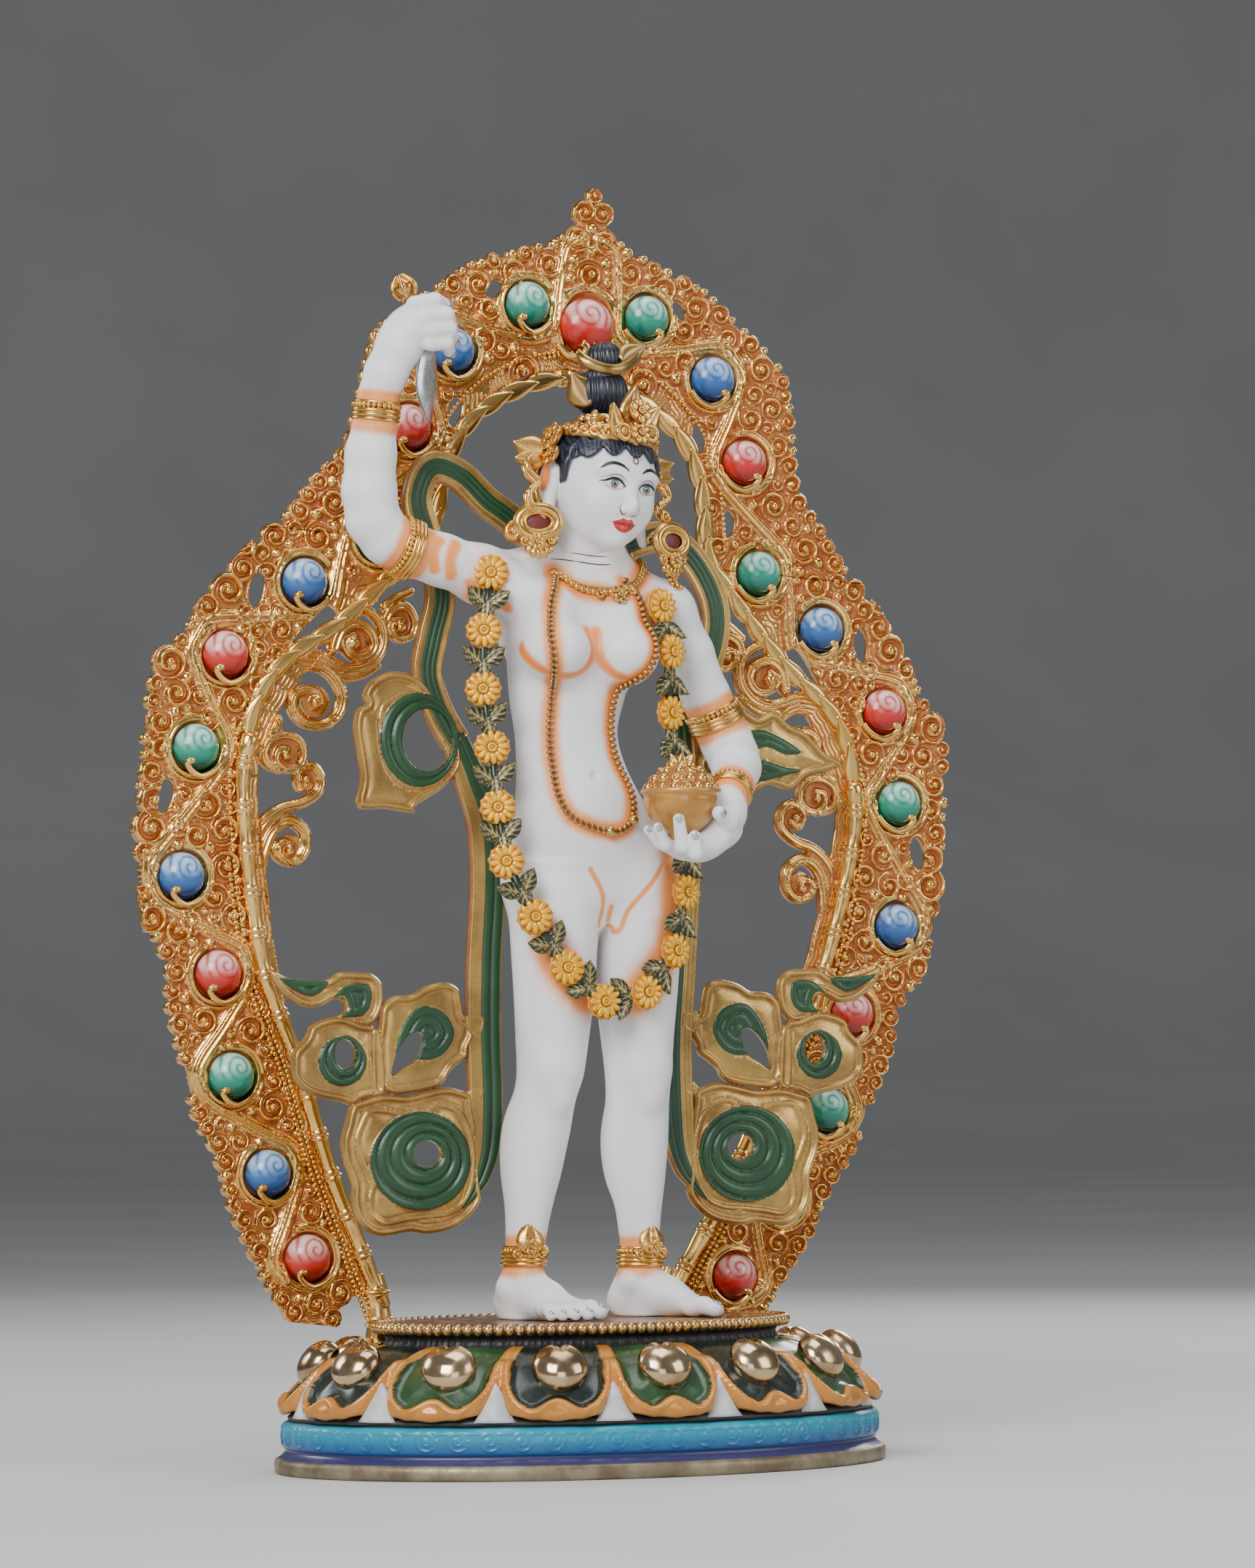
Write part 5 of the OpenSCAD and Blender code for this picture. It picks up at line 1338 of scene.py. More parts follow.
def oval_arc(a, b, n=2880):
    q = np.linspace(0, 2 * math.pi, n + 1)
    P = np.stack([a * np.cos(q), b * np.sin(q)], 1)
    L_ = np.r_[0, np.cumsum(np.linalg.norm(np.diff(P, axis=0), axis=1))]
    return q, L_


def sweep(name, prof, mat, replaces, nphi=360, disp=None, attrs=None, smooth=True, inner=None):
    prof = A(prof, float)
    V, Q = ring_surface(prof, nphi)
    if disp is not None:
        V = disp(V)
    at = attrs(V) if attrs else None
    return mesh(name, V, [np.zeros((0, 3), np.int32), Q.astype(np.int32)], mat, STATUE, replaces, at, smooth)


PETAL_N = 14
petal_step = 360.0 / PETAL_N


def petal_angle(i):
    q = i * petal_step - 90
    return q + 4.1 * math.sin(math.radians(2 * q))


def petal_coord(phi):
    """petal index coordinate for a polar parameter angle (degrees)."""
    ii = np.linspace(-1, 15, 1601)
    qq = A([petal_angle(t) for t in ii])
    ph = (phi + 90 + 360) % 360 - 90
    return np.interp(ph, qq, ii)


# plinth rim: dull brass, rounded, slightly worn
m_rim = Mat("rim_brass")
_n = m_rim.noise(90, 4, 0.6)
m_rim.set(color=m_rim.mix(m_rim.ramp(_n, 0.35, 0.68), (0.30, 0.255, 0.165), (0.16, 0.12, 0.07)), metal=0.55, rough=m_rim.ramp(m_rim.noise(700, 2), 0.3, 0.7, 0.38, 0.55), normal=m_rim.bump(m_rim.noise(420, 3), 0.2, 0.0003))
sweep("plinth_rim_band", [(98, 67, 0.5), (103.2, 72.2, 0.0), (103.8, 72.8, 0.35), (104.2, 73.2, 1.2), (104.3, 73.3, 2.6), (104.1, 73.1, 4.0), (103.6, 72.6, 4.7), (102.9, 71.9, 5.0), (101.5, 70.5, 5.1), (98, 67, 5.1)],
      m_rim.m, ["plinth_rim"], 300)
# purple groove and blue band with embossed scrolls
NB = 1100
zs = np.r_[np.linspace(5.0, 7.8, 7), np.linspace(8.1, 16.4, 30), A([16.9, 17.2])]


def band_r(z):
    d = np.interp(z, [5, 5.6, 6.6, 7.6, 8.2, 9.0, 12, 15.6, 16.4, 17.2], [0.3, -0.6, -1.6, -2.0, -1.3, -0.9, -0.7, -0.9, -1.7, -3.5])
    return d


qa, La = oval_arc(102.5, 71.5)
PER = La[-1] / 54


def band_disp(V):
    ph = np.arctan2(V[:, 1] / 71.5, V[:, 0] / 102.5) % (2 * math.pi)
    w = np.interp(ph, qa, La)
    x = (w / PER - np.floor(w / PER) - 0.5) * PER
    z = V[:, 2] - 12.6
    r = np.hypot(x, z * 1.02)
    th = np.arctan2(z, x)
    sp = r / 1.9 - th / (2 * math.pi)
    ridge = np.exp(-(((sp - np.round(sp)) / 0.16) ** 2)) * (r < 3.7) * (r > 0.5)
    big = np.exp(-(((np.hypot(np.abs(x) - PER / 2, z + 3.6) - 6.0) / 0.35) ** 2)) * (V[:, 2] > 11) * (r > 3.4)
    dot = np.exp(-(r / 0.7) ** 2)
    h = 0.42 * np.clip(ridge + big + dot, 0, 1) * sstep(8.3, 9.2, V[:, 2]) * (1 - sstep(15.6, 16.4, V[:, 2]))
    N = oval_normals(V, 102.5, 71.5)
    wav = 0.12 * np.sin(w / 7.0) + 0.1 * np.sin(w / 3.1)
    return V + N * h[:, None] + A([0, 0, 1.0]) * (wav * sstep(15.0, 16.5, V[:, 2]))[:, None]


def band_tint(V):
    z = V[:, 2]
    t = sstep(8.0, 16.0, z)[:, None]
    blue = lerp(A([0.0, 0.075, 0.25])[None], A([0.005, 0.30, 0.43])[None], t)
    pur = lerp(A([0.035, 0.03, 0.12])[None], A([0.02, 0.02, 0.10])[None], sstep(5, 7.6, z)[:, None])
    k = sstep(7.75, 8.15, z)[:, None]
    c = pur * (1 - k) + blue * k
    g = sstep(16.35, 16.8, z)[:, None]
    c = c * (1 - g) + A([0.008, 0.008, 0.01])[None] * g
    return {"tint": rgba(c), "met": np.zeros(len(z))}


m_band = tint_mat("blue_band_paint", 0.36, 0.25, False, 0.1, 300, 0.12)
sweep("blue_scroll_band", [(102.5 + band_r(z), 71.5 + band_r(z), z) for z in zs], m_band, ["scroll_band"], NB, band_disp, band_tint)
# black ground under and behind the petals
m_black = paint("ground_black", (0.012, 0.012, 0.013), (0.03, 0.028, 0.028), 0.42, 0.25, 180)
sweep("lotus_ground", [(97.5, 66.5, 16.4), (99.6, 68.6, 17.0), (99.8, 68.8, 18.0), (98.4, 67.6, 19.6), (94, 64, 22), (89, 60, 28), (82, 55, 34), (74, 49, 37.6), (69, 45, 38.6), (60, 36, 38.8)],
      m_black, ["lotus_shell"], 240)
# petals
QB = 104
NPH = PETAL_N * 60
pz = catmull(A([(99.6, 69.4, 18.6), (100.6, 70.2, 20.5), (99.2, 69.2, 24.2), (95.6, 66.4, 28.6), (90.6, 61.8, 33.0), (83.5, 56.0, 37.4), (76.0, 50.4, 40.4), (70.0, 45.6, 41.6)]), 10)
pz = resample(pz, 28.5 / QB)
phi = np.arange(NPH) * 360.0 / NPH
pc = petal_coord(phi)
idx = np.round(pc)
fr = pc - idx
qa2, La2 = oval_arc(96, 66)
halfw = La2[-1] / PETAL_N / 2
X = fr * 2 * halfw                                   # across the petal, mm
Yl = np.r_[0, np.cumsum(np.linalg.norm(np.diff(A([(0.5 * (a + b), z) for a, b, z in pz]), axis=0), axis=1))]
XX, YY = np.meshgrid(X, Yl)
aX = np.abs(XX)
# outline of a petal: half width as a function of the height, ogee tip
yy_ = A([0, 0.5, 1.4, 3.0, 5.5, 9.0, 13, 18, 24, 40.0])
hw = A([7.2, 11.2, 13.0, 14.2, 15.4, 16.9, 18.4, 19.4, 19.6, 19.6]) * (halfw / 18.45)
hwY = np.interp(YY, yy_, hw)
yb = 0.25 + 0.9 * sstep(7, 13.2, aX) * 1.0 - 0.5 * np.exp(-(aX / 2.6) ** 2)   # lower edge
inside = np.minimum(hwY - aX, (YY - yb) * 1.2)
fy = 5.0 + 2.4 * np.exp(-(aX / 4.4) ** 2) - 1.1 * np.exp(-((aX - 7.0) / 3.2) ** 2)
fy = np.where(aX > 9, 5.0 + (aX - 9) ** 2 * 0.20, fy)
fieldw = np.interp(YY, [0, 6, 10, 14, 20, 40], A([9, 12.6, 14.4, 15.2, 15.6, 15.6]) * (halfw / 18.45))
fd = np.minimum((fieldw - aX), (YY - fy) * 0.95)
low = sstep(-0.2, 1.2, inside)
border = 2.2 + 1.5 * np.exp(-((fd + 1.3) / 1.2) ** 2) + 1.3 * np.exp(-((YY - 2.6) / 2.4) ** 2) * np.exp(-(aX / 8) ** 2) + 0.7 * np.exp(-((fd + 3.4) / 0.55) ** 2) * (YY > 6)
field = 2.0 - 1.2 * sstep(0, 2.2, fd) + 1.5 * sstep(3, 13, fd)
hgt = np.where(fd > 0, field, border)
hgt = hgt * low - 1.6 * (1 - low)
hgt = box_blur(hgt, 1)
hgt *= 1 - 0.75 * sstep(21, 28, YY)
base = np.concatenate([np.stack([a * np.cos(np.radians(phi)), b * np.sin(np.radians(phi)), np.full(NPH, z)], 1) for a, b, z in pz]).reshape(len(pz), NPH, 3)
dz = np.gradient(base, axis=0)
dp = np.roll(base, -1, 1) - np.roll(base, 1, 1)
nn_ = np.cross(dp, dz)
nn_ /= np.maximum(np.linalg.norm(nn_, axis=2, keepdims=True), 1e-9)
P = base + nn_ * (hgt - 1.5)[:, :, None]
P[:, :, 2] = np.maximum(P[:, :, 2], 17.2)
light = (np.round(idx).astype(int) % 2 == 0)
g_light, g_dark = A([0.028, 0.085, 0.030]), A([0.008, 0.022, 0.017])
gcol = np.where(light[None, :, None], g_light, g_dark) * (0.75 + 0.6 * sstep(4, 16, fd))[:, :, None]
orange = A([0.58, 0.235, 0.035])[None, None] * (0.85 + 0.25 * sstep(0, 5, YY))[:, :, None]
dline = np.exp(-((fd - 0.2) / 0.35) ** 2)[:, :, None]
k = sstep(-0.15, 0.15, fd)[:, :, None]
col = orange * (1 - k) + gcol * k
col = col * (1 - 0.75 * dline * k) 
ob_ = sstep(-0.1, 0.35, inside)[:, :, None]
col = col * ob_ + A([0.012, 0.012, 0.013]) * (1 - ob_)
met = 0.28 * (1 - k[:, :, 0]) * ob_[:, :, 0]
m_pet = tint_mat("petal_paint", 0.30, 0.35, True, 0.12, 240, 0.3)
ii, jj = np.meshgrid(np.arange(len(pz) - 1), np.arange(NPH), indexing="ij")
Fq = np.stack([ii * NPH + jj, ii * NPH + (jj + 1) % NPH, (ii + 1) * NPH + (jj + 1) % NPH, (ii + 1) * NPH + jj], -1).reshape(-1, 4)
keep = inside[ii, jj].reshape(-1) > -0.5
isl = light[jj].reshape(-1)
Vp, tp, mp = P.reshape(-1, 3), col.reshape(-1, 3), met.reshape(-1)
for nm, pick, slot in (("light_petals", isl, "green_petal_paint"), ("dark_petals", ~isl, "dark_petal_paint")):
    F_ = Fq[pick & keep]
    used = np.unique(F_)
    re_ = np.full(len(Vp), -1)
    re_[used] = np.arange(len(used))
    mesh(nm + "_carved", Vp[used], [np.zeros((0, 3), np.int32), re_[F_].astype(np.int32)], m_pet, STATUE, [nm], {"tint": rgba(tp[used]), "met": mp[used]})


def heading(a, b, q):
    q = math.radians(q)
    return math.degrees(math.atan2(math.sin(q) / b, math.cos(q) / a))


# polished domes
m_dome = Mat("polished_dome")
_n = m_dome.noise(70, 3, 0.6)
m_dome.set(color=m_dome.mix(m_dome.ramp(_n, 0.42, 0.7), (0.66, 0.50, 0.30), (0.34, 0.20, 0.10)), metal=1.0, rough=m_dome.ramp(m_dome.noise(160, 3), 0.3, 0.75, 0.1, 0.3), normal=m_dome.bump(m_dome.noise(120, 2), 0.1, 0.0004))
domes, seps = Bag(), Bag()
nd = 40
for i in range(PETAL_N):
    q = petal_angle(i)
    c = A([88.6 * math.cos(math.radians(q)), 62.1 * math.sin(math.radians(q)), 34.4])
    R = rotz(heading(100, 70, q)) @ roty(50)
    V, F = ball(1.0, nd, 20)
    V = V.copy()
    # local: z outwards, x down the petal, y across
    x, y, z = V[:, 0] * 8.6, V[:, 1] * 8.9, V[:, 2] * 6.0
    crease = np.exp(-(y / 1.1) ** 2) * sstep(-2.0, -7.5, x) * 0 + np.exp(-(y / 1.1) ** 2) * sstep(2.0, 7.5, -x)
    z = z * (1 - 0.28 * crease)
    x = x + 1.3 * crease * sstep(3.5, 8.0, -x)
    V = np.stack([x, y, z + 0.6], 1) @ R.T + c
    if c[1] > 0:
        m_ = (np.abs(V[:, 1] - 48) < 4.2) & (V[:, 2] > 35.4)
        V[m_, 2] = 35.4
    domes.add(V, F)
    q = petal_angle(i + 0.5)
    c = A([98.2 * math.cos(math.radians(q)), 67.6 * math.sin(math.radians(q)), 18.2])
    R = rotz(heading(100, 70, q))
    # three-sided white sepal, bulging towards the front
    VV, FF = [], []
    na, nb = 11, 12
    for a in range(nb):
        f = a / (nb - 1)
        w = 6.6 * (1 - f) ** 0.8 * (1 - 0.08 * math.sin(f * 9)) + 0.15
        for b in range(na):
            s_ = -1 + 2 * b / (na - 1)
            VV.append((1.9 * (1 - abs(s_) ** 1.6) * (1 - f) ** 0.6 - 3.4 * f + 0.9, s_ * w, f * 12.2))
    for a in range(nb - 1):
        for b in range(na - 1):
            t = a * na + b
            FF.append((t, t + 1, t + na + 1, t + na))
    n0_ = len(VV)
    VV += [(-3.4 * v[2] / 12.2 - 1.4, v[1] * 0.96, v[2]) for v in VV]
    FF += [tuple(n0_ + t for t in reversed(f)) for f in FF[:]]
    rim = list(range(na)) + [a * na + na - 1 for a in range(1, nb)] + [(nb - 1) * na + b for b in range(na - 2, -1, -1)] + [a * na for a in range(nb - 2, 0, -1)]
    for t in range(len(rim)):
        a_, b_ = rim[t], rim[(t + 1) % len(rim)]
        FF.append((b_, a_, a_ + n0_, b_ + n0_))
    seps.add(A(VV) @ R.T + c, FF)
domes.make("petal_domes", m_dome.m, STATUE, ["petal_bosses"], "polished_gilt")
seps.make("sepals_white", paint("sepal_white", (0.62, 0.62, 0.62), (0.42, 0.42, 0.43), 0.5, 0.3, 200), STATUE, ["white_sepals"], "white_petal_paint")


# ribbed black neck, painted top and rope rim
def neck_disp(V):
    ph = np.arctan2(V[:, 1] / 43, V[:, 0] / 68) % (2 * math.pi)
    qn, Ln = oval_arc(68, 43)
    w = np.interp(ph, qn, Ln)
    p_ = Ln[-1] / 84
    x = (w / p_) % 1
    cut = np.exp(-(((x - 0.5) / 0.1) ** 2)) + 0.25 * np.cos(2 * math.pi * x)
    N = oval_normals(V, 68, 43)
    return V - N * (0.75 * cut * sstep(38.6, 39.6, V[:, 2]) * (1 - sstep(44.0, 45.0, V[:, 2])))[:, None]


sweep("neck_ribbed", [(74, 48.5, 38.2), (70.6, 45.2, 39.0), (68.4, 43.3, 40.2), (67.4, 42.4, 41.6), (67.2, 42.2, 42.8), (67.8, 42.8, 43.8), (69.2, 44.0, 44.6), (70.2, 45.0, 45.1), (66, 41, 45.1)], m_black, ["neck_collar"], 1000, neck_disp)
m_top = Mat("plate_painted")
_a, _b = m_top.noise(38, 4, 0.6, dist=1.6), m_top.noise(130, 3, 0.6, dist=0.8)
_w = m_top.math("ABSOLUTE", m_top.math("SUBTRACT", _a, 0.5))
_c = m_top.mix(m_top.ramp(_w, 0.02, 0.06), (0.045, 0.02, 0.025), m_top.mix(m_top.ramp(_b, 0.4, 0.62), (0.50, 0.22, 0.03), (0.22, 0.085, 0.02)))
m_top.b.inputs["Coat Weight"].default_value = 0.3
m_top.set(color=_c, rough=0.36, metal=0.25, normal=m_top.bump(_b, 0.2, 0.0003))
V, Q = ring_surface([(0.5, 0.4, 47.62), (30, 20, 47.62), (60, 38, 47.6), (69.6, 44.4, 47.6), (70.6, 45.3, 47.3), (70.8, 45.5, 46.4), (70.6, 45.2, 45.2), (66, 41, 45.0)], 200)
mesh("plate_top", V, [np.zeros((0, 3), np.int32), Q[:, ::-1].astype(np.int32)], m_top.m, STATUE, ["top_plate"])
rope = Bag()
qr, Lr = oval_arc(70.3, 45.1)
nr = 110
for i in range(nr):
    ph = float(np.interp((i + 0.5) * Lr[-1] / nr, Lr, qr))
    c = A([70.3 * math.cos(ph), 45.1 * math.sin(ph), 46.15])
    R = rotz(heading(70.3, 45.1, math.degrees(ph)))
    V, F = ball(1.0, 16, 10)
    V = np.stack([V[:, 0] * 1.85, np.sign(V[:, 1]) * np.abs(V[:, 1]) ** 0.8 * 1.68, V[:, 2] * 1.95], 1)
    V = V @ rotx(14).T @ R.T + c
    rope.add(V, F, cav=np.clip(np.abs((V - c) @ R[:, 1]) / 1.7, 0, 1) ** 3 * 0.8)
rope.make("rope_rim", gilt("rope_gilt", (0.70, 0.50, 0.26), (0.26, 0.12, 0.05), 0.2, 0.8, (0.26, 0.5), copper=(0.62, 0.40, 0.24)), STATUE, ["beaded_rope_rim"], "polished_gilt")


# ------------------------------------------------------------------ ribbons
class Sheet:
    """A flat carved panel in the plane y = y0, drawn with outlines, grooves and openings."""
    def __init__(s, x0, x1, z0, z1, h):
        s.x = np.arange(x0, x1, h)
        s.z = np.arange(z0, z1, h)
        s.X, s.Z = np.meshgrid(s.x, s.z, indexing="ij")
        s.h = h
        s.M = np.full(s.X.shape, 9.0)
        s.H = np.full(s.X.shape, 0.4)
        s.G = np.zeros(s.X.shape)
        s.cut = np.full(s.X.shape, 9.0)

    def d(s, P, per=5):
        P = catmull(A(P, float), per, True)
        return seg_field(P, True, s.X, s.Z)

    def gold(s, P, lift=0.0, rim=1.25, rimh=1.15):
        d = -s.d(P)
        e = sstep(0, 0.7, d)
        hh = (0.9 + lift + rimh * np.exp(-((d - rim) / 0.75) ** 2) - 0.45 * np.exp(-((d - rim - 1.6) / 0.45) ** 2) + 0.5 * sstep(2.5, 7, d)) * (0.45 + 0.55 * e)
        on = d > 0
        s.H = np.where(on, np.maximum(hh, s.H * (s.M > 0)) if lift == 0 else hh, s.H)
        s.G = np.where(on, 0, s.G)
        s.M = np.minimum(s.M, -d)

    def green(s, P, pitch=3.4, lift=0.0):
        d = -s.d(P)
        w = (d / pitch) % 1.0
        hh = 0.7 + lift + 1.15 * np.sqrt(np.clip(1 - (w * 2 - 1) ** 2, 0, 1))
        on = d > 0
        s.H = np.where(on, hh, s.H)
        s.G = np.maximum(s.G, sstep(0.0, 0.3, d))

    def ring(s, hc, hr, dc, dr, n=3, start=0.0):
        """Concentric rounded bands from an opening (hc, hr) out to (dc, dr)."""
        t = np.full(s.X.shape, 0.5)
        hc, hr, dc, dr = A(hc, float), A(hr, float), A(dc, float), A(dr, float)
        for it in range(8):
            cx, cz = lerp(hc[0], dc[0], t), lerp(hc[1], dc[1], t)
            rx, rz = lerp(hr[0], dr[0], t), lerp(hr[1], dr[1], t)
            rho = np.sqrt(((s.X - cx) / rx) ** 2 + ((s.Z - cz) / rz) ** 2)
            t = np.clip(t + (rho - 1) * 0.5 * (rx / max(1e-6, float(dr[0] - hr[0]))), -1, 2)
        th = np.arctan2(s.Z - cz, s.X - cx) / (2 * math.pi)
        w = (t * n + start * th) % 1.0
        hh = 0.75 + 1.45 * np.sqrt(np.clip(1 - (w * 2 - 1) ** 2, 0, 1))
        on = (t > 0) & (t < 1)
        s.H = np.where(on, hh, s.H)
        s.G = np.where(on, 1.0, s.G)
        s.M = np.where(on, np.minimum(s.M, -1.0), s.M)
        s.cut = np.minimum(s.cut, t * 6.0)

    def hole(s, P):
        s.cut = np.minimum(s.cut, s.d(P))

    def make(s, name, mat, replaces, slot, y0=16.0, back=-1.5, flip=False, yfun=None):
        nn = np.arange(back - 1.2, 4.2, s.h)
        Hs = 0.5 * s.H + 0.5 * box_blur(s.H, 1)
        M_ = np.maximum(s.M, -s.cut)
        f = np.maximum(np.maximum(nn[None, None, :] - Hs[:, :, None], back - nn[None, None, :]), M_[:, :, None]).astype(np.float32)
        np.clip(f, -3 * s.h, 3 * s.h, out=f)
        f = np.ascontiguousarray(f)
        f[0], f[-1], f[:, 0], f[:, -1], f[:, :, 0], f[:, :, -1] = 9, 9, 9, 9, 9, 9
        g = openvdb.FloatGrid(3 * s.h)
        g.copyFromArray(f)
        V, T, Q = g.convertToPolygons(isovalue=0.0, adaptivity=0.03)
        V = np.asarray(V, float) * s.h + A([s.x[0], s.z[0], nn[0]])
        T, Q = np.asarray(T, np.int32).reshape(-1, 3)[:, ::-1], np.asarray(Q, np.int32).reshape(-1, 4)[:, ::-1]
        i = np.clip((V[:, 0] - s.x[0]) / s.h, 0, len(s.x) - 1.001)
        j = np.clip((V[:, 1] - s.z[0]) / s.h, 0, len(s.z) - 1.001)
        i0, j0 = i.astype(int), j.astype(int)
        fi, fj = i - i0, j - j0
        i1, j1 = np.minimum(i0 + 1, len(s.x) - 1), np.minimum(j0 + 1, len(s.z) - 1)
        smp = lambda Z_: (Z_[i0, j0] * (1 - fi) + Z_[i1, j0] * fi) * (1 - fj) + (Z_[i0, j1] * (1 - fi) + Z_[i1, j1] * fi) * fj
        cav = np.clip((box_blur(s.H, 3) - s.H) * 0.9 + 0.12, 0, 1)
        cv = smp(cav)
        gr = smp(s.G)
        gr = np.where(V[:, 2] < -0.3, 0.0, gr)
        cv = np.where(V[:, 2] < -1.2, 0.3, cv)
        W = np.stack([V[:, 0], (y0 if yfun is None else yfun(V[:, 0], V[:, 1])) - V[:, 2], V[:, 1]], 1)
        return mesh(name, W, [T, Q], mat, STATUE, replaces, {"cav": cv, "green": gr})


m_scarf = Mat("scarf_paint_gold_green")
_c = m_scarf.attr("cav")
_g = m_scarf.ramp(m_scarf.attr("green"), 0.42, 0.58)
_n1, _n2, _n3 = m_scarf.noise(240, 3), m_scarf.noise(1400, 2), m_scarf.noise(60, 4, 0.65)
_gold = m_scarf.mix(m_scarf.ramp(_n3, 0.38, 0.68), (0.54, 0.34, 0.095), (0.36, 0.21, 0.062))
# painted shade: the gold turns dark red-brown and the green darker where the cavity attribute marks grooves and
# recesses
_gold = m_scarf.mix(m_scarf.ramp(m_scarf.math("ADD", _c, m_scarf.math("MULTIPLY", m_scarf.math("SUBTRACT", _n1, 0.5), 0.3)), 0.22, 0.75), _gold, (0.30, 0.095, 0.05))
_grn = m_scarf.mix(m_scarf.ramp(_n3, 0.35, 0.7), (0.014, 0.066, 0.022), (0.009, 0.046, 0.017))
_grn = m_scarf.mix(m_scarf.ramp(_c, 0.2, 0.8), _grn, (0.005, 0.026, 0.011))
_scuff = m_scarf.ramp(m_scarf.noise(420, 4, 0.7), 0.70, 0.78)
_grn = m_scarf.mix(m_scarf.math("MULTIPLY", _scuff, 0.6), _grn, (0.16, 0.14, 0.05))
m_scarf.b.inputs["Coat Weight"].default_value = 0.15
m_scarf.b.inputs["Coat Roughness"].default_value = 0.25
m_scarf.set(color=m_scarf.mix(_g, _gold, _grn), metal=m_scarf.math("MULTIPLY", m_scarf.math("SUBTRACT", 1.0, _g), m_scarf.ramp(_c, 0.2, 0.7, 0.75, 0.2)), rough=m_scarf.math("ADD", m_scarf.math("ADD", 0.30, m_scarf.math("MULTIPLY", _g, 0.06)), m_scarf.math("MULTIPLY", m_scarf.math("SUBTRACT", _n2, 0.5), 0.22)),
            normal=m_scarf.bump(m_scarf.math("ADD", _n1, m_scarf.math("MULTIPLY", _n2, 0.3)), 0.18, 0.0002))
m_scarf = m_scarf.m


def swirl(name, cx, cz, sx, replaces):
    h = 0.36
    T = lambda pts: [(cx + sx * (a - 615) * 0.0729, cz + (1050 - b) * 0.0661) for a, b in pts]
    xs = [cx - sx * 56, cx + sx * 32]
    s = Sheet(min(xs), max(xs), cz - 26, cz + 66, h)
    # tail with its two green leaves
    s.gold(T([(440, 300), (445, 190), (400, 132), (330, 122), (235, 122), (185, 155), (100, 160), (0, 150), (-90, 112), (-60, 190), (0, 250), (60, 285), (140, 290), (210, 255), (255, 262), (262, 310), (220, 345), (300, 385), (390, 380)]))
    s.green(T([(-55, 150), (60, 160), (180, 165), (150, 215), (90, 238), (10, 205)]), 2.4)
    s.green(T([(205, 245), (250, 195), (310, 172), (380, 190), (384, 280), (340, 335), (235, 342), (275, 300), (255, 240)]), 3.0)
    # left knot
    s.gold(T([(8, 570), (18, 505), (75, 440), (98, 385), (170, 348), (250, 340), (335, 372), (405, 395), (425, 520), (440, 700), (340, 745), (290, 772), (240, 755), (130, 730), (60, 695), (15, 640)]))
    s.ring(T([(262, 520)])[0], (3.9, 5.2), T([(243, 560)])[0], (8.4, 7.9), 2)
    # right knot
    s.gold(T([(425, 660), (412, 500), (425, 380), (440, 290), (500, 240), (585, 232), (640, 198), (700, 178), (762, 174), (812, 205), (830, 270), (842, 335), (882, 362), (886, 440), (858, 500), (850, 545), (782, 600), (742, 660), (700, 690), (600, 712), (480, 720)]))
    s.green(T([(500, 520), (518, 420), (580, 318), (650, 290), (735, 318), (785, 400), (778, 465), (730, 530), (670, 556), (605, 556), (560, 575), (510, 560)]), 3.2)
    s.hole(T([(484, 632), (506, 520), (568, 432), (628, 418), (642, 462), (606, 552), (540, 598)]))
    # stem that ties the knots to the disc
    s.gold(T([(385, 420), (430, 420), (446, 560), (450, 700), (420, 730), (385, 700)]), 0.35, 0.9, 0.7)
    # scalloped disc
    s.gold(T([(290, 772), (262, 870), (243, 950), (250, 1040), (275, 1110), (292, 1170), (290, 1240), (306, 1315), (345, 1375), (405, 1412), (480, 1412), (570, 1398), (640, 1410), (725, 1400), (805, 1372), (870, 1318), (915, 1240), (905, 1140), (900, 1000), (890, 880), (875, 790), (870, 730), (800, 700), (740, 690), (660, 705), (560, 728), (440, 722), (350, 745)]))
    s.gold(T([(330, 850), (300, 950), (330, 1060), (372, 1150), (360, 1240), (375, 1320), (440, 1368), (540, 1352), (640, 1340), (740, 1330), (820, 1290), (872, 1200), (890, 1080), (885, 960), (850, 850), (790, 785), (700, 762), (640, 800), (540, 806), (440, 785), (370, 790)]), 0.25, 0.8, 0.5)
    s.ring(T([(650, 1015)])[0], (5.3, 4.4), T([(617, 1052)])[0], (17.8, 16.0), 3.0, sx * 1.0)
    s.hole(T([(750, 655), (768, 612), (858, 550), (884, 560), (886, 650), (862, 708), (800, 688)]))
    s.gold(T([(860, 690), (930, 690), (930, 740), (900, 760), (860, 740)]), 0.2, 0.8, 0.4)
    s.gold(T([(840, 350), (900, 330), (940, 350), (930, 420), (880, 440)]), 0.2, 0.8, 0.4)
    s.make(name, m_scarf, replaces, "scarf_paint")


swirl("swirl_left", -50.5, 99.5, 1, ["scarf_left_swirl"])
swirl("swirl_right", 68.0, 100.0, -1, ["scarf_right_swirl"])


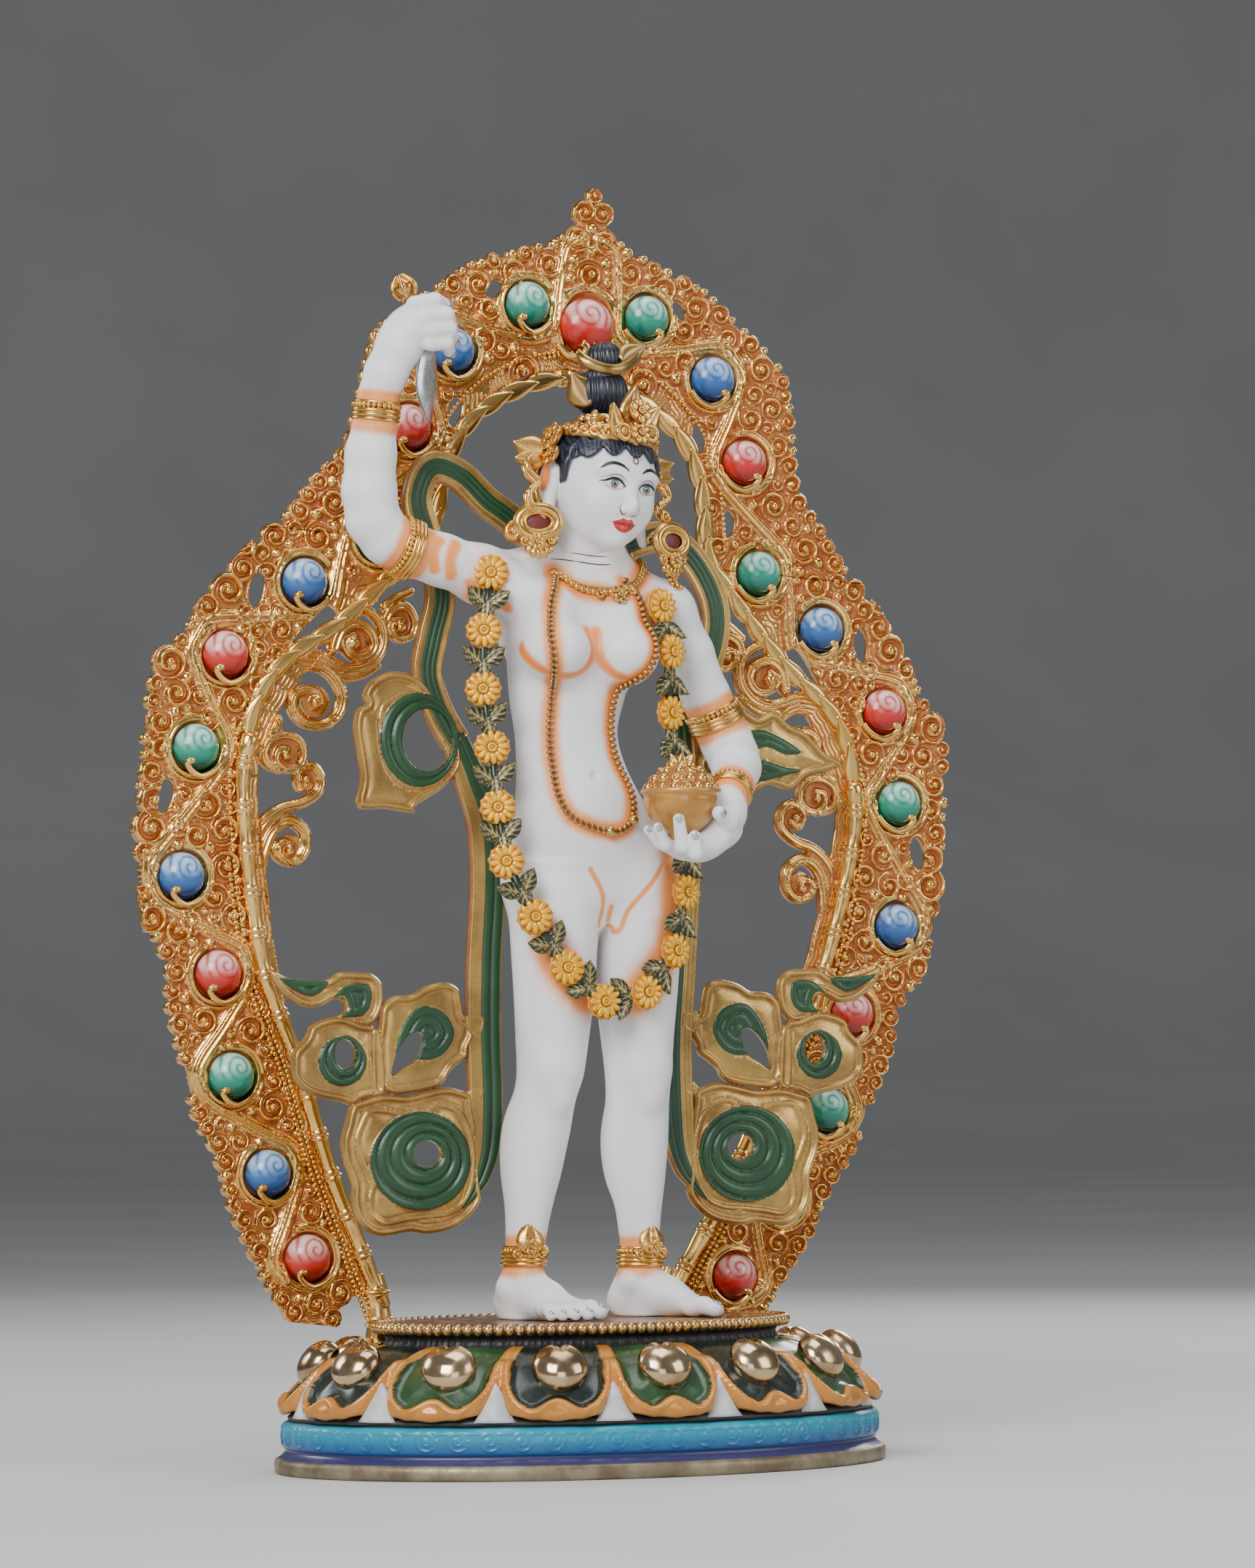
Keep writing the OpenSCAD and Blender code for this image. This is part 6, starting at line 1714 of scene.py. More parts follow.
def ribbon(name, cl, width, replaces, side=0, green=(-0.25, 0.85), y0=16.0, wav=0.0, taper=None, lines=3, curl=None):
    """A grooved strap along (x, z) points; the gold border lies on the chosen side."""
    P = resample(catmull(A(cl, float), 8), 0.9)
    T = np.gradient(P, axis=0)
    T /= np.linalg.norm(T, axis=1, keepdims=True)
    N = np.stack([T[:, 1], -T[:, 0]], 1)
    m = len(P)
    k = np.linspace(0, 1, m)
    W = np.interp(k, [t[0] for t in taper], [t[1] for t in taper]) * width / 2 if taper else np.full(m, width / 2)
    nc = 33
    q = np.linspace(-1, 1, nc)
    V, G, C = [], [], []
    s_arc = np.arange(m) * 0.9
    for i in range(m):
        g0, g1 = green
        inn = (q > g0) & (q < g1)
        w = (q - g0) / (g1 - g0) * lines % 1.0
        band = 0.75 + 0.75 * np.sqrt(np.clip(1 - (w * 2 - 1) ** 2, 0, 1))
        out = 1.25 + 0.55 * np.exp(-((np.abs(q) - 0.9) / 0.09) ** 2) - 0.3 * np.exp(-((q - (g0 - 0.1)) / 0.06) ** 2)
        hh = np.where(inn, band, out)
        hh = hh * np.sqrt(np.clip(1 - (np.abs(q) ** 9), 0.02, 1))
        if curl is not None:
            hh = hh + curl * q
        wv = wav * math.sin(s_arc[i] / 5.2) * (0.5 - 0.5 * math.cos(2 * math.pi * min(1, k[i] * 4)))
        X_ = P[i, 0] + N[i, 0] * (q * W[i] + wv)
        Z_ = P[i, 1] + N[i, 1] * (q * W[i] + wv)
        V.append(np.stack([X_, np.full(nc, y0) - hh, Z_], 1))
        G.append(sstep(g0 - 0.03, g0 + 0.03, q) * (1 - sstep(g1 - 0.03, g1 + 0.03, q)))
        C.append(np.clip((1.35 - hh) * 0.75, 0, 1))
        V.append(np.stack([X_, np.full(nc, y0 + 1.5), Z_], 1))
        G.append(np.zeros(nc))
        C.append(np.full(nc, 0.3))
    V = np.concatenate(V)
    F = []
    st = 2 * nc
    for i in range(m - 1):
        a, b = i * st, (i + 1) * st
        for j in range(nc - 1):
            F.append((a + j, a + j + 1, b + j + 1, b + j))
            F.append((a + nc + j + 1, a + nc + j, b + nc + j, b + nc + j + 1))
        F.append((a + nc, a, b, b + nc))
        F.append((a + nc - 1, a + 2 * nc - 1, b + 2 * nc - 1, b + nc - 1))
    F.append(tuple(range(0, nc)) + tuple(range(2 * nc - 1, nc - 1, -1)))
    e = (m - 1) * st
    F.append((tuple(range(e, e + nc)) + tuple(range(e + 2 * nc - 1, e + nc - 1, -1)))[::-1])
    return mesh(name, V, F, m_scarf, STATUE, replaces, {"cav": np.concatenate(C), "green": np.concatenate(G)})


LSH = [(-8, 304), (-22, 314), (-34, 324), (-44, 326), (-49, 316), (-46, 304), (-42, 294), (-41, 282), (-44, 270), (-46, 258), (-42, 246), (-36, 236)]
RSH = [(26, 302), (38, 306), (49, 300), (57, 288), (59, 276), (55, 262), (48, 254), (40, 250)]
LFA = [(-37, 238), (-31, 224), (-26, 210), (-25, 190), (-26.5, 165), (-27, 140), (-26.5, 120), (-27.5, 102), (-32, 90), (-36, 84)]
RFA = [(47, 251), (48, 220), (46, 190), (44, 160), (42.5, 140), (42.5, 120), (44, 102), (49, 91), (53, 85)]
ribbon("ribbon_left_shoulder", LSH, 10.5, ["scarf_left_shoulder"], green=(-0.5, 0.5), lines=3, wav=0.5)
ribbon("ribbon_right_shoulder", RSH, 10.5, ["scarf_right_shoulder"], green=(-0.5, 0.5), lines=3, wav=0.5)
ribbon("ribbon_left_fall", LFA, 12.4, ["scarf_left_fall"], green=(-0.85, 0.22), lines=2, taper=[(0, 0.75), (0.15, 1), (0.82, 1), (0.93, 0.75), (1, 0.12)])
ribbon("ribbon_right_fall", RFA, 12.0, ["scarf_right_fall"], green=(-0.22, 0.85), lines=2, taper=[(0, 0.75), (0.15, 1), (0.82, 1), (0.93, 0.75), (1, 0.12)])
# loop with folded leaf on the left, leaf at the right elbow
s = Sheet(-80, -28, 206, 266, 0.34)
LT = lambda pts: [(-72 + (a - 895) * 0.104, 259 - (b - 615) * 0.1034) for a, b in pts]
s.gold(LT([(893, 800), (905, 740), (935, 720), (925, 690), (955, 645), (1020, 617), (1080, 622), (1130, 650), (1170, 700), (1215, 745), (1245, 790), (1250, 860), (1250, 920), (1190, 985), (1100, 1040), (1095, 1062), (1000, 1050), (905, 1045), (915, 960), (905, 880)]))
s.gold(LT([(975, 740), (1010, 700), (1080, 672), (1130, 690), (1190, 740), (1228, 800), (1240, 880), (1215, 940), (1150, 985), (1060, 985), (1000, 930), (975, 850)]), 0.25, 0.8, 0.3)
s.ring(LT([(1140, 832)])[0], (9.0, 10.2), LT([(1108, 832)])[0], (13.6, 15.4), 2)
s.make("ribbon_left_loop", m_scarf, ["scarf_left_loop"], "scarf_paint", 15.6)
s = Sheet(46, 108, 212, 254, 0.34)
s.gold([(50, 228), (55, 238), (60, 244), (66, 248), (72, 245.5), (78, 247.5), (84, 243), (90, 240.5), (97, 234), (104, 230.5), (97, 227.5), (90, 226), (84, 221.5), (76, 223), (68, 219.5), (61, 221)])
s.green([(60, 229), (64, 238), (72, 241.5), (81, 238.5), (88, 234), (82, 233), (74, 235.5), (67, 231)], 3.0)
s.green([(66, 226), (73, 231), (82, 229), (88, 228), (80, 225.5), (72, 224)], 3.0)
s.make("ribbon_elbow_leaf", m_scarf, ["scarf_elbow_end"], "scarf_paint", 12.0)

def torus_ring(R0, r, n=32, m=10):
    q = np.arange(n) * 2 * math.pi / n
    p = np.arange(m) * 2 * math.pi / m
    Q_, P_ = np.meshgrid(q, p, indexing="ij")
    V = np.stack([(R0 + r * np.cos(P_)) * np.cos(Q_), (R0 + r * np.cos(P_)) * np.sin(Q_), r * np.sin(P_)], -1).reshape(-1, 3)
    F = [(i * m + j, ((i + 1) % n) * m + j, ((i + 1) % n) * m + (j + 1) % m, i * m + (j + 1) % m) for i in range(n) for j in range(m)]
    return V, F


# remaining plain parts: base plate, tangs, sockets, tenons
m_aged = gilt("aged_brass_plain", (0.42, 0.32, 0.18), (0.16, 0.10, 0.06), 0.3, 0.8, (0.4, 0.55), cav="none")
for nm in ("base_sealing_plate", "foot_tangs", "aureole_sockets"):
    for o in bpy.data.objects:
        if o.name == nm and o.type == "MESH":
            o.data.materials.clear()
            o.data.materials.append(m_aged)
ten = Bag()
for sx in (-1, 1):
    P = A([(sx * 52, 46.2, 23.7), (sx * 52, 46.2, 37.0), (sx * 52, 46.2, 38.4), (sx * 52, 46.2, 42), (sx * 52.2, 46.3, 48), (sx * 52.8, 46.4, 54), (sx * 53.6, 46.2, 59), (sx * 54.2, 46.0, 61.5)])
    P = catmull(P, 5)
    z_ = P[:, 2]
    ra = np.interp(z_, [23, 37.2, 38.6, 41, 46, 52, 57, 62], [3.3, 3.3, 4.6, 5.2, 4.2, 3.7, 4.0, 3.0])
    V, F = tube(P, ra, 24, rb=np.minimum(ra * 0.75, 3.3), ref=(0, 1, 0))
    ten.add(V, F, cav=0.25)
    for zz, rr in ((45.2, 4.5), (47.2, 4.3), (56.0, 4.2)):
        V, F = torus_ring(rr, 0.75, 28, 8)
        ten.add(V * A([1, 0.78, 1]) + A([sx * (52 + (zz - 45) * 0.1), 46.2, zz]), F, cav=0.1)
ten.make("aureole_feet_rounded", m_stem, AUREOLE, ["aureole_tenons"], "polished_gilt")


# ------------------------------------------------------------------ small ornaments used everywhere
def frame_of(nrm, up=(0, 0, 1.0)):
    n = unit(nrm)
    x = unit(np.cross(A(up, float), n))
    y = np.cross(n, x)
    return np.stack([x, y, n], 1)          # columns: right, up, outward


def torus(R0, r, n=32, m=10, sq=1.0, el=1.0):
    q = np.arange(n) * 2 * math.pi / n
    p = np.arange(m) * 2 * math.pi / m
    Q, P_ = np.meshgrid(q, p, indexing="ij")
    V = np.stack([(R0 + r * np.cos(P_)) * np.cos(Q), (R0 * el + r * np.cos(P_)) * np.sin(Q), r * sq * np.sin(P_)], -1).reshape(-1, 3)
    F = [(i * m + j, ((i + 1) % n) * m + j, ((i + 1) % n) * m + (j + 1) % m, i * m + (j + 1) % m) for i in range(n) for j in range(m)]
    return V, F


def put(bag, V, F, R, c, **at):
    bag.add(V @ R.T + A(c, float), F, **at)


def rosette(bag, c, R, r, n=6, base=None, petal=None, core=None, lift=1.0, two=False):
    at = lambda k, N: {} if base is None else {"tint": np.tile(np.r_[k[0], 1.0], (N, 1)), "met": np.full(N, float(k[1]))}
    V, F = ball(1.0, 18, 7)
    put(bag, V * A([r * 0.86, r * 0.86, r * 0.22]), F, R, c, **(at(base, len(V)) if base else {"cav": 0.7}))
    for i in range(n):
        q = 2 * math.pi * (i + 0.5) / n
        V, F = ball(1.0, 10, 7)
        wt = min(0.34, 2.2 / n) * r
        V = V * A([r * 0.36, wt, r * 0.2])
        V = V + A([0, 0, 0.0]) + np.outer((V[:, 0] / r) ** 2, [0, 0, 0.9 * r])
        cr = np.exp(-(V[:, 1] / (0.22 * wt)) ** 2)
        V[:, 2] -= 0.05 * r * cr
        Rz = rotz(math.degrees(q))
        V = (V + A([r * 0.62, 0, r * 0.17])) @ Rz.T
        put(bag, V, F, R, c, **(at(petal, len(V)) if base else {"cav": 0.12 + 0.3 * cr}))
    V, F = torus(r * 0.2, r * 0.085, 18, 8)
    put(bag, V + A([0, 0, r * 0.34]), F, R, c, **(at(core or petal, len(V)) if base else {"cav": 0.05}))
    V, F = ball(r * 0.14, 10, 6)
    put(bag, V + A([0, 0, r * 0.28]), F, R, c, **(at(base, len(V)) if base else {"cav": 0.5}))


def curl(bag, c, R, r, dr=1, w=0.3, a0=0.0, turns=1.5, h=0.35):
    n = 34
    t = np.linspace(0, 1, n)
    a = math.radians(a0) + dr * t * turns * 2 * math.pi
    rr = r * (1 - w * 0.9) * (1 - 0.80 * t)
    P = np.stack([rr * np.cos(a), rr * np.sin(a), r * h * t], 1)
    V, F = tube(P, r * w * (1 - 0.45 * t), 8, ref=(0, 0, 1))
    put(bag, V, F, R, c, cav=0.1)
    V, F = ball(r * 0.24, 10, 7, c=(0, 0, r * h * 1.1))
    put(bag, V, F, R, c, cav=0.05)
    V, F = ball(1.0, 16, 6, sc=(r * 0.86, r * 0.86, r * 0.22))
    put(bag, V, F, R, c, cav=0.75)


def leaf_mesh(L, W, th=0.9, bend=0.0, n=13, m=9, vein=0.35):
    V, K = [], []
    for i in range(n):
        f = i / (n - 1)
        w = W * max(0.04, math.sin(math.pi * min(1, 0.08 + 0.92 * f) ** 0.85)) ** 0.8
        for j in range(m):
            q = -1 + 2 * j / (m - 1)
            z = th * (1 - abs(q) ** 2) + bend * f * f - vein * math.exp(-(q / 0.16) ** 2)
            V.append((q * w, f * L, z))
            K.append((f, q))
    F = [(i * m + j, i * m + j + 1, (i + 1) * m + j + 1, (i + 1) * m + j) for i in range(n - 1) for j in range(m - 1)]
    n0 = len(V)
    V += [(x, y, bend * (y / L) ** 2 - 0.5) for x, y, z in V]
    K += K[:]
    F += [tuple(n0 + t for t in reversed(f)) for f in F[:]]
    rim = list(range(m)) + [a * m + m - 1 for a in range(1, n)] + [(n - 1) * m + b for b in range(m - 2, -1, -1)] + [a * m for a in range(n - 2, 0, -1)]
    for t in range(len(rim)):
        a_, b_ = rim[t], rim[(t + 1) % len(rim)]
        F.append((b_, a_, a_ + n0, b_ + n0))
    return A(V), F, A(K)


m_orn = gilt("ornament_gilt", (0.84, 0.56, 0.20), (0.34, 0.13, 0.035), 0.2, 0.75, (0.24, 0.45), copper=(0.66, 0.40, 0.16))
m_paintmix = tint_mat("flower_leaf_paint", 0.32, 0.25, True, 0.14, 300, 0.25)

# ------------------------------------------------------------------ head
HC = A([8.0, -3.0, 321.0])
HR = rotz(12) @ roty(7.0) @ rotx(7.0)
toW = lambda P: A(P, float) @ HR.T + HC
hv = Vol((-26, -27, -30), (26, 27, 26), 0.42)
hv.egg((0, 1.0, 2.6), (17.6, 20.0, 18.0))
hv.egg((0, -4.6, -5.6), (14.4, 14.0, 14.6), k=6)
hv.egg((0, -6.6, -12.2), (11.0, 9.6, 8.6), k=5)
hv.egg((0, -12.6, -18.0), (4.4, 3.9, 3.2), k=3.5)
for sx in (-1, 1):
    hv.egg((sx * 7.4, -11.6, -7.4), (5.4, 5.2, 5.4), k=4)
    hv.egg((sx * 6.4, -15.0, 3.4), (6.0, 2.8, 1.9), k=3)
    hv.egg((sx * 6.7, -19.8, -0.7), (4.3, 2.6, 2.3), k=2.0, op="s")
    hv.egg((sx * 6.5, -14.7, -0.8), (3.9, 3.0, 2.3), k=0.7)
    lid = [(sx * x, -17.3 + 0.05 * (x - 6.3) ** 2, -0.8 + 1.75 * math.sqrt(max(0, 1 - ((x - 6.5) / 4.1) ** 2))) for x in (2.8, 3.8, 5.0, 6.5, 8.0, 9.2, 10.3)]
    hv.chain(lid, [0.25, 0.42, 0.5, 0.5, 0.48, 0.42, 0.25], 0.5)
    hv.egg((sx * 2.2, -18.5, -8.6), (1.45, 1.7, 1.25), k=1.1)
    # ear with a long lobe
    hv.egg((sx * 18.0, 2.6, -2.0), (2.4, 4.8, 8.2), k=1.2)
    hv.egg((sx * 20.6, 1.8, -1.6), (1.5, 2.4, 5.4), k=0.8, op="s")
    hv.chain([(sx * 18.0, 1.4, -8), (sx * 18.6, -0.6, -13), (sx * 19.4, -2.6, -17.0)], [2.3, 1.8, 1.5], 1.2)
hv.chain([(0, -16.6, 2.2), (0, -18.6, -2.4), (0, -20.4, -6.4), (0, -20.6, -7.9)], [0.9, 1.2, 1.65, 1.7], 1.6)
hv.egg((0, -19.0, -9.2), (1.4, 1.6, 0.9), k=0.8)
for sx in (-1, 1):
    hv.egg((sx * 1.35, -19.6, -9.9), (0.6, 0.9, 0.45), k=0.25, op="s")
hv.chain([(-3.9, -16.3, -12.9), (-1.5, -17.9, -12.1), (0, -17.9, -12.45), (1.5, -17.9, -12.1), (3.9, -16.3, -12.9)], [0.4, 0.95, 0.85, 0.95, 0.4], 0.55)
hv.chain([(-3.1, -16.5, -13.9), (0, -17.75, -14.5), (3.1, -16.5, -13.9)], [0.45, 1.2, 0.45], 0.6)
hv.chain([(-4.2, -17.2, -13.05), (-1.5, -19.0, -13.2), (0, -19.1, -13.35), (1.5, -19.0, -13.2), (4.2, -17.2, -13.05)], [0.22, 0.28, 0.28, 0.28, 0.22], 0.25, op="s")
hv.chain([(0, 1.0, -12), (-0.8, 2.6, -20), (-1.6, 4.4, -28.5)], [9.0, 8.6, 9.2], 4)
fV, fT, fQ = hv.poly(0.0)
fV = fV.copy()
_bv = [tuple(v) for v in fV]
FB = BVHTree.FromPolygons(_bv, [tuple(int(i) for i in f) for f in fT] + [tuple(int(i) for i in f) for f in fQ])
warm = np.zeros(len(fV))
# cavity of the face: the skin material paints shade into its recesses with it
cavh = hv.cavity(fV, 1.2)
blush = sum(np.exp(-(((fV[:, 0] - sx * 9.5) / 4.2) ** 2 + ((fV[:, 1] + 12) / 6) ** 2 + ((fV[:, 2] + 7.5) / 3.6) ** 2)) for sx in (-1, 1)) * 0.18
mesh("face_and_neck", toW(fV), [fT, fQ], SKIN, STATUE, ["head"], {"warm": warm + blush, "cav": cavh * 0.6})

# painted features lie a tenth of a millimetre proud of the surface
paintb = Bag()


def drop(x, z, lift=0.10, sidew=None):
    """Land (x, z) on the face from the front, or from a side."""
    o, d = (Vector((x, -60, z)), Vector((0, 1, 0))) if sidew is None else (Vector((sidew * 60, x, z)), Vector((-sidew, 0, 0)))
    h, n, _, _ = FB.ray_cast(o, d)
    if h is None:
        return A([x, -15, z])
    n = n if n.dot(d) < 0 else -n
    return A(h) + A(n) * lift


def brush(pts, w, color, lift=0.10, step=0.35, sidew=None, nw=3):
    P = resample(catmull(A([(a, b) for a, b in pts], float), 8), step)
    T = np.gradient(P, axis=0)
    T /= np.maximum(np.linalg.norm(T, axis=1, keepdims=True), 1e-9)
    N = np.stack([-T[:, 1], T[:, 0]], 1)
    k = np.linspace(0, 1, len(P))
    W = np.interp(k, np.linspace(0, 1, len(w)), w)
    V, F = [], []
    for p, n_, ww in zip(P, N, W):
        for j in range(nw):
            q = -1 + 2 * j / (nw - 1)
            V.append(drop(p[0] + n_[0] * ww * q, p[1] + n_[1] * ww * q, lift, sidew))
    for i in range(len(P) - 1):
        for j in range(nw - 1):
            a = i * nw + j
            F.append((a, a + 1, a + nw + 1, a + nw))
    V = A(V)
    paintb.add(toW(V), F, tint=np.tile(np.r_[color, 1.0], (len(V), 1)))


def patch(outline, color, lift=0.10, rings=6, sidew=None, cen=None):
    O = A(outline, float)
    c = O.mean(0) if cen is None else A(cen, float)
    n = len(O)
    V = [drop(c[0], c[1], lift, sidew)]
    for k in range(1, rings + 1):
        for p in O:
            q = c + (p - c) * k / rings
            V.append(drop(q[0], q[1], lift, sidew))
    F = [(0, 1 + i, 1 + (i + 1) % n) for i in range(n)]
    for k in range(rings - 1):
        for i in range(n):
            a, b = 1 + k * n + i, 1 + k * n + (i + 1) % n
            F.append((a, a + n, b + n, b))
    V = A(V)
    paintb.add(toW(V), F, tint=np.tile(np.r_[color, 1.0], (len(V), 1)))


def oval(cx, cz, a, b, n=30):
    q = np.arange(n) * 2 * math.pi / n
    return np.stack([cx + a * np.cos(q), cz + b * np.sin(q)], 1)


INK = (0.012, 0.012, 0.014)
for sx in (-1, 1):
    m_ = lambda pts: [(sx * a, b) for a, b in pts]
    patch(m_([(2.7, -1.1), (3.6, -0.1), (5.0, 0.65), (6.6, 0.85), (8.2, 0.5), (9.5, -0.2), (10.4, -0.9), (9.0, -1.6), (7.2, -2.2), (5.4, -2.2), (3.8, -1.8)]), (0.78, 0.76, 0.72), 0.06)
    patch(oval(sx * 6.5, -0.75, 1.5, 1.42), (0.05, 0.16, 0.30), 0.12)
    patch(oval(sx * 6.5, -0.75, 0.92, 0.9), (0.45, 0.28, 0.05), 0.16)
    patch(oval(sx * 6.5, -0.75, 0.60, 0.60), INK, 0.20)
    # small white dot on each iris: a painted highlight (glint)
    patch(oval(sx * 6.0, -0.3, 0.22, 0.22, 12), (0.9, 0.9, 0.9), 0.24, 2)
    brush(m_([(2.5, -1.3), (3.6, -0.05), (5.0, 0.8), (6.6, 1.05), (8.2, 0.75), (9.7, 0.0), (11.3, -0.6)]), [0.14, 0.32, 0.44, 0.46, 0.42, 0.3, 0.08], INK, 0.2)
    brush(m_([(3.2, -1.6), (4.6, -2.2), (6.4, -2.5), (8.4, -2.1), (10.2, -1.2)]), [0.08, 0.16, 0.18, 0.16, 0.06], (0.75, 0.22, 0.06), 0.14)
    brush(m_([(3.0, 0.9), (5.0, 2.1), (7.2, 2.3), (9.4, 1.4), (11.2, 0.4)]), [0.04, 0.12, 0.14, 0.12, 0.04], (0.22, 0.05, 0.05), 0.12)
    patch(oval(sx * 3.15, -1.15, 0.5, 0.35, 12), (0.72, 0.10, 0.05), 0.15, 2)
    brush(m_([(2.6, 4.0), (4.6, 5.3), (7.2, 5.9), (9.8, 5.2), (12.2, 3.4)]), [0.2, 0.5, 0.56, 0.42, 0.1], INK, 0.14)
    brush(m_([(1.0, -9.9), (1.9, -10.2), (3.1, -9.6), (3.9, -8.2), (3.3, -7.0)]), [0.05, 0.13, 0.13, 0.12, 0.03], (0.10, 0.03, 0.03), 0.12)
    patch(oval(3.0, -2.0, 1.75, 4.6, 26), (0.90, 0.26, 0.05), 0.14, 5, sidew=sx)
lips = [(-4.3, -13.0), (-3.0, -12.1), (-1.6, -11.35), (-0.6, -11.5), (0, -11.75), (0.6, -11.5), (1.6, -11.35), (3.0, -12.1), (4.3, -13.0), (3.2, -14.5), (1.7, -15.5), (0, -15.8), (-1.7, -15.5), (-3.2, -14.5)]
patch(resample(catmull(A(lips), 4, True), 0.5, True), (0.55, 0.022, 0.02), 0.09, 10)
brush([(-4.9, -12.7), (-3.2, -13.05), (-1.4, -13.05), (0, -13.35), (1.4, -13.05), (3.2, -13.05), (4.9, -12.7)], [0.10, 0.12, 0.13, 0.13, 0.13, 0.12, 0.10], (0.09, 0.005, 0.006), 0.14)
tear = [(0, 10.4), (0.45, 9.2), (0.95, 8.1), (0.75, 7.2), (0, 6.85), (-0.75, 7.2), (-0.95, 8.1), (-0.45, 9.2), (0, 10.4)]
brush(tear, [0.16, 0.24, 0.24, 0.16], (0.12, 0.02, 0.02), 0.14)



def neck_hit(q, z):
    R_ = np.arange(20.0, 4.0, -0.1)
    P = np.stack([6.8 + R_ * math.cos(q), 0.6 - R_ * math.sin(q), z + 0 * R_], 1)
    L = (P - HC) @ HR
    ins = (bv.at(P) < 0) | ((hv.at(L) < 0) & (L[:, 2] > -25.5))
    return P[int(np.argmax(ins))]


for z0, q0, q1, r_ in ((298.6, 0.44, 0.86, 0.20), (296.0, 0.36, 0.95, 0.24)):
    P = A([neck_hit(math.pi * q, z0 - 2.4 * math.sin(math.pi * q)) for q in np.linspace(q0, q1, 40)])
    for _ in range(3):
        P[1:-1] = (P[:-2] + 2 * P[1:-1] + P[2:]) / 4
    V, F = tube(P, r_ * np.sqrt(np.clip(1 - np.linspace(-1, 1, len(P)) ** 4, 0.1, 1)), 8)
    paintb.add(V, F, tint=np.tile(np.r_[0.14, 0.02, 0.03, 1.0], (len(V), 1)))
for zz, x0_, x1_ in ():
    brush([(lerp(x0_, x1_, t), zz - 1.5 * math.sin(math.pi * t) - 0.6 * t) for t in np.linspace(0, 1, 7)], [0.06, 0.22, 0.22, 0.06], (0.14, 0.02, 0.03), 0.2)
m_face = tint_mat("face_paint", 0.34, 0.2, False, 0.04, 300, 0.0)
paintb.make("face_painting", m_face, STATUE, [], "white_skin_paint")

# hair: cap, swags over the forehead, back hair, combed topknot
hh = Vol((-27, -28, -30), (27, 30, 30), 0.45)
hh.egg((0, 2.0, 3.6), (18.9, 20.9, 18.6))
hh.egg((0, 10.0, -8), (15.6, 9.5, 19), k=5)
hh.put(lambda x, y, z: (z - (13.4 - 0.030 * x * x)) * -1.0 + 0 * y, (-27, -28, -30), (27, -3.5, 30), 1.0, "i")
hh.put(lambda x, y, z: np.maximum(np.maximum(-z - 40, z - 4.0), np.maximum(-3.4 - y + 0 * x, y - 8.0)) * 1.0 + 0 * x, (14, -4, -30), (27, 8, 4), 0.8, "s")
hh.put(lambda x, y, z: np.maximum(np.maximum(-z - 40, z - 4.0), np.maximum(-3.4 - y + 0 * x, y - 8.0)) * 1.0 + 0 * x, (-27, -4, -30), (-14, 8, 4), 0.8, "s")
NL = 7
for j in range(NL):
    ph = -78 + 156 * j / (NL - 1)
    zb = 9.4 - 6.2 * (abs(ph) / 78) ** 2.2
    for s_ in range(5):
        pts = []
        for t in np.linspace(-1, 1, 11):
            a = math.radians(ph + (13.2 + 0.2 * s_) * t)
            z = zb + 1.12 * s_ + 4.4 * abs(t) ** 1.8
            k = math.sqrt(max(0.05, 1 - ((z - 3.0) / 18.8) ** 2))
            pts.append((18.9 * k * math.sin(a), 1.6 - 20.9 * k * math.cos(a), z))
        hh.chain(pts, [0.5] + [0.86] * 9 + [0.5], 0.10, 0.05)
for sx in (-1, 1):               # side locks in front of the ears
    for s_ in range(3):
        hh.chain([(sx * (17.2 - 0.2 * s_), -6.2 + 1.3 * s_, 9), (sx * (18.2 - 0.1 * s_), -5.6 + 1.3 * s_, 3.5), (sx * 17.6, -5.4 + 1.1 * s_, -2.0 - 0.4 * s_)], [1.1, 1.1, 0.45], 0.3)
    for s_ in range(5):          # locks that fall behind the ears
        hh.chain([(sx * (15 - 1.0 * s_), 8 + 1.2 * s_, 0), (sx * (16 - 1.2 * s_), 10 + 1.0 * s_, -12), (sx * (15 - 1.4 * s_), 11 + 0.8 * s_, -24)], [1.9, 2.0, 0.9], 0.4)
kV, kT, kQ = hh.poly(0.01)
m_hair = Mat("hair_navy")
_w = m_hair.n("ShaderNodeTexWave", wave_type="BANDS", bands_direction="X")
m_hair.put(_w.inputs["Vector"], m_hair.obj())
_w.inputs["Scale"].default_value = 230
_w.inputs["Distortion"].default_value = 1.2
_wf = _w.outputs["Fac"]
# painted shade: the hair goes near black where the cavity measure finds recesses
_c = m_hair.attr("cav")
_hc = m_hair.mix(m_hair.ramp(_wf, 0.3, 0.8), (0.006, 0.008, 0.016), (0.020, 0.028, 0.055))
m_hair.b.inputs["Coat Weight"].default_value = 0.3
m_hair.b.inputs["Coat Roughness"].default_value = 0.25
m_hair.set(color=m_hair.mix(m_hair.ramp(_c, 0.25, 0.8), _hc, (0.003, 0.004, 0.008)), rough=0.36, normal=m_hair.bump(m_hair.math("ADD", _wf, m_hair.noise(500, 2)), 0.3, 0.0003))
mesh("hair_combed", toW(kV), [kT, kQ], m_hair.m, STATUE, ["hair_and_topknot"], {"cav": hh.cavity(kV, 0.9)})
buns = Bag()


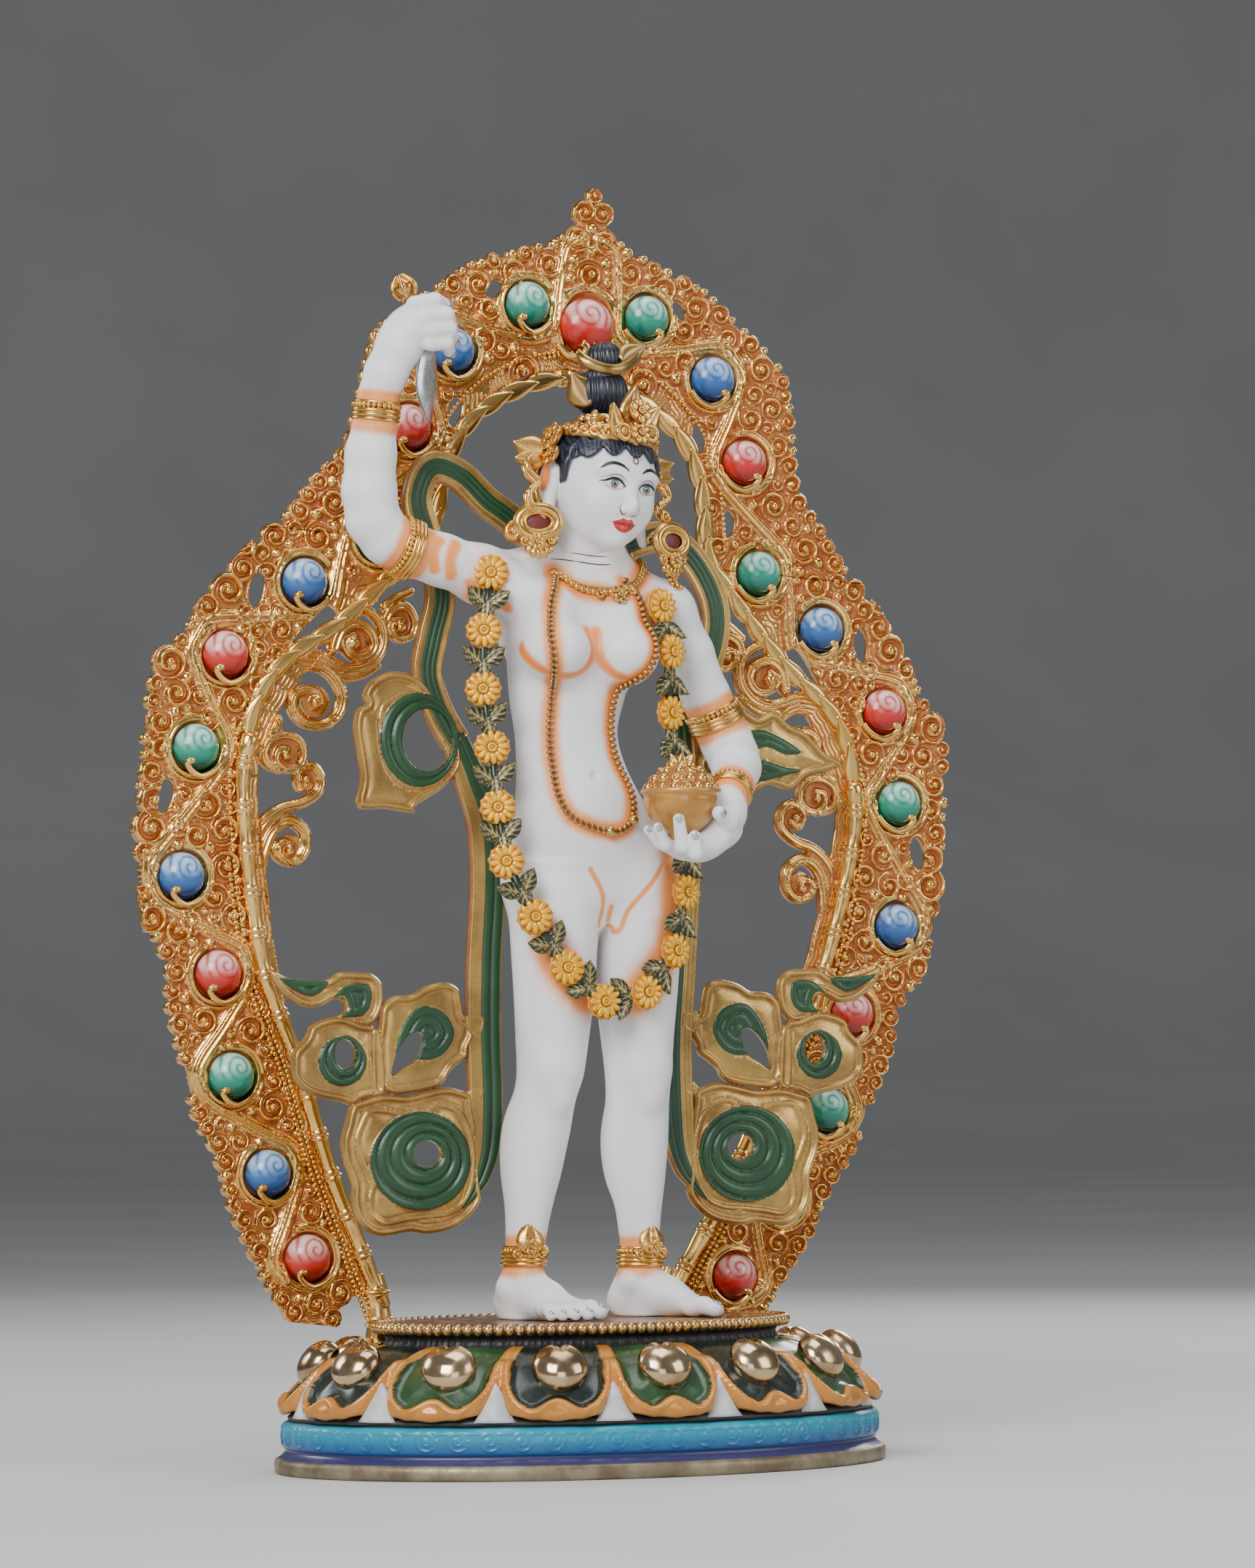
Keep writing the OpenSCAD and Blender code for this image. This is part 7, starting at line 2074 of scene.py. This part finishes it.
def bun(c, rx, rz, n=120, strands=30, z0=-0.95, z1=0.97):
    V = []
    th = np.arange(n) * 2 * math.pi / n
    lev = np.linspace(z0, z1, 26)
    for l in lev:
        k = math.sqrt(max(0.0, 1 - l * l))
        comb = 0.5 + 0.5 * np.cos(strands * th + 2.2 * l)
        r = rx * (k ** 0.8) * (0.93 + 0.07 * comb)
        V.append(np.stack([c[0] + r * np.cos(th), c[1] + r * np.sin(th), np.full(n, c[2] + rz * l)], 1))
    V = np.concatenate(V)
    F = [(a * n + b, a * n + (b + 1) % n, (a + 1) * n + (b + 1) % n, (a + 1) * n + b) for a in range(25) for b in range(n)]
    F += [tuple(range(n - 1, -1, -1)), tuple(25 * n + i for i in range(n))]
    # darker down the combed grooves: painted shade in the grooves
    cv = np.concatenate([0.75 * (0.5 - 0.5 * np.cos(strands * th + 2.2 * l)) for l in lev])
    buns.add(V, F, cav=cv)


bun((10.6, 1.0, 351.0), 9.2, 8.0)
bun((12.2, 1.5, 362.4), 6.0, 5.6, strands=22)
buns.make("topknot_buns", m_hair.m, STATUE, [], "hair_paint")
cres = Bag()
P = catmull(A([(0.6, -2.5, 363.4), (3.4, -5.6, 360.2), (9.0, -7.4, 358.0), (15.0, -6.6, 358.6), (20.4, -3.4, 361.6), (25.0, 0.5, 365.0)]), 8)
k = np.linspace(-1, 1, len(P))
V, F = tube(P, 1.9 * np.sqrt(np.clip(1 - k ** 4, 0.05, 1)), 12, rb=0.9 * np.sqrt(np.clip(1 - k ** 4, 0.05, 1)), ref=(0, 1, 0.15))
cres.add(V, F, cav=0.3)
V, F = tube(P + A([0, -0.9, 1.1]), 0.55, 8)
cres.add(V, F, cav=0.05)
V, F, K = leaf_mesh(11.5, 4.0, 1.4, 2.0)
put(cres, V, F, frame_of((0.35, -1, 0.15), (0.9, 0, 0.55)), (16.0, -3.6, 361.0), cav=0.3 + 0.4 * np.exp(-(K[:, 1] / 0.2) ** 2))
V, F, K = leaf_mesh(12.5, 5.2, 1.6, 1.0)
put(cres, V, F, frame_of((-0.5, -1, 0.1), (-0.5, 0, 0.87)), (4.6, -3.2, 346.0), cav=0.3 + 0.4 * np.exp(-(K[:, 1] / 0.2) ** 2))
cres.make("topknot_crescents", gilt("crescent_gilt", (0.50, 0.37, 0.16), (0.22, 0.12, 0.06), 0.2, 0.8, (0.3, 0.5), copper=(0.36, 0.24, 0.10)), STATUE, ["topknot_crescent"], "gilt")

# crown: curls and rosettes around the brow, tall front leaf, side rosettes
crown = Bag()


def on_brow(ph, z, out=0.6):
    a = math.radians(ph)
    k = math.sqrt(max(0.05, 1 - ((z - 3.4) / 19.2) ** 2))
    p = A([(19.6 * k + out) * math.sin(a), 2.0 - (21.6 * k + out) * math.cos(a), z])
    nn = A([math.sin(a), -math.cos(a), 0.35])
    return toW(p), HR @ nn


for z, r in ((13.4, 0.95), (15.6, 0.7)):
    P = A([on_brow(ph, z + 0.9 * math.cos(math.radians(ph)), 0.2)[0] for ph in np.linspace(-180, 179, 90)])
    V, F = tube(P, r, 8, closed=True)
    crown.add(V, F, cav=0.45)
for i, ph in enumerate(np.linspace(-84, 84, 15)):
    c, n_ = on_brow(ph, 15.0 + 0.9 * math.cos(math.radians(ph)), 0.9)
    curl(crown, c, frame_of(n_), 3.5 if i % 2 else 3.0, 1 if ph > 0 else -1, a0=40 * i)
for i, ph in enumerate(np.linspace(-76, 76, 12)):
    c, n_ = on_brow(ph, 18.6 + 0.9 * math.cos(math.radians(ph)), 0.4)
    V, F = ball(1.7, 12, 8)
    put(crown, V, F, frame_of(n_), c, cav=0.05)
for ph, z, rr, n in ((-52, 18.6, 4.0, 6), (52, 18.6, 4.0, 6), (-26, 18.8, 3.4, 6), (26, 18.8, 3.4, 6), (-92, 11.5, 5.4, 6), (92, 11.5, 5.4, 6), (-84, 5.5, 4.0, 5), (84, 5.5, 4.0, 5)):
    c, n_ = on_brow(ph, z, 1.8)
    rosette(crown, c, frame_of(n_), rr, n)
# front: leaf, flower and two cabochon cups
c, n_ = on_brow(0, 15, 1.2)
RF = frame_of(n_)
V, F, K = leaf_mesh(19.0, 6.2, 2.0, 3.0, 19, 11, 0.7)
put(crown, V, F, RF, c + A([0, 0, -1.5]), cav=0.15 + 0.5 * np.exp(-(K[:, 1] / 0.14) ** 2) + 0.35 * (np.abs((K[:, 0] * 6 + np.abs(K[:, 1]) * 1.4) % 1 - 0.5) < 0.13))
for sx in (-1, 1):
    V, F, K = leaf_mesh(13.0, 4.2, 1.5, 2.6, 15, 9, 0.5)
    put(crown, V, F, RF @ rotz(-sx * 32), c + RF @ A([sx * 3.0, 0.0, -0.5]), cav=0.15 + 0.5 * np.exp(-(K[:, 1] / 0.16) ** 2))
rosette(crown, c + RF @ A([0, 8.4, 3.6]), RF, 4.6, 6)
rosette(crown, c + RF @ A([0, 1.6, 2.0]), RF, 4.2, 8)
for sx in (-1, 1):
    V, F = torus(2.5, 0.95, 24, 10)
    put(crown, V, F, RF, c + RF @ A([sx * 5.6, 2.0, 1.2]), cav=0.08)
    V, F = ball(1.7, 12, 8)
    put(crown, V, F, RF, c + RF @ A([sx * 5.6, 2.0, 1.0]), cav=0.5)
    V, F = torus(2.7, 0.8, 24, 10, el=1.5)
    c2_, n2_ = on_brow(sx * 38, 17.2, 2.0)
    put(crown, V, F, frame_of(n2_), c2_, cav=0.08)
crown.make("crown_curls_rosettes", m_orn, STATUE, ["crown"], "gilt")

# side ties: leaf knot, then a wavy strap down to the earring; gold edging behind each ear
ties = Bag()
for sx in (-1, 1):
    c, n_ = on_brow(sx * 96, 6.0, 1.0)
    for rot, L_ in ((70, 11.0), (100, 10.0)):
        V, F, K = leaf_mesh(L_, 4.6, 1.9, 1.0)
        Rl = frame_of((sx * 0.25 - 0.25, -1, 0.1)) @ rotz(-sx * rot)
        put(ties, V, F, Rl, c, cav=0.12 + 0.6 * np.exp(-((np.abs(K[:, 1]) - 0.5) / 0.12) ** 2) + 0.4 * np.exp(-(K[:, 1] / 0.12) ** 2))
    pts = A([(19, 3, 5.5), (27.5, 2.5, 3.0), (29.0, 1, -1.0), (24.6, 0, -4.4), (28.4, -1, -8.0), (27.4, -2, -12.2), (23.0, -3, -13.2), (20.6, -3.5, -15.4)], float) * A([sx, 1, 1])
    P = resample(catmull(pts, 8), 0.7)
    for off in (-0.75, 0.75):
        V, F = tube(toW(P + A([0, 0, 0]) + np.stack([np.full(len(P), off * 0.7), np.full(len(P), -0.2), np.full(len(P), off)], 1)), 1.05, 8)
        ties.add(V, F, cav=0.12)
    V, F = tube(toW(resample(catmull(A([(17.4, 7.2, 7.0), (19.6, 8.0, 2.5), (20.2, 7.8, -3.0), (19.6, 5.6, -8.5), (19.6, 1.8, -13.2), (20.0, -2.0, -16.6)], float) * A([sx, 1, 1]), 8), 0.7)), 1.0, 8)
    ties.add(V, F, cav=0.12)
ties.make("head_ties", m_orn, STATUE, [], "gilt")

# ring earrings with a dark red centre, rosette and petals below
m_earred = paint("earring_red", (0.16, 0.018, 0.012), (0.07, 0.01, 0.008), 0.4, 0.2, 300)
for nm, c, sx in (("right", A([-17.0, -9.4, 306.8]), -1), ("left", A([33.0, -5.0, 302.2]), 1)):
    e = Bag()
    R = frame_of((-0.28 if sx < 0 else 0.35, -1, 0.05))
    V, F = torus(6.6, 1.75, 44, 14, el=0.72)
    put(e, V, F, R, c, cav=0.08)
    V, F = torus(4.5, 0.6, 40, 8, el=0.66)
    put(e, V + A([0, 0, 0.9]), F, R, c, cav=0.1)
    V, F = torus(8.0, 0.5, 44, 8, el=0.76)
    put(e, V + A([0, 0, 0.2]), F, R, c, cav=0.25)
    rosette(e, c + R @ A([0.4 * sx, -6.6, 1.2]), R, 3.2, 8)
    for q in (-60, -28, 0, 28, 60):
        V, F = ball(1.0, 12, 8, sc=(1.5, 2.3, 1.3))
        put(e, V @ rotz(q).T + A([3.3 * math.sin(math.radians(-q)) * -1, -7.4 - 2.6 * math.cos(math.radians(q)), 0]), F, R, c, cav=0.12)
    for q in (-1, 1):
        curl(e, c + R @ A([q * 4.4, -6.0, 0.2]), R, 2.3, q)
    if sx < 0:
        curl(e, c + A([-6.5, 5.0, -3.0]), R, 4.4, 1)
    else:
        for t in range(4):
            curl(e, c + A([-1.0 + 0.8 * t, 3.0, 8.5 - 0.2 * t]) + A([0.6 * t, 0, -5.2 * t]), R, 2.9, 1 if t % 2 else -1)
            rosette(e, c + A([1.8 * t - 1.0, 1.0, -9.5 - 3.2 * t]), R, 2.4, 5)
    e.make("earring_" + nm, m_orn, STATUE, [nm + "_earring"], "gilt")
    d = Bag()
    V, F = ball(1.0, 24, 8, sc=(4.6, 3.2, 0.7))
    put(d, V, F, R, c, cav=0.1)
    d.make("earring_core_" + nm, m_earred, STATUE, [], "gilt")


# ------------------------------------------------------------------ garland
YEL, GOLDY, BLK, VEIN = (A([0.66, 0.25, 0.001]), 0.0), (A([0.88, 0.46, 0.018]), 0.5), (A([0.004, 0.022, 0.013]), 0.0), (A([0.46, 0.34, 0.11]), 0.6)
flo, lea = Bag(), Bag()
GP = [A(p, float) for p in GA]


def gnorm(p):
    return unit(A([(p[0] + 2) * 0.012, -1.0, 0.05]))


for i, p in enumerate(GP):
    nn = gnorm(p)
    R = frame_of(nn) @ rotz(17 * i)
    rosette(flo, p + nn * 0.6, R, 5.9, 12, YEL, GOLDY, GOLDY)
    V, F = torus(5.2, 0.7, 36, 8)
    V = V * (1 + 0.06 * np.cos(12 * np.arctan2(V[:, 1], V[:, 0])))[:, None]
    put(flo, V * A([1, 1, 0.7]), F, R, p + nn * 0.4, tint=np.tile(np.r_[YEL[0], 1.0], (len(V), 1)), met=0.0)
flo.make("garland_rosettes", m_paintmix, STATUE, ["garland_flowers"], "flower_paint")


def gleaf(c, d, nn, L, W, bend):
    V, F, K = leaf_mesh(L, W, 1.25, bend, 15, 11, 0.5)
    x = unit(np.cross(d, nn))
    R = np.stack([x, unit(d), np.cross(x, unit(d))], 1)
    if np.dot(R[:, 2], nn) < 0:
        R = np.stack([-x, unit(d), -np.cross(x, unit(d))], 1)
        R = np.stack([np.cross(unit(d), nn), unit(d), nn], 1)
    vein = (np.abs(((K[:, 0] * 4.0 - np.abs(K[:, 1]) * 1.3) % 1) - 0.5) < 0.13) | (np.abs(K[:, 1]) < 0.07)
    col = np.where(vein[:, None], VEIN[0][None], BLK[0][None])
    put(lea, V, F, R, c, tint=rgba(col), met=np.where(vein, VEIN[1], 0.0))


for i in range(len(GP) - 1):
    a, b = GP[i], GP[i + 1]
    mid = (a + b) / 2
    d = unit(b - a)
    nn = gnorm(mid)
    sd = np.cross(nn, d)
    base = mid + d * 1.2 + nn * 0.4
    gleaf(base - d * 1.5, d, nn, 7.4, 2.7, 0.5)
    for sgn in (-1, 1):
        gleaf(base + sd * sgn * 0.6, unit(-d * 0.72 + sd * sgn * 0.85), nn, 8.2, 2.9, 1.3)
    V, F = tube(A([a, mid - nn * 0.4, b]), 1.5, 8)
    put(lea, V, F, np.eye(3), (0, 0, 0), tint=np.tile(np.r_[BLK[0], 1.0], (len(V), 1)), met=0.0)
lea.make("garland_leaf_pairs", m_paintmix, STATUE, ["garland_leaves"], "leaf_paint")

# ------------------------------------------------------------------ chains and cuffs
ch, nk = Bag(), Bag()
T = np.gradient(CHAIN, axis=0)
Nn = bv.normal(CHAIN)
for i, p in enumerate(CHAIN):
    t = unit(T[i])
    n_ = unit(Nn[i] - t * np.dot(Nn[i], t))
    b = np.cross(t, n_)
    R = np.stack([t, b, n_], 1)
    V, F = ball(1.0, 10, 7)
    V = np.sign(V) * np.abs(V) ** 0.75 * A([0.78, 1.35, 0.95])
    put(ch, V, F, R, p, cav=0.15 + 0.45 * (np.abs(V[:, 1]) < 0.55))
for i in (int(len(CHAIN) * 0.5), int(len(CHAIN) * 0.55)):
    V, F = ball(1.8, 14, 9)
    put(ch, V, F, np.eye(3), CHAIN[i] + Nn[i] * 0.7, cav=0.0)
ch.make("bead_chain_links", gilt("chain_gilt", (0.66, 0.47, 0.22), (0.16, 0.08, 0.035), 0.2, 0.6, (0.26, 0.45)), STATUE, ["bead_chain"], "gilt")
for i, p in enumerate(NECK):
    n_ = bv.normal(p[None])[0]
    V, F = ball(1.0, 12, 8, sc=(1.35, 1.35, 1.2))
    put(nk, V, F, frame_of(n_), p, cav=0.15 if i % 2 else 0.35)
V, F = tube(NECK + A([0, 0.2, 0.9]), 0.7, 8)
nk.add(V, F, cav=0.3)
mid = NECK[len(NECK) // 2]
rosette(nk, mid + A([0.3, -0.9, -1.4]), frame_of((0.1, -1, 0.4)), 3.6, 7)
for s_ in (-1, 1):
    m_ = NECK[len(NECK) // 2 + s_ * 3]
    curl(nk, m_ + A([0, -0.8, -0.8]), frame_of((0.1, -1, 0.4)), 2.3, s_)
nk.make("necklace_curls", m_orn, STATUE, ["necklace"], "gilt")
GRP = {"armlets": ["armlet_r", "armlet_l"], "bracelets": ["bracelet_r", "bracelet_l"], "anklets": ["anklet_r", "anklet_l"]}
for g_, names in GRP.items():
    bag = Bag()
    for nm in names:
        c, d, r = cuf[nm]
        d = unit(d)
        if d[2] < 0:
            d = -d

        def loop(off, out, n=60):
            Pq = ring_pts(c + d * off, d, r + 1.0, n)
            if g_ != "bracelets":
                Pq = to_surface(bv, Pq, out)
                Pq = Pq - ((Pq - c - d * off) @ d)[:, None] * d[None]
                rr = np.linalg.norm(Pq - c - d * off, axis=1)
                if rr.max() > 1.6 * r + 2:
                    Pq = ring_pts(c + d * off, d, r + out, n)
                return Pq
            return ring_pts(c + d * off, d, r + out, n)
        for off, out, rr in ((-2.3, 0.45, 0.85), (-0.9, 0.5, 0.95), (0.5, 0.45, 0.85)):
            V, F = tube(loop(off, out), rr, 8, closed=True)
            bag.add(V, F, cav=0.28 if off < 0 else 0.12)
        Bp = resample(loop(2.1, 0.5), 1.75, True)
        for p in Bp:
            V, F = ball(0.98, 8, 6, c=p)
            bag.add(V, F, cav=0.12)
        V, F = tube(loop(3.2, 0.3), 0.5, 8, closed=True)
        bag.add(V, F, cav=0.15)
        fr = A([-0.15, -1, 0]) if nm.endswith("r") else A([0.1, -1, 0])
        fr = unit(fr - d * np.dot(fr, d))
        Rf = np.stack([np.cross(d, fr) * -1, d, fr], 1)
        Rf[:, 0] = np.cross(Rf[:, 1], Rf[:, 2])
        top = c + fr * (r + 1.6)
        if g_ == "anklets":
            V, F, K = leaf_mesh(11.5, 4.6, 1.7, -2.2, 15, 11, 0.5)
            put(bag, V, F, Rf, top + d * 0.5, cav=0.15 + 0.5 * np.exp(-(K[:, 1] / 0.16) ** 2) + 0.35 * (np.abs((K[:, 0] * 5) % 1 - 0.5) < 0.12))
            rosette(bag, top + d * 3.4 + fr * 1.6, Rf, 3.0, 7)
            for s_ in (-1, 1):
                curl(bag, top + d * 1.2 + Rf[:, 0] * s_ * 4.2 - fr * 0.8, Rf, 2.4, s_)
    bag.make(g_ + "_banded", m_orn, STATUE, [g_], "gilt")

# ------------------------------------------------------------------ silver nails
m_silver = Mat("nail_silver")
m_silver.set(color=(0.62, 0.64, 0.67), metal=0.85, rough=m_silver.ramp(m_silver.noise(600, 2), 0.3, 0.7, 0.25, 0.4), normal=m_silver.bump(m_silver.noise(500, 2), 0.1, 0.0002))
nails = Bag()


def nail(p, d, n_, L, W):
    d = unit(d - n_ * np.dot(d, n_))
    V, F = ball(1.0, 14, 8)
    put(nails, V * A([L, W, 0.42]), F, np.stack([d, np.cross(n_, d), n_], 1), p)


for m_, b, r in TOES:
    m_, b = A(m_, float), A(b, float)
    d = unit(b - m_)
    n_ = unit(A([0, 0, 1.0]) + d * 0.45)
    nail(b + n_ * (r * 0.93), d, n_, r * 0.62, r * 0.58)
for lst in (FIST_TIPS, PALM_TIPS):
    for b, c, r in lst:
        b, c = A(b, float), A(c, float)
        d = unit(c - b)
        v = A([-0.35, -1.0, 0.2])
        n_ = unit(v - d * np.dot(v, d))
        nail(c + n_ * (r * 0.93) + d * 0.3, d, n_, r * 0.85, r * 0.62)
nails.make("silver_nails", m_silver.m, STATUE, [], "silver_blade")

# ------------------------------------------------------------------ knife
kn = Bag()
w_ = unit(A([-0.85, -0.53, 0.0]))
up = A([0.0, 0.0, 1.0])
no = np.cross(w_, up)
if no[1] > 0:
    no = -no
K0 = A([-55.0, -9.0, 351.0])
ol = resample(catmull(A([(0.5, 14.0), (4.4, 9.5), (7.2, 1.5), (6.8, -4.5), (3.6, -9.6), (0.0, -13.6), (-2.4, -9.0), (-4.6, -1.0), (-4.0, 7.0), (-2.0, 14.0)], float), 6, True), 0.8, True)
n = len(ol)
cen = A([1.0, 0.6])
rings = []
for f_, th in ((0.0, 1.05), (0.45, 1.0), (0.72, 0.85), (0.80, 0.62), (0.93, 0.42), (1.0, 0.12)):
    for p in ol:
        q = cen + (p - cen) * max(f_, 0.02)
        rings.append((q[0], q[1], th))
R3 = A(rings)
mk = lambda s_: K0 + R3[:, :1] * w_ + R3[:, 1:2] * up + s_ * R3[:, 2:3] * no
V = np.vstack([mk(1), mk(-1)])
F = []
nr_ = 6
for s_ in (0, 1):
    o = s_ * nr_ * n
    for a in range(nr_ - 1):
        for b in range(n):
            f = (o + a * n + b, o + a * n + (b + 1) % n, o + (a + 1) * n + (b + 1) % n, o + (a + 1) * n + b)
            F.append(f if s_ else f[::-1])
    F.append(tuple(o + b for b in range(n)) if not s_ else tuple(o + b for b in range(n - 1, -1, -1)))
for b in range(n):
    a0_, a1_ = (nr_ - 1) * n + b, (nr_ - 1) * n + (b + 1) % n
    F.append((a0_, a1_, a1_ + nr_ * n, a0_ + nr_ * n))
q = np.r_[R3, R3]
red = sstep(-4.5, -8.5, -(-q[:, 1])) if False else np.clip((-q[:, 1] - 5.0) / 4.0, 0, 1) * np.clip((2.5 - q[:, 0]) / 3.0, 0, 1)
edge = np.clip((-q[:, 0] - 2.0) / 1.2, 0, 1)
col = lerp(A([0.60, 0.62, 0.65])[None], A([0.42, 0.26, 0.10])[None], edge[:, None])
col = lerp(col, A([0.36, 0.02, 0.02])[None], red[:, None])
kn.add(V, F, tint=rgba(col), met=0.9 - 0.7 * red)
kn.make("knife_blade_ground", tint_mat("blade_silver", 0.28, 0.1, True, 0.12, 200, 0.2), STATUE, ["knife_blade"], "silver_blade")
hd = Bag()
ax = unit(A([-65.0, -9, 384.5]) - A([-57.5, -9, 369]))
RA = frame_of(ax, (0, 1, 0))
prof = [(0.3, -2), (2.0, -1.6), (2.3, 0), (2.0, 4), (2.6, 8.0), (3.2, 9.2), (2.2, 10.4), (1.6, 11.4), (3.0, 12.6), (3.6, 14.0), (2.9, 15.6), (1.5, 16.8), (0.9, 17.6), (0.2, 18.6)]
V, F = lathe(prof, 28)
put(hd, V, F, RA, A([-57.5, -9, 369]), cav=0.25)
for i in range(6):
    a = math.radians(60 * i)
    P = A([(2.9 * math.cos(a), 2.9 * math.sin(a), 10.6), (4.2 * math.cos(a), 4.2 * math.sin(a), 13.2), (3.2 * math.cos(a), 3.2 * math.sin(a), 16.0), (1.0 * math.cos(a), 1.0 * math.sin(a), 18.0)])
    V, F = tube(catmull(P, 6), 0.62, 8)
    put(hd, V, F, RA, A([-57.5, -9, 369]), cav=0.08)
V, F = tube(A([(-57.5, -9, 369.0), (-55.6, -9, 364.5)]), [2.0, 2.3], 14)
hd.add(V, F, cav=0.2)
hd.make("knife_handle_prongs", m_orn, STATUE, ["knife_handle"], "gilt")

# ------------------------------------------------------------------ skull cup and its offering
cc = A([21.2, -35.0, 0.0])
m_lac = Mat("amber_lacquer")
_n = m_lac.noise(60, 3, 0.6)
m_lac.b.inputs["Coat Weight"].default_value = 0.6
m_lac.b.inputs["Coat Roughness"].default_value = 0.12
m_lac.set(color=m_lac.mix(m_lac.ramp(_n, 0.35, 0.7), (0.62, 0.31, 0.06), (0.40, 0.17, 0.03)), metal=0.35, rough=0.3, normal=m_lac.bump(_n, 0.1, 0.0004))
V, F = lathe([(0.4, 204.6), (5.6, 204.7), (6.8, 205.4), (8.6, 207.4), (10.6, 210.2), (11.9, 213.4), (12.3, 216.0), (12.1, 217.0), (12.9, 217.4), (13.3, 218.2), (12.9, 219.0), (12.0, 219.2), (11.2, 218.6), (10.6, 217.6), (0.4, 217.4)], 72)
V = V + cc
b_ = Bag()
b_.add(V, F)
b_.make("cup_lacquered", m_lac.m, STATUE, ["skull_cup"], "cup_lacquer")
of_ = Bag()
V, F = lathe([(11.4, 217.0), (11.4, 218.8), (10.6, 221.0), (8.6, 223.6), (5.4, 225.8), (2.0, 226.8), (0.2, 227.0)], 40)
of_.add(V + cc, F, cav=0.85)
rng = np.random.default_rng(7)
for ring, (cnt, rr, zz, sz) in enumerate(((17, 10.9, 219.3, 1.75), (13, 9.2, 222.0, 1.9), (9, 6.2, 224.6, 2.0), (5, 3.0, 226.6, 1.9))):
    for i in range(cnt):
        a = 2 * math.pi * (i + 0.5 * (ring % 2)) / cnt
        p = cc + A([rr * math.cos(a), rr * math.sin(a), zz])
        n_ = unit(A([math.cos(a), math.sin(a), 0.35 + 0.45 * ring]))
        if (i + ring) % 3 == 0:
            curl(of_, p, frame_of(n_), sz * 1.35, 1 if i % 2 else -1, a0=50 * i)
        else:
            V, F = ball(sz * (0.85 + 0.2 * rng.random()), 12, 8)
            put(of_, V, F, frame_of(n_), p, cav=0.1)
for t in (-1, 0, 1):
    V, F, K = leaf_mesh(4.6, 2.0, 1.2, 0.8)
    put(of_, V, F, frame_of((0.5 * t - 0.2, -1, 0.3)) @ rotz(-28 * t), cc + A([1.6 * t, -1.0, 226.0]), cav=0.1 + 0.4 * np.exp(-(K[:, 1] / 0.2) ** 2))
of_.make("offering_curls", m_orn, STATUE, ["cup_offering"], "gilt")
